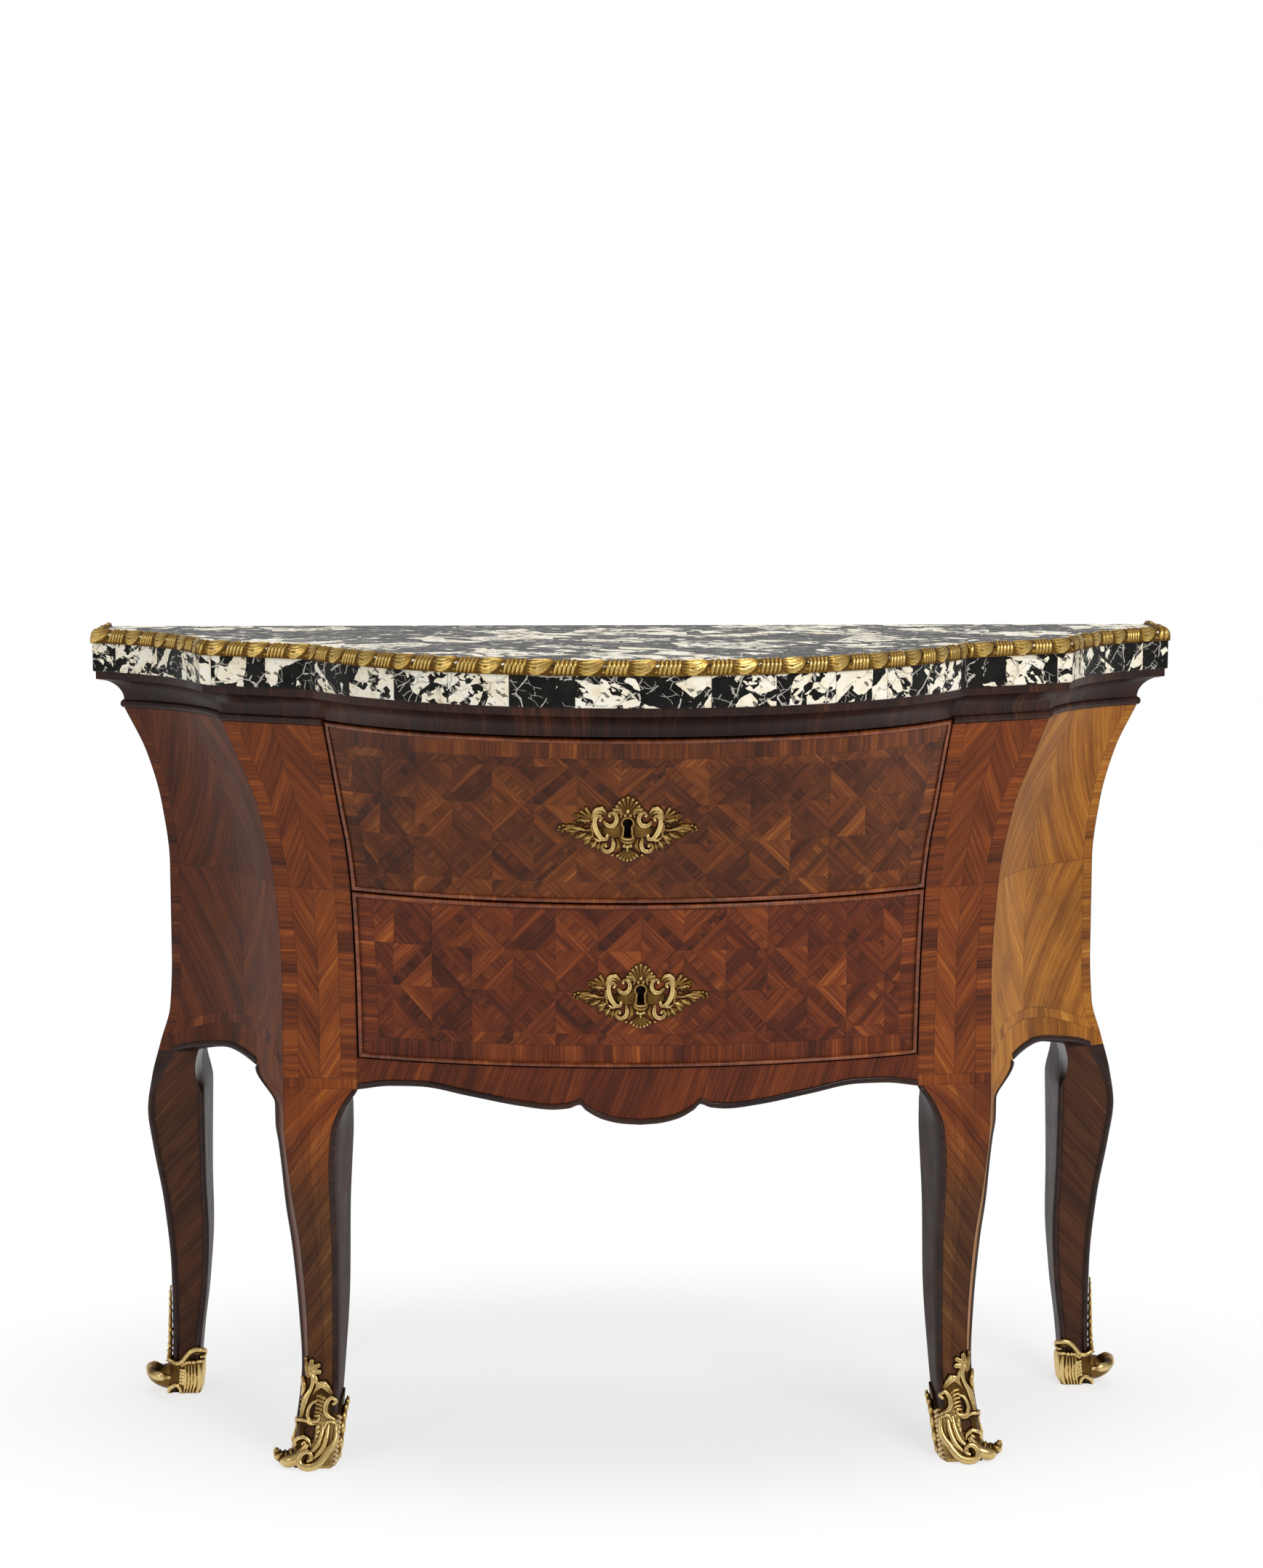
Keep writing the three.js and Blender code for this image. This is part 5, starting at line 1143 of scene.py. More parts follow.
def front_leg(side, hand):
    arch_start = SIDE_ARCH_SHARES[-1][1] * CASE_HEIGHT
    apron_end = APRON_EDGE_SHARES[-1][1] * CASE_HEIGHT
    z = leg_levels(np.round([arch_start - FADE, arch_start, apron_end - FADE, apron_end], 3))
    plan = case_plan(z)
    share = blend_at(FRONT_LEG_BLEND_SHARES, z)
    ridge = (plan.ridge, plan.ridge_f)
    rear = (across_case(LEG_REAR_WIDTH_SHARES, z), forward_case(LEG_REAR_DEPTH_SHARES, z))
    hind = (across_case(LEG_INNER_WIDTH_SHARES, z), rear[1] + LEG_TWIST)
    joint_x = side_x(plan, FRONT_JOINT)
    leg_length = np.hypot(ridge[0] - rear[0], ridge[1] - rear[1])
    post_length = np.hypot(ridge[0] - joint_x, ridge[1] - FRONT_JOINT)
    skin = Skin(f"leg_front_{side}")
    rings = []

    def outer(part, is_bead):
        """Points and maps of the outer side: its bead, or the face that runs on to the ridge."""
        start = 0 if is_bead else ARCH_BEAD
        on_leg = mix(start, ARCH_BEAD if is_bead else leg_length, part) / leg_length
        on_post = mix(start, ARCH_BEAD if is_bead else post_length, part) / post_length
        post_f = mix(FRONT_JOINT, ridge[1], on_post)
        x = mix(mix(rear[0], ridge[0], on_leg), side_x(plan, post_f), share)
        forward = mix(mix(rear[1], ridge[1], on_leg), post_f, share)
        if is_bead:
            x = x + bulge(part, z, arch_start)
        leg_maps = mapped(on_leg * leg_length, leg_length, side_up(z))
        pattern, span = (
            [mix(a, b, share) for a, b in zip(*pair)] for pair in zip(leg_maps, side_maps(z, post_f))
        )
        return x, forward, pattern, span

    def add(x, forward, pattern, span, slot, split=None, slot_above=None):
        points = place(x * hand, forward, z)
        rings.append(points)
        if split is None:
            skin.sheet(points, pattern, span, slot)
        else:
            split_sheet(skin, points, pattern, span, row_at(z, split), (slot, slot_above))

    add(*outer(BEAD_COLUMNS, True), BEAD_SLOT, arch_start, SIDE_SLOT)
    add(*outer(FACE_COLUMNS, False), SIDE_SLOT)

    slope = (plan.stile_f - plan.ridge_f) / (plan.stile - plan.ridge)
    inner_x = plan.stile + GUIDE_CLEARANCE * share
    inner_f = plan.stile_f + slope * GUIDE_CLEARANCE * share
    width = np.hypot(ridge[0] - inner_x, ridge[1] - inner_f)

    def face(distance, proud=0.0):
        at = distance / width
        x = mix(ridge[0], inner_x, at)
        forward = mix(ridge[1], inner_f, at) + proud
        return x, forward, *mapped(distance, width, stile_up(z))

    add(*face(FACE_COLUMNS * (width - ARCH_BEAD)), FACE_SLOT)
    distance = width - ARCH_BEAD + BEAD_COLUMNS * ARCH_BEAD
    add(*face(distance, bulge(BEAD_COLUMNS, z, apron_end)), BEAD_SLOT, apron_end, FACE_SLOT)

    wall_x = mix(hind[0], inner_x, share)
    wall_f = mix(hind[1], plan.stile_f - STILE_THICKNESS, share)
    depth = np.hypot(wall_x - inner_x, wall_f - inner_f)
    wall = (mix(inner_x, wall_x, WALL_COLUMNS), mix(inner_f, wall_f, WALL_COLUMNS))
    add(*wall, *mapped(WALL_COLUMNS * depth, depth, z), HIDDEN_SLOT)
    rear_x = mix(mix(rear[0], hind[0], HIND_SHARE), side_x(plan, FRONT_JOINT, FLANK_THICKNESS), share)
    rear_f = mix(mix(rear[1], hind[1], HIND_SHARE), FRONT_JOINT, share)
    back_x = np.hstack([wall_x, rear_x, mix(rear[0], joint_x, share)])
    back_f = np.hstack([wall_f, rear_f, mix(rear[1], FRONT_JOINT, share)])
    middle = (HIND_WIDTH / 2, HIND_WIDTH / 2)
    add(back_x, back_f, (WALL_COLUMNS[:3] * HIND_WIDTH, z), middle, HIDDEN_SLOT)
    finish_leg(skin, rings, side, f"stile_{side}", f"front_leg_{side}")


def back_leg(side, hand):
    arch_start = SIDE_ARCH_SHARES[0][1] * CASE_HEIGHT
    z = leg_levels(np.round([arch_start - FADE, arch_start], 3))
    plan = case_plan(z)
    share = blend_at(BACK_LEG_BLEND_SHARES, z)
    outer = plan.flank
    inner = across_case(BACK_LEG_INNER_SHARES, z)
    front = forward_case(BACK_LEG_FRONT_SHARES, z)
    rear = np.maximum(BACK_INSET, forward_case(BACK_LEG_REAR_SHARES, z))
    post_inner = outer - BACK_POST_WIDTH
    post_mid = mix(BACK_INSET, BACK_JOINT, BACK_POST_SHARE)
    depth = front - rear
    width = outer - inner - 2 * ARCH_BEAD
    cut = row_at(z, arch_start)
    skin = Skin(f"leg_back_{side}")
    rings = []

    def add(leg, post, maps, *slots):
        """A side of the leg that turns into a side of the post above it."""
        points = place(mix(leg[0], post[0], share) * hand, mix(leg[1], post[1], share), z)
        split_sheet(skin, points, *maps, cut, slots)
        rings.append(points)

    t = np.linspace(0, 1, 6)
    add((outer + 0 * t, mix(rear, front, t)), (outer + 0 * t, mix(BACK_INSET, CASE_RETURN_DEPTH, t)),
        mapped(t * depth, depth, side_up(z)), SIDE_SLOT, SIDE_SLOT)
    t = BEAD_COLUMNS
    bead_f = front + bulge(t, z, arch_start)
    post_f = mix(CASE_RETURN_DEPTH, BACK_JOINT, t)
    add((outer - ARCH_BEAD * t, bead_f), (side_x(plan, post_f), post_f), side_maps(z, post_f),
        BEAD_SLOT, SIDE_SLOT)
    t = FACE_COLUMNS
    add((mix(outer - ARCH_BEAD, inner + ARCH_BEAD, t), front + 0 * t),
        (mix(side_x(plan, BACK_JOINT), post_inner, t), BACK_JOINT + 0 * t),
        mapped(t * width, width, z), FACE_SLOT, FACE_SLOT)
    t = BEAD_COLUMNS
    add((mix(inner + ARCH_BEAD, inner, t), bead_f),
        (post_inner + FIT * t, mix(BACK_JOINT, post_mid, t)),
        mapped(t * ARCH_BEAD, ARCH_BEAD, z), BEAD_SLOT, HIDDEN_SLOT)
    t = WALL_COLUMNS
    add((inner + 0 * t, mix(front, rear, t)),
        (mix(post_inner + FIT, post_inner, t), mix(post_mid, BACK_INSET, t)),
        mapped(t * depth, depth, z), HIDDEN_SLOT, HIDDEN_SLOT)
    add((mix(inner, outer, t), rear + 0 * t), (mix(post_inner, outer, t), BACK_INSET + 0 * t),
        mapped(t * width, width, z), HIDDEN_SLOT, HIDDEN_SLOT)
    finish_leg(skin, rings, side, "leg_front", f"back_leg_{side}")


def arch_at(forward):
    return CASE_HEIGHT * along(SIDE_ARCH_SHARES, (forward - BACK_JOINT) / (FRONT_JOINT - BACK_JOINT))


def bead_round(count=9):
    """Half-round section: shares up and out, with the hidden rear edge at -1."""
    angles = np.linspace(0, np.pi, count)
    up = np.concatenate([[0], (1 - np.cos(angles)) / 2, [1]])
    out = np.concatenate([[-1], np.sin(angles) ** 0.8, [-1]])
    return up, out


def edge_bead(name, node, low, curve):
    """A half-round bead along a lower edge; curve(z, inwards) gives its points."""
    up, out = (part[None, :] for part in bead_round())
    rings = curve(low + ARCH_BEAD * up, np.where(out < 0, ARCH_BEAD_DEPTH, -ARCH_BEAD_PROUD * out))
    distance = running(rings[:, 0])[:, None] / MM
    skin = Skin(name)
    skin.loft(rings, (distance, up * ARCH_BEAD), NO_EDGE)
    settle(skin.build([MATERIALS["bead"]], BEAD_SMOOTH_ANGLE), "case", "dark_wood", node)


def side_parts(side, hand):
    forward = np.linspace(BACK_JOINT, FRONT_JOINT, 28)[:, None]
    low = arch_at(forward)

    def curve(z, inwards):
        return place(side_x(case_plan(z), forward, inwards) * hand, forward, z)

    def wall(name, foot, head, levels, thickness, node):
        z = mix(foot, head, np.linspace(0, 1, levels)[None, :]) + 0 * forward
        skin = Skin(name)
        skin.shell(curve(z, 0), curve(z, thickness), *side_maps(z, forward), (z, forward))
        materials = [MATERIALS[f"side_{side}"], MATERIALS["leg_inner"]]
        settle(skin.build(materials), "case", "veneer", node)

    wall(f"panel_{side}", RAIL_TOP, CASE_HEIGHT - FIT, 48, PANEL_THICKNESS, f"side_panel_{side}")
    wall(f"rail_{side}", low + ARCH_BEAD, RAIL_TOP, 12, RAIL_THICKNESS, f"side_rail_{side}")
    edge_bead(f"arch_bead_{side}", f"side_arch_bead_{side}", low, curve)


def apron():
    half = HALF_WIDTH * along(STILE_WIDTH_SHARES, APRON_EDGE_SHARES[-1][1]) + GUIDE_CLEARANCE
    kinks = [share for share, _ in APRON_EDGE_SHARES]
    xs = np.unique(np.concatenate([np.linspace(a, b, 9) for a, b in zip(kinks, kinks[1:])])) * half
    xs = np.concatenate([-xs[:0:-1], xs])[:, None]
    low = CASE_HEIGHT * along(APRON_EDGE_SHARES, np.abs(xs) / half)
    step = low + ARCH_BEAD

    def face(z):
        plan = case_plan(z)
        return bow_forward(half, plan.stile_f, plan.bow, xs)

    def curve(z, inwards):
        return place(xs, face(z) - inwards, z)

    z = mix(step, APRON_TOP, np.linspace(0, 1, 8)[None, :])
    plan = case_plan(z)
    run = bow_run(half, plan.stile_f, plan.bow, xs)
    back = face(APRON_TOP) - APRON_THICKNESS
    front = curve(z, 0)
    skin = Skin("apron")
    skin.sheet(front, (run, bow_up(z)), NO_EDGE)
    two = np.hstack([xs, xs])
    rear = place(two, np.hstack([back, back]), np.hstack([low, APRON_TOP + 0 * low]))
    under = place(two, np.hstack([face(step), back]), np.hstack([step, low]))
    top = place(two, np.hstack([face(APRON_TOP + 0 * xs), back]), APRON_TOP)
    for sheet in (rear, under, top):
        skin.sheet(sheet, slot=1)
    for end in (0, -1):
        skin.cap(np.vstack([front[end], rear[end, ::-1]]), slot=1)
    settle(skin.build([MATERIALS["apron"], MATERIALS["leg_inner"]]), "case", "veneer", "front_apron")
    edge_bead("apron_bead", "front_apron_bead", low, curve)


# Marble top and its gilt edge
def marble_slab():
    edge = inset(outline(TOP_PLAN), EDGE_OVERHANG)
    bottom = TOP_HEIGHT - MARBLE_THICKNESS
    # How far inside the edge each ring lies, and its height
    steps = [
        (MARBLE_BEVEL, bottom), (0, bottom + MARBLE_BEVEL), (0, TOP_HEIGHT - MARBLE_BEVEL),
        (MARBLE_BEVEL, TOP_HEIGHT),
    ]
    rings = [place(*inset(edge, by).T, z) for by, z in steps]
    heights = np.array([z for _, z in steps])[:, None]
    skin = Skin("marble_slab")
    skin.sheet(np.stack(rings), (running(edge)[None, :], heights), slot=1)
    skin.cap(rings[-1])
    skin.cap(rings[0][::-1])
    skin.sheet(np.stack([np.stack([ring[0], ring[-1]]) for ring in rings]))
    piece = skin.build([MATERIALS["marble_top"], MATERIALS["marble_edge"]])
    settle(piece, "case", "marble", "marble_core", "marble_top_veneer", "marble_edge_veneer")


def band_profile(q):
    """A flat band with raised rims."""
    floor = 0.62 + 0.3 * (q / 0.55) ** 3
    rim = 0.92 * np.sqrt(np.clip(1 - ((q - 0.55) / 0.45) ** 2, 0, 1))
    return np.where(q < 0.55, floor, rim)


def round_profile(q):
    return np.sqrt(np.clip(1 - q * q, 0, 1))


def leaf_profile(q):
    """A hollow leaf: raised rims about a sunk vein."""
    return round_profile(q) * (0.62 + 0.5 * q)


class Relief:
    """Rounded strokes over a plane, kept as a grid of heights in millimetres."""

    def __init__(self, left, right, low, high, step):
        self.a = np.arange(left, right + step / 2, step)
        self.b = np.arange(low, high + step / 2, step)
        self.step = step
        self.height = np.full((len(self.b), len(self.a)), -SINK)

    def stroke(self, points, widths, lift=0.0, rise=1.0, profile=round_profile):
        """A tapered stroke through points; a single width serves the whole stroke."""
        points = np.array(points, float)
        if len(points) > 2:
            points = curve_through(points)
        distance = running(points)
        count = max(2, int(distance[-1] / (self.step * 1.2)) + 1)
        at = np.linspace(0, distance[-1], count)
        xs = np.interp(at, distance, points[:, 0])
        ys = np.interp(at, distance, points[:, 1])
        widths = np.atleast_1d(np.array(widths, float))
        wide = np.interp(at, np.linspace(0, distance[-1], len(widths)), widths)
        reach = wide.max()
        cols = np.flatnonzero((self.a > xs.min() - reach) & (self.a < xs.max() + reach))
        rows = np.flatnonzero((self.b > ys.min() - reach) & (self.b < ys.max() + reach))
        if not len(cols) or not len(rows):
            return
        a = self.a[cols][None, :, None]
        b = self.b[rows][:, None, None]
        q = np.hypot(a - xs, b - ys) / wide
        nearest = q.argmin(-1)
        q = np.take_along_axis(q, nearest[..., None], -1)[..., 0]
        height = np.where(q < 1, lift + rise * wide[nearest] * profile(np.minimum(q, 1)), -SINK)
        window = np.ix_(rows, cols)
        self.height[window] = np.maximum(self.height[window], height)

    def ball(self, x, y, radius, lift=0.0):
        self.stroke([(x, y), (x + 0.01, y)], radius, lift)

    def scroll(self, x, y, radius, start, turns, width, lift=0.0, profile=band_profile):
        """A volute that winds in from its outer end to an eye."""
        at = np.linspace(0, 1, 24)
        angle = math.radians(start) + 2 * np.pi * turns * at
        reach = radius * (1 - 0.82 * at)
        line = np.stack([x + reach * np.cos(angle), y + reach * np.sin(angle)], -1)
        self.stroke(line, width * np.array([1, 0.9, 0.6]), lift, 1.0, profile)
        self.ball(x, y, width * 0.8, lift + width * 0.3)

    def fan(self, x, y, inner, outer, start, end, ribs, width, lift=0.0, squash=1.0):
        """A shell of ribs, each with a bead at its tip."""
        for k in range(ribs):
            angle = math.radians(mix(start, end, k / (ribs - 1)))
            reach = outer * (1 - (1 - squash) * abs(math.cos(angle)))
            c, s = math.cos(angle), math.sin(angle)
            root = (x + inner * c, y + inner * s)
            tip = (x + reach * c, y + reach * s)
            self.stroke([root, tip], [width * 0.35, width], lift, 0.9)
            self.ball(*tip, width * 1.1, lift + 0.2)

    def leaf(self, x, y, angle, length, width, lift=0.0, lobes=3, curl=0.0):
        """A leaf with paired lobes along a curved stem."""
        at = np.linspace(0, 1, 8)
        turn = math.radians(angle) + math.radians(curl) * at
        steps = np.stack([np.cos(turn), np.sin(turn)], -1) * length / 7
        line = np.vstack([[x, y], np.array([x, y]) + np.cumsum(steps[:-1], axis=0)])
        self.stroke(line, [width * 0.35, width * 0.5, width * 0.2], lift + width * 0.25)
        for k in range(lobes):
            share = (k + 0.6) / (lobes + 0.2)
            n = int(share * 7)
            root = line[n]
            for hand in (1, -1):
                heading = turn[n] + hand * 0.75
                size = width * (1.1 - 0.5 * share)
                tip = root + np.array([math.cos(heading), math.sin(heading)]) * size * 1.25
                self.stroke([root, tip], [size * 0.3, size * 0.5], lift, 0.8)

    def ground(self, corners, height):
        """A flat sheet inside an outline."""
        a, b = np.meshgrid(self.a, self.b)
        inside = np.zeros(a.shape, bool)
        for (x0, y0), (x1, y1) in zip(corners, corners[1:] + corners[:1]):
            if y0 != y1:
                cross = x0 + (b - y0) * (x1 - x0) / (y1 - y0)
                inside ^= ((b < y0) != (b < y1)) & (a < cross)
        self.height = np.where(inside, np.maximum(self.height, height), self.height)

    def opening(self, x, y, wide, high, turn=0.0):
        a, b = np.meshgrid(self.a - x, self.b - y)
        c, s = math.cos(math.radians(turn)), math.sin(math.radians(turn))
        self.carve(((a * c + b * s) / wide) ** 2 + ((b * c - a * s) / high) ** 2 < 1)

    def carve_box(self, left, right, low, high):
        a, b = np.meshgrid(self.a, self.b)
        self.carve((a > left) & (a < right) & (b > low) & (b < high))

    def mirror(self):
        self.height = np.maximum(self.height, self.height[:, ::-1])

    def carve(self, mask):
        self.height[mask] = -SINK


def curve_through(points, steps=8):
    """A smooth line through given points."""
    ends = np.vstack([2 * points[0] - points[1], points, 2 * points[-1] - points[-2]])
    made = []
    for k in range(1, len(ends) - 2):
        p0, p1, p2, p3 = ends[k - 1 : k + 3]
        t = np.linspace(0, 1, steps, endpoint=False)[:, None]
        made.append(
            0.5 * (2 * p1 + (p2 - p0) * t + (2 * p0 - 5 * p1 + 4 * p2 - p3) * t**2
                   + (3 * p1 - p0 - 3 * p2 + p3) * t**3)
        )
    return np.vstack(made + [ends[-2:-1]])


def relief_skin(name, relief, surface, low=0.0, full=4.0):
    """A closed shell over the raised part of a relief; surface(a, b, out) gives its points.

    Heights from low to full go from the painted shade of the hollows to the painted highlight of the
    crests."""
    height = relief.height
    raised = height > -SINK + 1e-6
    cells = raised[:-1, :-1] | raised[1:, :-1] | raised[:-1, 1:] | raised[1:, 1:]
    a, b = np.meshgrid(relief.a, relief.b)
    top = surface(a, b, height)
    base = surface(a, b, np.full_like(height, -SINK - 0.3))
    skin = Skin(name)
    high = np.clip((height - low) / (full - low), 0, 1)
    upper = skin.add_points(top, (a, b), None, high)
    # The walls and underside of the relief take the darkest tone: painted shade
    lower = skin.add_points(base, (a, b), None, 0.0)
    rows, cols = np.nonzero(cells)

    def corners(index):
        turn = ((rows, cols), (rows, cols + 1), (rows + 1, cols + 1), (rows + 1, cols))
        return np.stack([index[corner] for corner in turn], -1)

    faces = corners(upper).tolist() + corners(lower)[:, ::-1].tolist()
    padded = np.pad(cells, 1)
    high_count, wide_count = cells.shape
    for down, across, first, second in (
        (-1, 0, (0, 0), (0, 1)), (1, 0, (1, 1), (1, 0)), (0, -1, (1, 0), (0, 0)), (0, 1, (0, 1), (1, 1)),
    ):
        beyond = padded[1 + down :, 1 + across :][:high_count, :wide_count]
        r, c = np.nonzero(cells & ~beyond)
        p, q = (r + first[0], c + first[1]), (r + second[0], c + second[1])
        faces += np.stack([upper[q], upper[p], lower[p], lower[q]], -1).tolist()
    skin.faces = faces
    skin.slots = [0] * len(faces)
    return skin


def leaf_tile():
    """One pitch of the gilt edge: a long fanned leaf, then five tongues under a row of berries."""
    tile = Relief(-LEAF_PITCH / 2, 1.5 * LEAF_PITCH, 0, 27, LEAF_STEP)
    for shift in (-LEAF_PITCH, 0, LEAF_PITCH):
        for k in range(5):
            line = [(0, 15 + 0.8 * k), (8, 5 + 3.2 * k), (17, 0.6 + 3.9 * k), (26, 2.6 + 3.4 * k),
                    (28.5, 6 + 2.6 * k)]
            tile.stroke([(shift + x, b) for x, b in line], [0.9, 1.9, 2.3, 2.1, 1.0], 0.5)
            root = shift + 31.5 + 4.4 * k
            tile.stroke([(root - 2.4, 17), (root - 0.6, 9), (root + 1.4, 1.2)], [1.3, 2.3, 2.0], 0.5)
        for x, b, size in ((2, 2.4, 2.0), (5, 21, 2.2), (12, 22.6, 2.0), (31, 21, 2.3), (36.5, 22, 2.1),
                           (42, 20.6, 2.3), (48, 21.8, 2.1)):
            tile.ball(shift + x, b, size, 0.5)
    keep = (tile.a >= 0) & (tile.a < LEAF_PITCH)
    return np.maximum(tile.height[:, keep], LEAF_GROUND), tile.b


def gilt_edges():
    tile, around_mm = leaf_tile()
    edge = inset(outline(TOP_PLAN), EDGE_WIDTH)
    sideways = mitres(edge)
    low = TOP_HEIGHT + EDGE_RISE - EDGE_HEIGHT
    stretches = {
        "right": (0, RIDGE_INDEX), "right_stile": (RIDGE_INDEX, STILE_INDEX),
        "front": (STILE_INDEX, FAR_STILE_INDEX),
        "left_stile": (FAR_STILE_INDEX, FAR_STILE_INDEX + 1), "left": (FAR_STILE_INDEX + 1, len(edge) - 1),
    }
    size = np.array([EDGE_WIDTH, EDGE_HEIGHT])
    angles = np.linspace(0, np.pi, 40)
    # Outer foot, over the crown, to the inner foot; the foot's two points close the flat bottom
    section = np.stack([0.5 + 0.5 * np.cos(angles), 0.07 + 0.93 * np.sin(angles) ** 0.75], -1)
    arc = running(section * size)
    rows = np.clip(arc / around_mm[1], 0, tile.shape[0] - 1).astype(int)
    direction = section - EDGE_HEART_SHARES
    direction = direction / np.linalg.norm(direction, axis=1, keepdims=True)
    core = section * size - direction * EDGE_CORE
    foot = np.array([[EDGE_FOOT_INSET, 0.0], [EDGE_WIDTH - EDGE_FOOT_INSET, 0.0]])
    for name, (first, final) in stretches.items():
        line = edge[first : final + 1]
        out = sideways[first : final + 1]
        distance = running(line)
        at = np.linspace(0, distance[-1], max(6, int(distance[-1] / EDGE_SAMPLE)))
        x, f = (np.interp(at, distance, line[:, k]) for k in (0, 1))
        out_x, out_f = (np.interp(at, distance, out[:, k]) for k in (0, 1))
        columns = ((at / LEAF_PITCH) % 1 * tile.shape[1]).astype(int)
        raised = tile[rows][:, columns].T
        spot = np.clip(core[None] + direction[None] * raised[..., None], (0, -np.inf), size)
        ends = np.broadcast_to(foot, (len(at), 2, 2))
        spot = np.concatenate([ends[:, 1:], spot, ends[:, :1]], axis=1)
        # Low parts of the leaves get painted shade and high parts a painted highlight
        high = np.pad((raised - EDGE_TONE_LOW) / EDGE_TONE_RANGE, ((0, 0), (1, 1)))
        rings = place(
            x[:, None] + out_x[:, None] * spot[..., 0], f[:, None] + out_f[:, None] * spot[..., 0],
            low + spot[..., 1],
        )
        skin = Skin(f"gilt_edge_{name}")
        skin.loft(rings, (at[:, None], 0 * spot[..., 0]), None, 0, np.clip(high, 0, 1))
        piece = skin.build([MATERIALS["gilt"]], MOULDING_SMOOTH_ANGLE)
        settle(piece, "case", "gilt_bronze", f"edge_moulding_{name}")


# Frieze
def friezes():
    hollow_foot = CASE_HEIGHT + FRIEZE_BEAD
    marble_bottom = TOP_HEIGHT - MARBLE_THICKNESS
    hollow_top = marble_bottom - FRIEZE_FILLET
    low = outline(case_plan(CASE_HEIGHT))
    high = inset(outline(TOP_PLAN), EDGE_OVERHANG + FRIEZE_SETBACK)
    inner = inset(low, FRIEZE_THICKNESS)
    bead = [
        (CASE_HEIGHT + FRIEZE_BEAD * (1 - math.cos(a)) / 2, math.sin(a) ** 0.8)
        for a in np.linspace(0, math.pi, 9)
    ]
    levels = []
    for z, share in bead:
        levels.append((z, inset(low, -FRIEZE_BULGE * share)))
    for z in np.linspace(hollow_foot, hollow_top, 14)[1:]:
        rise = (z - hollow_foot) / (hollow_top - hollow_foot)
        levels.append((z, mix(low, high, 1 - math.sqrt(max(0, 1 - rise * rise)))))
    levels.append((marble_bottom - FIT, high))
    run = running(low)
    for name, first, last in (
        ("right", 0, STILE_INDEX), ("front", STILE_INDEX, FAR_STILE_INDEX),
        ("left", FAR_STILE_INDEX, len(low) - 1),
    ):
        used = levels
        if name == "front":
            start = CASE_HEIGHT + FRONT_FRIEZE_LIFT
            used = [(start, low)] + levels[len(bead) - 1:]
        part = slice(first, last + 1)
        rings = np.stack([
            np.vstack([place(*points[part].T, z), place(*inner[part].T, z)[::-1]]) for z, points in used
        ])
        up = np.array([z for z, _ in used])[:, None]
        distance = np.concatenate([run[part], run[part][::-1]])[None, :]
        skin = Skin(f"frieze_band_{name}")
        skin.loft(rings, (distance, up), NO_EDGE)
        piece = skin.build([MATERIALS["frieze"]], FRIEZE_SMOOTH_ANGLE)
        settle(piece, "case", "dark_wood", f"frieze_{name}")


# Drawers
def front_half(z):
    return case_plan(z).stile - DRAWER_GAP - COCK_BEAD


def front_face(x, z):
    plan = case_plan(z)
    return bow_forward(plan.stile, plan.stile_f, plan.bow, x)


def drawer_face(x, z, out):
    """A point that stands out from the front of a drawer."""
    step = 1.0
    slope_x = (front_face(x + step, z) - front_face(x - step, z)) / (2 * step)
    slope_z = (front_face(x, z + step) - front_face(x, z - step)) / (2 * step)
    length = np.sqrt(slope_x**2 + slope_z**2 + 1)
    return place(x - slope_x * out / length, front_face(x, z) + out / length, z - slope_z * out / length)


def inside_face(drawer, x, z):
    plan = case_plan(z)
    share = np.clip((z - drawer.base) / (drawer.flat - drawer.base), 0, 1)
    return bow_forward(plan.stile, plan.stile_f - FRONT_THICKNESS, mix(drawer.foot, drawer.face, share), x)


def cutter(ring_x, ring_z, from_f, to_f):
    skin = Skin("cutter")
    rings = np.stack([place(ring_x, f, ring_z) for f in (from_f, to_f)])
    skin.loft(rings)
    return skin.build([])


def cut_away(piece, tools):
    for tool in tools:
        modifier = piece.modifiers.new("cut", "BOOLEAN")
        modifier.operation = "DIFFERENCE"
        modifier.object = tool
        modifier.solver = "EXACT"
    evaluated = piece.evaluated_get(bpy.context.evaluated_depsgraph_get())
    mesh = bpy.data.meshes.new_from_object(evaluated)
    piece.modifiers.clear()
    piece.data = mesh
    for tool in tools:
        bpy.data.objects.remove(tool)


def keyhole_ring(drawer):
    half = KEYHOLE_SLOT / 2
    radius = KEYHOLE_RADIUS
    open_angle = math.asin(half / radius)
    angles = np.linspace(-math.pi / 2 + open_angle, 1.5 * math.pi - open_angle, 33)
    foot_x, foot_z = half * KEYHOLE_SPREAD, -KEYHOLE_DROP
    xs = np.concatenate([[foot_x], radius * np.cos(angles), [-foot_x]])
    zs = np.concatenate([[foot_z], radius * np.sin(angles), [foot_z]])
    return drawer.lock_x + xs, drawer.plate + KEYHOLE_RISE + zs


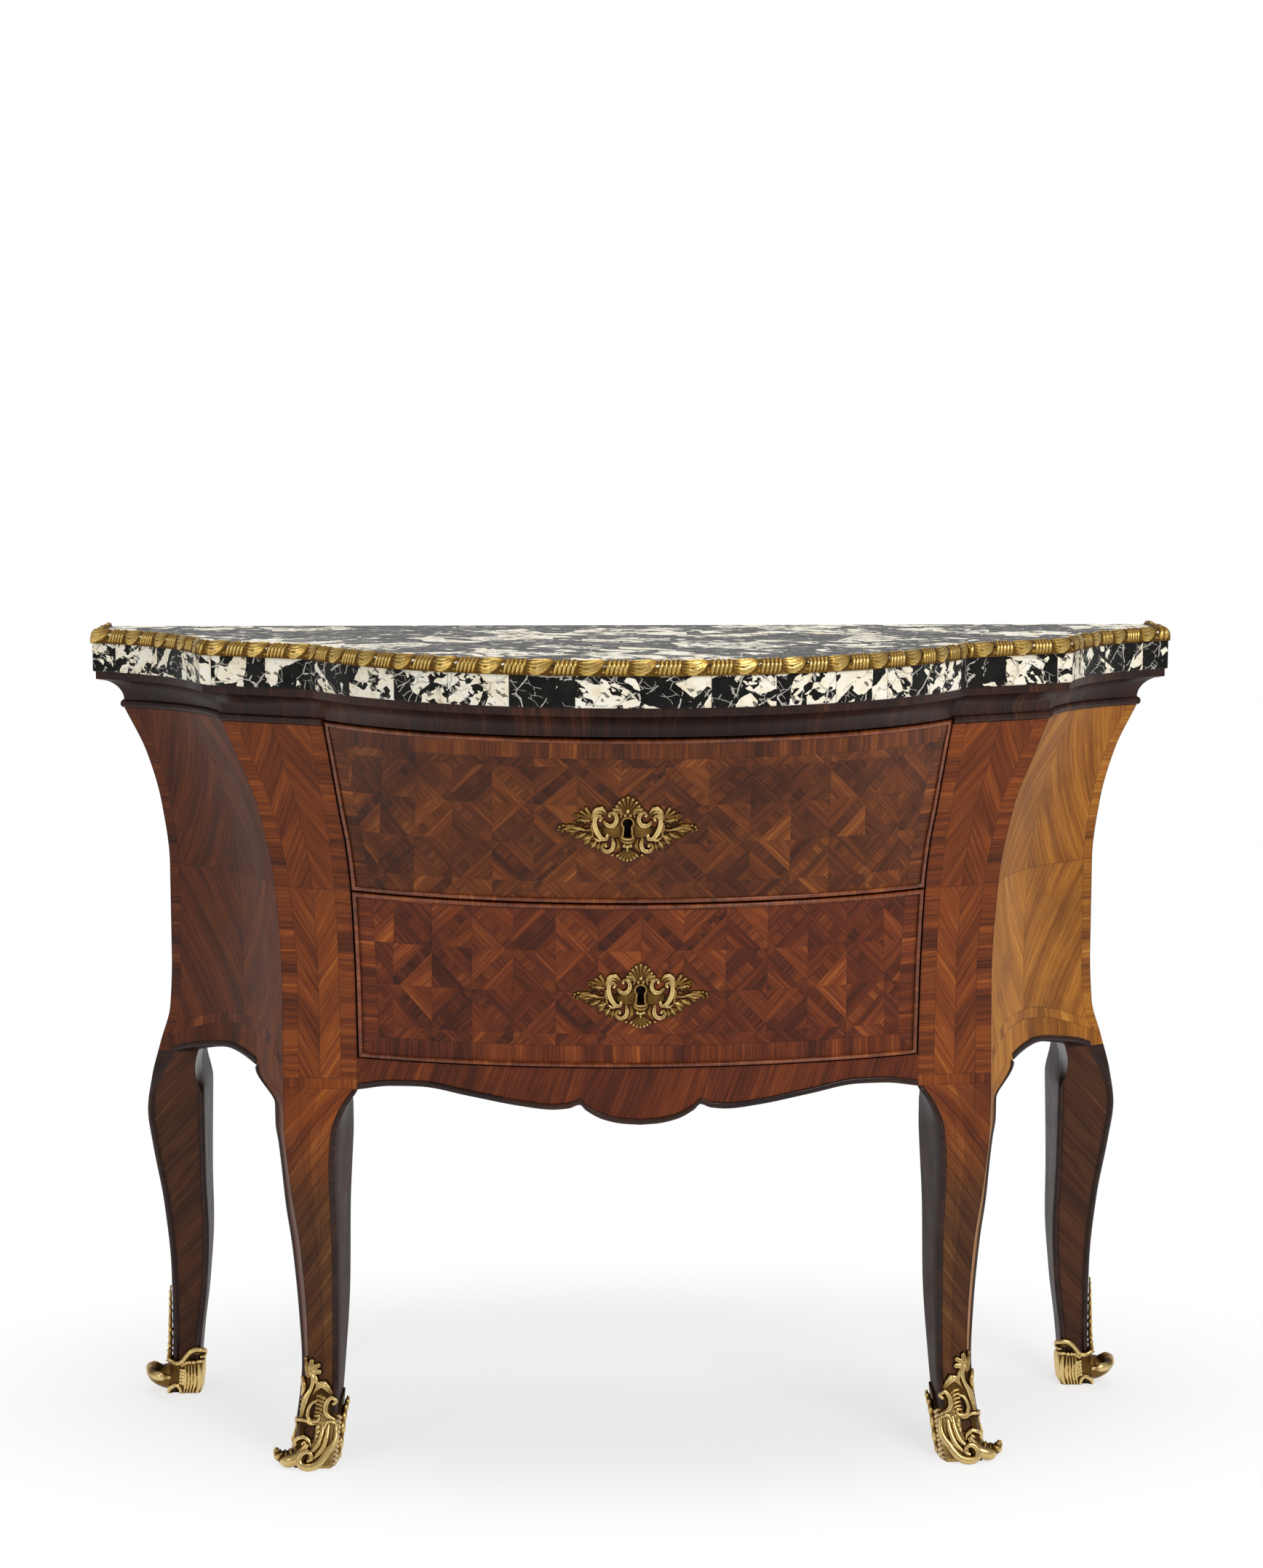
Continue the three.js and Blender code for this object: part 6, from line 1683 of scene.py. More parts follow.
def drawer_front(level, drawer):
    low = drawer.base + COCK_BEAD
    high = drawer.head - COCK_BEAD
    z = np.linspace(low, high, 44)[:, None]
    across = np.linspace(-1, 1, 97)[None, :]
    x = front_half(z) * across
    z = z + 0 * x
    plan = case_plan(z)
    run = bow_run(plan.stile, plan.stile_f, plan.bow, x)
    run_end = bow_run(plan.stile, plan.stile_f, plan.bow, front_half(z))
    up = bow_up(z)
    far_end = bow_up(high) - up if drawer.proud_edge > 0 else up - bow_up(low)
    pattern = (run - drawer.pattern_x, up - bow_up(drawer.pattern_z))
    outer = place(x, front_face(x, z), z)
    inner = place(x, inside_face(drawer, x, z), z)
    skin = Skin(f"front_{level}")
    skin.shell(outer, inner, pattern, (run_end - abs(run), far_end))
    piece = skin.build([MATERIALS[f"drawer_{level}"], MATERIALS["carcass_x"]])
    tools = [cutter(*keyhole_ring(drawer), drawer.face - 2 * LOCK_DEPTH, TOP_DEPTH)]
    half = LOCK_WIDTH / 2 + FIT
    bed_x = drawer.lock_x + np.array([-half, half, half, -half])
    bed_low = drawer.lock_top - LOCK_HEIGHT - 2 * FIT
    bed_z = np.array([bed_low, bed_low, drawer.head + 1, drawer.head + 1])
    tools.append(cutter(bed_x, bed_z, drawer.face - 2 * LOCK_DEPTH, drawer.face))
    cut_away(piece, tools)
    settle(piece, f"{level}_drawer", "veneer", f"{level}_drawer_front")


def cock_bead(level, drawer):
    low = drawer.base + COCK_BEAD
    high = drawer.head - COCK_BEAD
    columns = np.linspace(-1, 1, 81)[1:-1]
    rows = np.linspace(low, high, 40)[1:-1]
    # Round the front: side, level, which way the bead stands off it, and share of the half width
    stations = [
        (-1, low, -1, 0), *((0, low, -1, share) for share in columns), (1, low, -1, 0),
        *((1, row, 0, 0) for row in rows), (1, high, 1, 0),
        *((0, high, 1, -share) for share in columns), (-1, high, 1, 0),
        *((-1, row, 0, 0) for row in rows[::-1]),
    ]
    ups, outs = bead_round()
    rings = []
    for hand, z, rise, share in stations:
        swell = drawer.proud if rise and rise == drawer.proud_edge else 1
        ring = []
        for up, out in zip(ups, outs):
            at_z = z + rise * COCK_BEAD * up
            at_x = hand * (front_half(at_z) + COCK_BEAD * up) if hand else share * front_half(z)
            depth = out * COCK_BEAD_DEPTH if out < 0 else out * COCK_BEAD_PROUD * swell
            ring.append(place(at_x, front_face(at_x, at_z) + depth, at_z))
        rings.append(ring)
    rings = np.array(rings)
    rings = np.concatenate([rings, rings[:1]])
    distance = running(rings[:, 4])[:, None] / MM
    skin = Skin(f"bead_{level}")
    skin.sheet(rings, (distance, ups[None, :] * COCK_BEAD), NO_EDGE, closed=True)
    piece = skin.build([MATERIALS["cock"]], BEAD_SMOOTH_ANGLE)
    settle(piece, f"{level}_drawer", "dark_wood", f"{level}_drawer_bead")


# Escutcheons. Strokes are for the right half, in millimetres about the middle of the plate.
def escutcheon_relief():
    plate = Relief(-PLATE_HALF_WIDTH, PLATE_HALF_WIDTH, -PLATE_HALF_HEIGHT, PLATE_HALF_HEIGHT, PLATE_STEP)
    # Grounds: low plates that the ornament stands on
    plate.stroke([(0, 4), (0, -12)], 10.5, 0.7, 0.03, band_profile)
    plate.stroke([(6, 0), (26, -4)], [9, 5], 0.6, 0.05, band_profile)
    plate.stroke([(0, 24), (0, 25)], 11, 0.5, 0.06, band_profile)
    # Crowning shell
    plate.fan(0, 16.5, 4, 18.6, 2, 178, 11, 1.75, 0.9, 0.74)
    plate.stroke([(-13.5, 19.5), (-6, 16.5), (0, 16), (6, 16.5), (13.5, 19.5)], 1.0, 1.0)
    plate.ball(0, 19.5, 2.1, 1.6)
    plate.ball(2.7, 14.6, 1.9, 1.2)
    plate.stroke([(14.6, 21.6), (9.5, 21.4), (6.6, 17.5), (7.3, 12.5)], [1.9, 1.7, 1.4], 1.0)
    # Scrolls above
    plate.stroke(
        [(24.8, 7.5), (21, 3.6), (15.5, 3.6), (12, 8.2), (12, 13.5), (14.8, 17.4), (18.6, 17.2),
         (20, 14.6)],
        [1.5, 2.5, 2.8, 2.6, 2.3, 1.9, 1.4], 1.2, 1.0, band_profile,
    )
    plate.ball(19.0, 14.4, 1.9, 1.8)
    # Great scrolls at the sides
    plate.stroke(
        [(28.2, 9), (27.6, 12.4), (31.2, 14.2), (34.4, 9.6), (34, 1.5), (31, -6), (27, -11.4),
         (22.6, -12.2), (20.8, -9)],
        [1.5, 1.9, 2.4, 3.0, 3.2, 2.9, 2.3, 1.7], 1.3, 1.0, band_profile,
    )
    plate.ball(28.8, 9.6, 1.9, 1.9)
    plate.ball(21.4, -8.6, 2.1, 1.8)
    plate.stroke([(35, -11.4), (30.6, -14), (25.4, -13.6)], [1.2, 1.9, 1.1], 1.5)
    # Ribbed panels beside the keyhole
    for k in range(6):
        high = 2.8 - 2.4 * k
        plate.stroke([(8.2, high), (15, high * 0.8 - 2.4), (25, high * 0.45 - 2.2)], [1.0, 1.15, 0.6], 0.9)
    # Frame of the keyhole
    turn = np.radians(np.linspace(90, -48, 12))
    ring = [(6.2 * math.cos(a), KEYHOLE_RISE + 6.2 * math.sin(a)) for a in turn]
    plate.stroke(ring + [(4.6, -2.6), (4.8, -7), (6.4, -11.4)], 1.2, 1.5, 0.9)
    plate.stroke([(0, -12.6), (3.6, -12.3), (6.6, -11)], [1.7, 1.6, 1.1], 1.4)
    plate.stroke([(0, -16.6), (3.6, -16), (7.4, -13.8)], [1.9, 1.7, 1.2], 0.9)
    # Pendant under it
    plate.ball(3.4, -20.4, 2.2, 1.1)
    plate.ball(0, -21.6, 2.2, 1.3)
    plate.ball(0, -25.2, 1.5, 1.8)
    plate.stroke([(11.2, -13.4), (9.4, -20.5), (13.2, -27.2)], [1.2, 2.3, 1.3], 0.9, 0.9, leaf_profile)
    # Lower scrolls
    plate.stroke(
        [(15.6, -12), (14.6, -19), (17.2, -25), (23, -26.4), (26.6, -22.4), (25.2, -18.2), (22.2, -18.6)],
        [1.4, 2.4, 2.7, 2.5, 2.1, 1.6, 1.2], 1.2, 1.0, band_profile,
    )
    plate.ball(22.6, -20.4, 1.9, 1.7)
    # Shell at the foot
    plate.stroke([(0, -29), (0, -30)], 7.5, 0.5, 0.06, band_profile)
    plate.fan(0, -24.6, 3, 12.4, 214, 326, 7, 1.7, 0.9, 0.98)
    plate.ball(15.6, -31, 2.0, 0.9)
    plate.ball(11, -33, 1.6, 0.8)
    # Crest of leaves over the great scroll
    crest = [(22.6, 17), (27.4, 22.4), (33.6, 21), (37.8, 13.6)]
    plate.stroke(crest, [1.2, 2.5, 2.4, 1.0], 1.3, 1.0, leaf_profile)
    plate.stroke([(24.6, 15), (30, 18.6), (35, 15.4), (38.4, 8.4)], [1.0, 2.0, 2.0, 1.0], 1.0)
    plate.stroke([(26, 20.5), (31.5, 23), (36, 19)], [0.8, 1.4, 0.8], 2.2)
    for tip, size in (((43.6, 21.8), 2.3), ((48.6, 18.4), 2.1), ((40.6, 18.6), 1.7), ((52.4, 14.4), 1.7)):
        plate.stroke([(38.4, 10.4), tip], [1.0, size], 0.8, 0.85)
    plate.scroll(54.6, 14.4, 3.4, 200, 0.9, 1.3, 0.7, round_profile)
    plate.leaf(40, 8, 8, 13, 3.2, 0.6, 3)
    # Lobes on the outer side of the great scroll
    for k in range(5):
        plate.ball(37.4 + 0.7 * math.sin(k * 1.3), 5 - 2.9 * k, 1.9, 0.8)
    # Arms that reach to the tips
    plate.fan(50, 0.6, 3, 8.2, 15, 165, 6, 1.35, 0.6, 0.95)
    plate.stroke([(38, -2), (45, -2.6), (52, -0.6), (60, 0.4), (66, -0.6)], [1.3, 1.7, 2.1, 1.7, 1.1], 0.9)
    plate.leaf(52, -2.6, -14, 13, 3.0, 0.5, 3, 12)
    plate.stroke([(57, 2.8), (62.4, 2.2), (66.6, 1.8)], [1.0, 1.7, 1.1], 0.8)
    plate.leaf(60, -1.6, -6, 10, 2.6, 0.6, 2)
    for x, y, size in (
        (68, 2.2, 1.8), (71.6, 0.6, 1.9), (72.8, -2.8, 1.7), (68.6, -4.6, 1.6), (65.6, -1.2, 1.8),
    ):
        plate.ball(x, y, size, 0.8)
    # Leaves that hang below
    for x, y, angle, length, size in (
        (36, -9, -22, 12, 3.4), (44, -6, -34, 11, 3.2), (33, -15, -60, 10, 3.4), (39.6, -12.6, -50, 9, 3.0),
        (49, -8.6, -28, 8, 2.6), (29.4, -17.4, -78, 9, 2.8), (55, -6.2, -20, 7, 2.2),
    ):
        plate.leaf(x, y, angle, length, size, 0.6, 3)
    plate.mirror()
    a, b = np.meshgrid(plate.a, plate.b)
    half = KEYHOLE_SLOT / 2
    slot = (np.abs(a) < half * mix(1, KEYHOLE_SPREAD, (KEYHOLE_RISE - b) / KEYHOLE_DROP))
    slot &= (b < KEYHOLE_RISE) & (b > KEYHOLE_RISE - KEYHOLE_DROP)
    plate.carve(slot | (np.hypot(a, b - KEYHOLE_RISE) < KEYHOLE_RADIUS))
    return plate


def escutcheons():
    plate = escutcheon_relief()
    for level, drawer in DRAWERS.items():

        def surface(a, b, out):
            return drawer_face(drawer.lock_x + a, drawer.plate + b, out)

        piece = relief_skin(f"mount_{level}", plate, surface).build([MATERIALS["gilt_worn_and_shaded"]], None)
        settle(piece, f"{level}_drawer", "gilt_bronze", f"{level}_escutcheon")


# Sabots: a chased shell round the foot, in millimetres round from the front outer corner and up
def front_foot(z):
    return [
        (across_case(LEG_REAR_WIDTH_SHARES, z), forward_case(LEG_REAR_DEPTH_SHARES, z)),
        (across_case(RIDGE_WIDTH_SHARES, z), forward_case(RIDGE_DEPTH_SHARES, z)),
        (across_case(STILE_WIDTH_SHARES, z), forward_case(STILE_DEPTH_SHARES, z)),
        (across_case(LEG_INNER_WIDTH_SHARES, z), forward_case(LEG_REAR_DEPTH_SHARES, z) + LEG_TWIST),
    ]


def back_foot(z):
    outer, inner = across_case(FLANK_WIDTH_SHARES, z), across_case(BACK_LEG_INNER_SHARES, z)
    front = forward_case(BACK_LEG_FRONT_SHARES, z)
    rear = np.maximum(BACK_INSET, forward_case(BACK_LEG_REAR_SHARES, z))
    return [(outer, rear), (outer, front), (inner, front), (inner, rear)]


def foot_surface(foot, lengths, hand):
    """Places a distance round a foot, a height and a distance off the wood."""
    starts = np.concatenate([[-lengths[0], 0], np.cumsum(lengths[1:])])

    def surface(round_foot, z, out):
        corners = foot(np.maximum(z, LEG_FOOT))
        points, normals = [], []
        for k, length in enumerate(lengths):
            (x0, f0), (x1, f1) = corners[k], corners[k + 1]
            share = (round_foot - starts[k]) / length
            size = np.hypot(x1 - x0, f1 - f0)
            points.append((mix(x0, x1, share), mix(f0, f1, share)))
            normals.append(((f1 - f0) / size, (x0 - x1) / size))
        x, forward = points[0]
        nx, nf = normals[0]
        for k in range(1, len(lengths)):
            past = round_foot > starts[k]
            x = np.where(past, points[k][0], x)
            forward = np.where(past, points[k][1], forward)
            turned = np.clip((round_foot - starts[k]) / (2 * CORNER_ROUNDING) + 0.5, 0, 1)
            nx = mix(nx, normals[k][0], turned)
            nf = mix(nf, normals[k][1], turned)
        size = np.hypot(nx, nf)
        out = out + SABOT_CLEARANCE
        return place((x + nx / size * out) * hand, forward + nf / size * out, z)

    return surface


def front_sabot_relief():
    shoe = Relief(-36, 72, 0, 122, SABOT_STEP)
    shoe.ground([(-36, 0), (-36, 28), (-24, 36), (-12, 48), (-6, 60), (-5, 88), (-2, 96), (6, 96), (12, 90),
                 (26, 90), (32, 80), (37, 60), (42, 50), (52, 50), (60, 66), (72, 74), (72, 0)], 1.7)
    shoe.ground([(17, 52), (26, 56), (38, 50), (41, 30), (38, 0), (10, 0), (13, 16), (17, 30)], 3.4)
    # Trefoil and stem
    shoe.stroke([(2, 96), (0, 106), (-0.5, 117)], [1.8, 2.2, 1.2], 1.6)
    shoe.ball(-0.5, 116, 1.9, 1.8)
    shoe.stroke([(2.5, 100), (4.6, 107), (5.6, 113)], [2.2, 3.4, 3.2], 1.6, 0.9, leaf_profile)
    shoe.stroke([(4, 101), (9, 106.6), (14, 109)], [1.8, 3.2, 2.8], 1.8, 0.9, leaf_profile)
    shoe.stroke([(4, 100), (10, 101.6), (15, 102)], [1.8, 3.0, 2.8], 2.2, 0.9, leaf_profile)
    stem = [(4, 101), (7, 94), (5.5, 84), (2, 74), (0.5, 62), (0, 54)]
    shoe.stroke(stem, [2.4, 3.4, 3.2, 3.0, 2.6, 1.8], 1.8)
    shoe.stroke([(7, 100), (11, 94), (12.4, 86), (9, 78)], [1.6, 2.6, 2.2, 1.4], 1.8)
    for k, z in enumerate((70, 65, 60)):
        shoe.ball(-5.5, z, 2.2 - 0.2 * k, 1.8)
    # Leaf band to the inner knob
    shoe.ball(22, 89, 3.8, 1.8)
    shoe.stroke([(11, 82), (17, 88), (24, 86), (31, 79)], [2.4, 4.2, 4.0, 2.2], 1.6, 0.85, leaf_profile)
    # Striated shell, the tear-shaped opening and the square one
    for k in range(7):
        z = 76 - 4.2 * k
        shoe.stroke([(14, z), (20, z - 1.2), (27 + 0.6 * k, z - 5.0)], [1.6, 2.0, 1.3], 1.8)
    shoe.opening(10.6, 60, 2.9, 8.2, -6)
    shoe.carve_box(5, 16.5, 31, 44.5)
    for a, z in ((19.5, 43), (20.5, 38), (19.5, 33)):
        shoe.ball(a, z, 2.4, 2.2)
    shoe.stroke([(-2, 22), (-1, 29), (4.5, 33), (11, 29.5), (14.5, 23)], [1.6, 2.2, 2.4, 2.2, 1.6], 3.0)
    shoe.ball(6, 26, 3.4, 2.2)
    # Inner side
    for k in range(11):
        z = 48 - 5 * k
        shoe.stroke([(39, z + 7), (50, z + 1), (64, z - 4)], [1.8, 2.8, 2.0], 1.8)
    # Leaves on the outer side
    for a, z, length in ((-11, 46, 12), (-18, 34, 12), (-27, 26, 10), (-13, 26, 12), (-22, 14, 10)):
        shoe.leaf(a, z, -115, length, 5.0, 1.4, 3)
    return shoe


def back_sabot_relief():
    shoe = Relief(-38, 70, 0, 60, SABOT_STEP)
    shoe.ground([(-38, 0), (-38, 32), (-20, 36), (-6, 44), (0, 42), (5, 37), (12, 38), (18, 46),
                 (25, 52), (34, 52), (42, 44), (56, 36), (70, 30), (70, 0)], 2.4)
    shoe.opening(25, 43.6, 6.6, 3.0, 6)
    # Fan of flutes, scalloped at the left
    for k in range(6):
        a = 14 + 3.6 * k
        line = [(a + 1.4, 34 + 0.4 * k), (a + 2.6, 22), (a + 3.0, 11), (a + 1.6, 1.5)]
        shoe.stroke(line, [0.9, 1.7, 1.9, 1.2], 2.6, 1.4)
    for z in (29, 25, 21, 17, 13):
        shoe.stroke([(10.4, z), (14, z - 1.2), (19, z - 6)], [2.1, 1.7, 0.9], 3.0)
    # Arch at the floor
    shoe.opening(5.4, 0, 4.2, 6.8)
    shoe.stroke([(-1.2, 0), (0, 6), (5, 10.4), (10.4, 7), (12.4, 0)], [1.6, 2.2, 2.5, 2.2, 1.6], 3.0)
    # Inner side
    for k in range(7):
        line = [(38 + 4.2 * k, 42 - 2 * k), (40 + 4 * k, 22), (39 + 3.8 * k, 2)]
        shoe.stroke(line, [1.2, 1.8, 1.4], 2.6, 1.3)
    return shoe


def strand(skin, surface, line, radii, ribs=0, rib_depth=0.12):
    """A rounded bar: its line holds distances round the foot, heights and distances off the wood."""
    route = curve_through(np.array(line, float))
    points = surface(*route.T) / MM
    outwards = surface(*(route + [0, 0, 1]).T) / MM - points
    tangent = np.gradient(points, axis=0)
    tangent /= np.linalg.norm(tangent, axis=1, keepdims=True)
    across = [np.cross(tangent[0], STRAND_GUIDE)]
    for heading in tangent:
        carried = across[-1] - heading * (across[-1] @ heading)
        across.append(carried / np.linalg.norm(carried))
    across = np.array(across[1:])
    at = np.linspace(0, 1, len(points))
    radii = np.interp(at, np.linspace(0, 1, len(radii)), radii)
    radii = radii * (1 + rib_depth * np.cos(2 * np.pi * ribs * at)) if ribs else radii
    angles = np.linspace(0, 2 * np.pi, STRAND_SIDES, endpoint=False)[None, :, None]
    ring = np.cos(angles) * across[:, None] + np.sin(angles) * np.cross(across, tangent)[:, None]
    rings = points[:, None] + ring * radii[:, None, None]
    rings[..., 2] = np.maximum(rings[..., 2], 0)
    # A bar is painted lighter on its side away from the wood and darker on the side against it, and its
    # ribs lighter on the crests than in the grooves: painted light and shade
    rib_shade = np.cos(2 * np.pi * ribs * at)[:, None] * RIB_SHADING if ribs else 0
    skin.loft(rings * MM, relief=0.46 + 0.4 * (ring * outwards[:, None]).sum(-1) + rib_shade)


FRONT_STRANDS = [
    # Flutes that sweep down to the front scroll
    ([(38, 46, 3), (38, 32, 5), (34, 18, 8), (26, 8, 11), (16, 4.6, 12.5), (7, 7, 13), (4, 13.5, 13),
      (8, 20, 13), (15, 20, 13.5), (18, 14, 14), (13.5, 11, 14.5)],
     [2.4, 3.8, 4.4, 4.8, 4.8, 4.4, 4.0, 3.5, 3.0, 2.4, 2.0], 0, 0),
    ([(32, 47, 2.5), (31.5, 33, 5), (28, 21, 8), (20, 13, 10.5)], [2.0, 3.5, 3.8, 2.2], 0, 0),
    ([(26, 48, 2), (25.5, 37, 4.5), (22.5, 26, 7.5), (16, 19, 10)], [1.8, 3.1, 3.4, 2.0], 0, 0),
    # Middle toe and the ringed outer toe
    ([(10, 24, 3), (5, 16, 8), (0, 9.5, 11), (-3, 7, 12.5), (-4, 6.5, 14)], [4.5, 6.4, 7.2, 6, 2], 0, 0),
    ([(-7, 12, -4), (-7, 9.5, 3), (-7, 9, 10), (-6.5, 10.5, 16), (-6, 14, 20), (-6, 18, 21.6)],
     [9, 9, 8.6, 7.6, 6, 3], 4, 0.12),
    ([(-6, 10, 20), (-6, 15, 23), (-6, 20.5, 23)], [3, 3.2, 2.2], 0, 0),
    # Level curl with its outer head
    ([(-9, 46, 3), (-5, 49.5, 4.5), (0, 51, 4), (6, 49.6, 3.5), (11, 46.6, 3), (16, 46, 2)],
     [3.6, 3.0, 2.4, 2.3, 2.1, 1.2], 0, 0),
    # Scrolls of the tear-shaped opening and of the inner edge
    ([(15, 71, 2.5), (9, 68, 3), (6, 60, 3.5), (8, 52, 3.5), (14, 49, 3.5), (19.5, 51, 3.5),
      (20, 55.4, 4), (17, 56, 4)], [1.4, 2.1, 2.5, 2.6, 2.5, 2.2, 1.9, 1.5], 0, 0),
    ([(38, 46, 3), (36, 52, 3.5), (30, 56, 4), (26.4, 62, 4.5), (27, 70, 4.5), (32, 75, 4.5),
      (36.4, 72, 4.5), (34.6, 67.6, 5)], [2.2, 2.8, 3.2, 3.4, 3.1, 2.8, 2.3, 1.8], 0, 0),
    ([(28, 43, 5), (30, 49, 6), (35, 50.5, 6), (38.5, 46, 6)], [1.5, 2.3, 2.3, 1.5], 0, 0),
    # Scroll at the outer edge, and the leaf at the inner rear edge
    ([(-4, 74, 2.5), (-0.5, 80, 4), (0, 88, 4.5), (-3, 94.5, 4.5), (-6.5, 92, 4.5)],
     [1.6, 2.4, 2.9, 2.6, 1.9], 0, 0),
    ([(60, 4, 3), (61, 22, 3.4), (62, 40, 3.8), (64, 52, 4.6), (66, 61, 6), (66, 67, 7)],
     [3.2, 4, 3.8, 3.4, 2.8, 1.6], 6, 0.16),
]
BACK_STRANDS = [
    # Rim and crossbar
    ([(-6, 47, 4), (-1, 42, 4.5), (5, 37.4, 5), (11, 39, 5), (15.5, 45, 5), (21, 51.4, 5), (28, 54, 5),
      (33.5, 51, 5), (34, 46, 5), (30, 45, 5.4)], [2.2, 2.5, 2.8, 2.8, 3, 3.2, 3.2, 2.8, 2.3, 1.7], 0, 0),
    ([(11, 34, 5), (17, 38, 5), (25, 38.4, 5), (36, 40.5, 4.5)], [1.6, 2.2, 2.2, 1.6], 6, 0.15),
    # Broad outer toe and its ringed head
    ([(-15, 17, -8), (-15, 16.5, 1), (-15, 16.5, 9), (-14.5, 19, 17), (-14, 24, 22), (-13, 29, 24.5),
      (-13, 33, 25)], [18, 16.5, 14.5, 12.5, 11, 8.8, 4], 0, 0),
    ([(-12, 25, 22), (-7, 26, 23), (-3, 26.6, 24), (1, 27, 24.5), (3, 27, 24.6)],
     [9, 8, 6.6, 4.6, 1.6], 4, 0.1),
    # Leafy strip up the outer edge
    ([(-3, 38, 4), (-2.5, 60, 3), (-2.5, 95, 2.4), (-2.5, 131, 1.4)], [3.4, 2.8, 2.2, 1.0], 14, 0.3),
] + [
    ([(-3, 44 + 8 * k, 2), (-6, 48 + 8 * k, 4.6 - 0.2 * k), (-5, 51.5 + 8 * k, 6 - 0.35 * k)],
     [1.4, 2.5 - 0.12 * k, 1.2], 0, 0)
    for k in range(10)
]


def sabots():
    feet = (
        ("front", front_foot, front_sabot_relief(), FRONT_STRANDS, FRONT_TONES),
        ("back", back_foot, back_sabot_relief(), BACK_STRANDS, BACK_TONES),
    )
    for end, foot, relief, strands, tones in feet:
        corners = np.array([[float(x), float(f)] for x, f in foot(np.array(LEG_FOOT))])
        lengths = np.linalg.norm(np.diff(corners, axis=0), axis=1)
        for side, hand in (("right", 1), ("left", -1)):
            surface = foot_surface(foot, lengths, hand)
            skin = relief_skin(f"shoe_{end}_{side}", relief, surface, *tones)
            # The sole takes a dark tone: painted shade
            sole = inset(np.vstack([corners, corners[:1]]), SABOT_CLEARANCE)[:4] * (hand, 1)
            skin.loft(np.stack([place(*sole.T, z) for z in (0.0, SOLE_THICKNESS)]), relief=0.1)
            for line, radii, ribs, rib_depth in strands:
                strand(skin, surface, line, radii, ribs, rib_depth)
            piece = skin.build([MATERIALS["gilt_worn_and_shaded"]], BEAD_SMOOTH_ANGLE)
            settle(piece, "case", "gilt_bronze", f"sabot_{end}_{side}")


# Interior nodes keep their solids and get wood or iron by the way their grain runs.
def dress_nodes():
    for name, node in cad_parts.items():
        if node.hide_render or "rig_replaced" in node:
            continue
        if "lock" in name:
            material = MATERIALS["iron"]
        else:
            low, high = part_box(name)
            material = MATERIALS["carcass_" + "xyz"[int(np.argmax(high - low))]]
        node.data.materials.clear()
        node.data.materials.append(material)


# Studio
def set_camera():
    data = bpy.data.cameras.new("camera")
    data.lens = LENS
    data.sensor_fit = "VERTICAL"
    data.sensor_height = SENSOR_HEIGHT
    camera = add_object("camera", data)
    camera.location = CAMERA_AT
    camera.rotation_euler = (math.pi / 2 - CAMERA_TILT, 0, CAMERA_TURN)
    bpy.context.scene.camera = camera


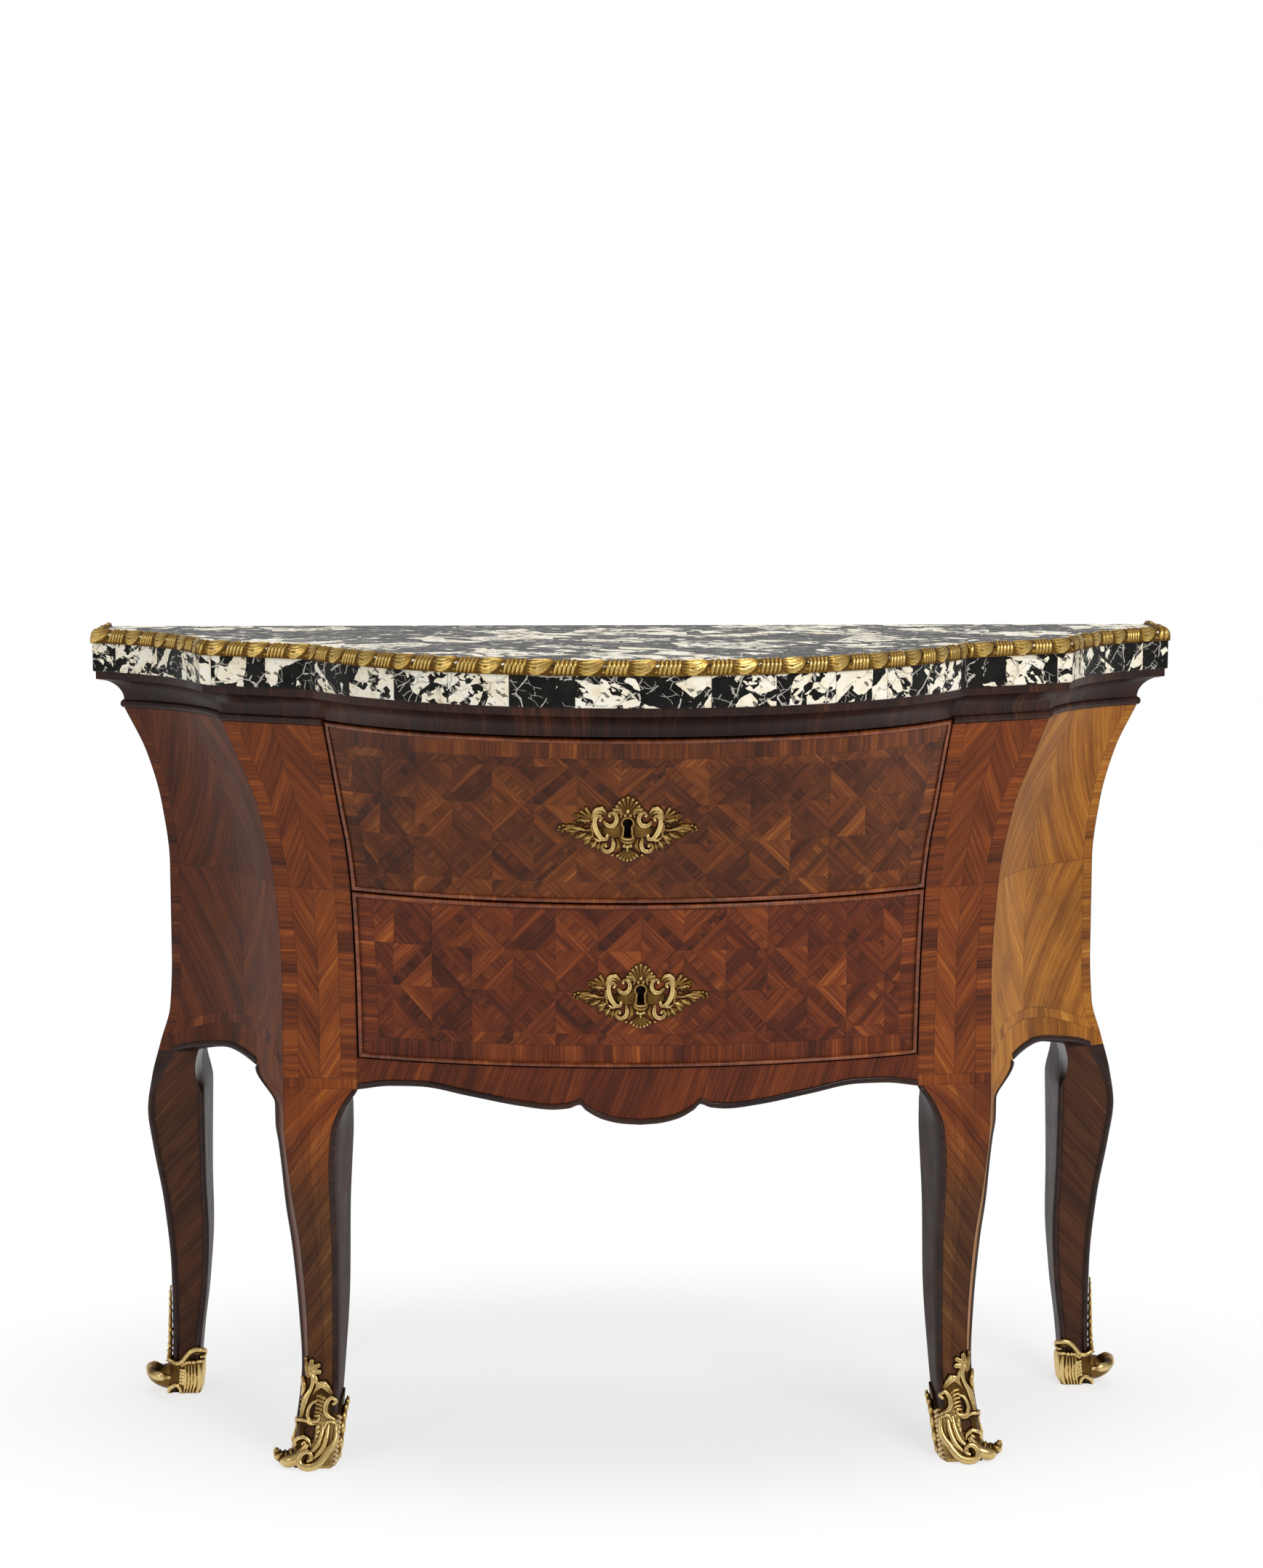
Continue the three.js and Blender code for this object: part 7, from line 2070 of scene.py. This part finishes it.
def lay_floor():
    """A pale floor that glows away to white round the chest and keeps its shadow near the feet."""
    graph = Graph("floor")
    x, y, _ = graph.place()
    aside, behind = x * FLOOR_NARROWING, y - FLOOR_MIDDLE
    radius = graph.math("SQRT", aside * aside + behind * behind)
    mottle = graph.noise(graph.vector(x, y), scale=3, detail=2)
    graph.finish(graph.blend(mottle * 0.04, *FLOOR_TONES), FLOOR_ROUGHNESS)
    path = graph.node("ShaderNodeLightPath")
    rays = [Signal(graph, path.outputs[f"Is {kind} Ray"]) for kind in ("Camera", "Glossy", "Transmission")]
    seen = rays[0].most(rays[1]).most(rays[2])
    glow = graph.node("ShaderNodeEmission")
    glow.inputs["Strength"].default_value = 1.0
    both = graph.node("ShaderNodeMixShader")
    lit = radius.ease(*FLOOR_FADE) * (1 - FLOOR_GLOW) + FLOOR_GLOW
    graph.plug(both.inputs[0], seen * lit)
    graph.plug(both.inputs[1], graph.shader.outputs[0])
    graph.plug(both.inputs[2], glow.outputs[0])
    output = next(node for node in graph.tree.nodes if node.type == "OUTPUT_MATERIAL")
    graph.plug(output.inputs["Surface"], both.outputs[0])
    half = FLOOR_SIZE / 2
    mesh = bpy.data.meshes.new("floor")
    corners = [(-half, -half, 0), (half, -half, 0), (half, half, 0), (-half, half, 0)]
    mesh.from_pydata(corners, [], [(0, 1, 2, 3)])
    mesh.materials.append(graph.material)
    add_object("floor", mesh)


def set_world():
    """White to the eye and through glass, and a softer white light on the chest."""
    world = bpy.data.worlds.new("world")
    world.use_nodes = True
    tree = world.node_tree
    tree.nodes.clear()
    path, dim, shown, either, both, output = (
        tree.nodes.new(f"ShaderNode{kind}")
        for kind in ("LightPath", "Background", "Background", "Math", "MixShader", "OutputWorld")
    )
    for background, strength in ((dim, WORLD_LIGHT), (shown, 1.0)):
        background.inputs["Color"].default_value = (1, 1, 1, 1)
        background.inputs["Strength"].default_value = strength
    either.operation = "MAXIMUM"
    for source, target in (
        (path.outputs["Is Camera Ray"], either.inputs[0]),
        (path.outputs["Is Transmission Ray"], either.inputs[1]),
        (either.outputs[0], both.inputs[0]),
        (dim.outputs[0], both.inputs[1]),
        (shown.outputs[0], both.inputs[2]),
        (both.outputs[0], output.inputs["Surface"]),
    ):
        tree.links.new(source, target)
    bpy.context.scene.world = world


def hang_lamps():
    for name, place_at, aim, size, power in LAMPS:
        data = bpy.data.lights.new(name, "AREA")
        data.shape = "RECTANGLE"
        data.size, data.size_y = size
        data.energy = power
        lamp = add_object(name, data)
        lamp.location = place_at
        direction = Vector(aim) - Vector(place_at)
        lamp.rotation_euler = direction.to_track_quat("-Z", "Y").to_euler()


for side, hand in (("right", 1), ("left", -1)):
    front_leg(side, hand)
    back_leg(side, hand)
    side_parts(side, hand)
apron()
marble_slab()
gilt_edges()
friezes()
for level, drawer in DRAWERS.items():
    drawer_front(level, drawer)
    cock_bead(level, drawer)
escutcheons()
sabots()
dress_nodes()
set_camera()
lay_floor()
set_world()
hang_lamps()
bpy.context.scene.view_settings.view_transform = "Standard"
bpy.context.view_layer.update()
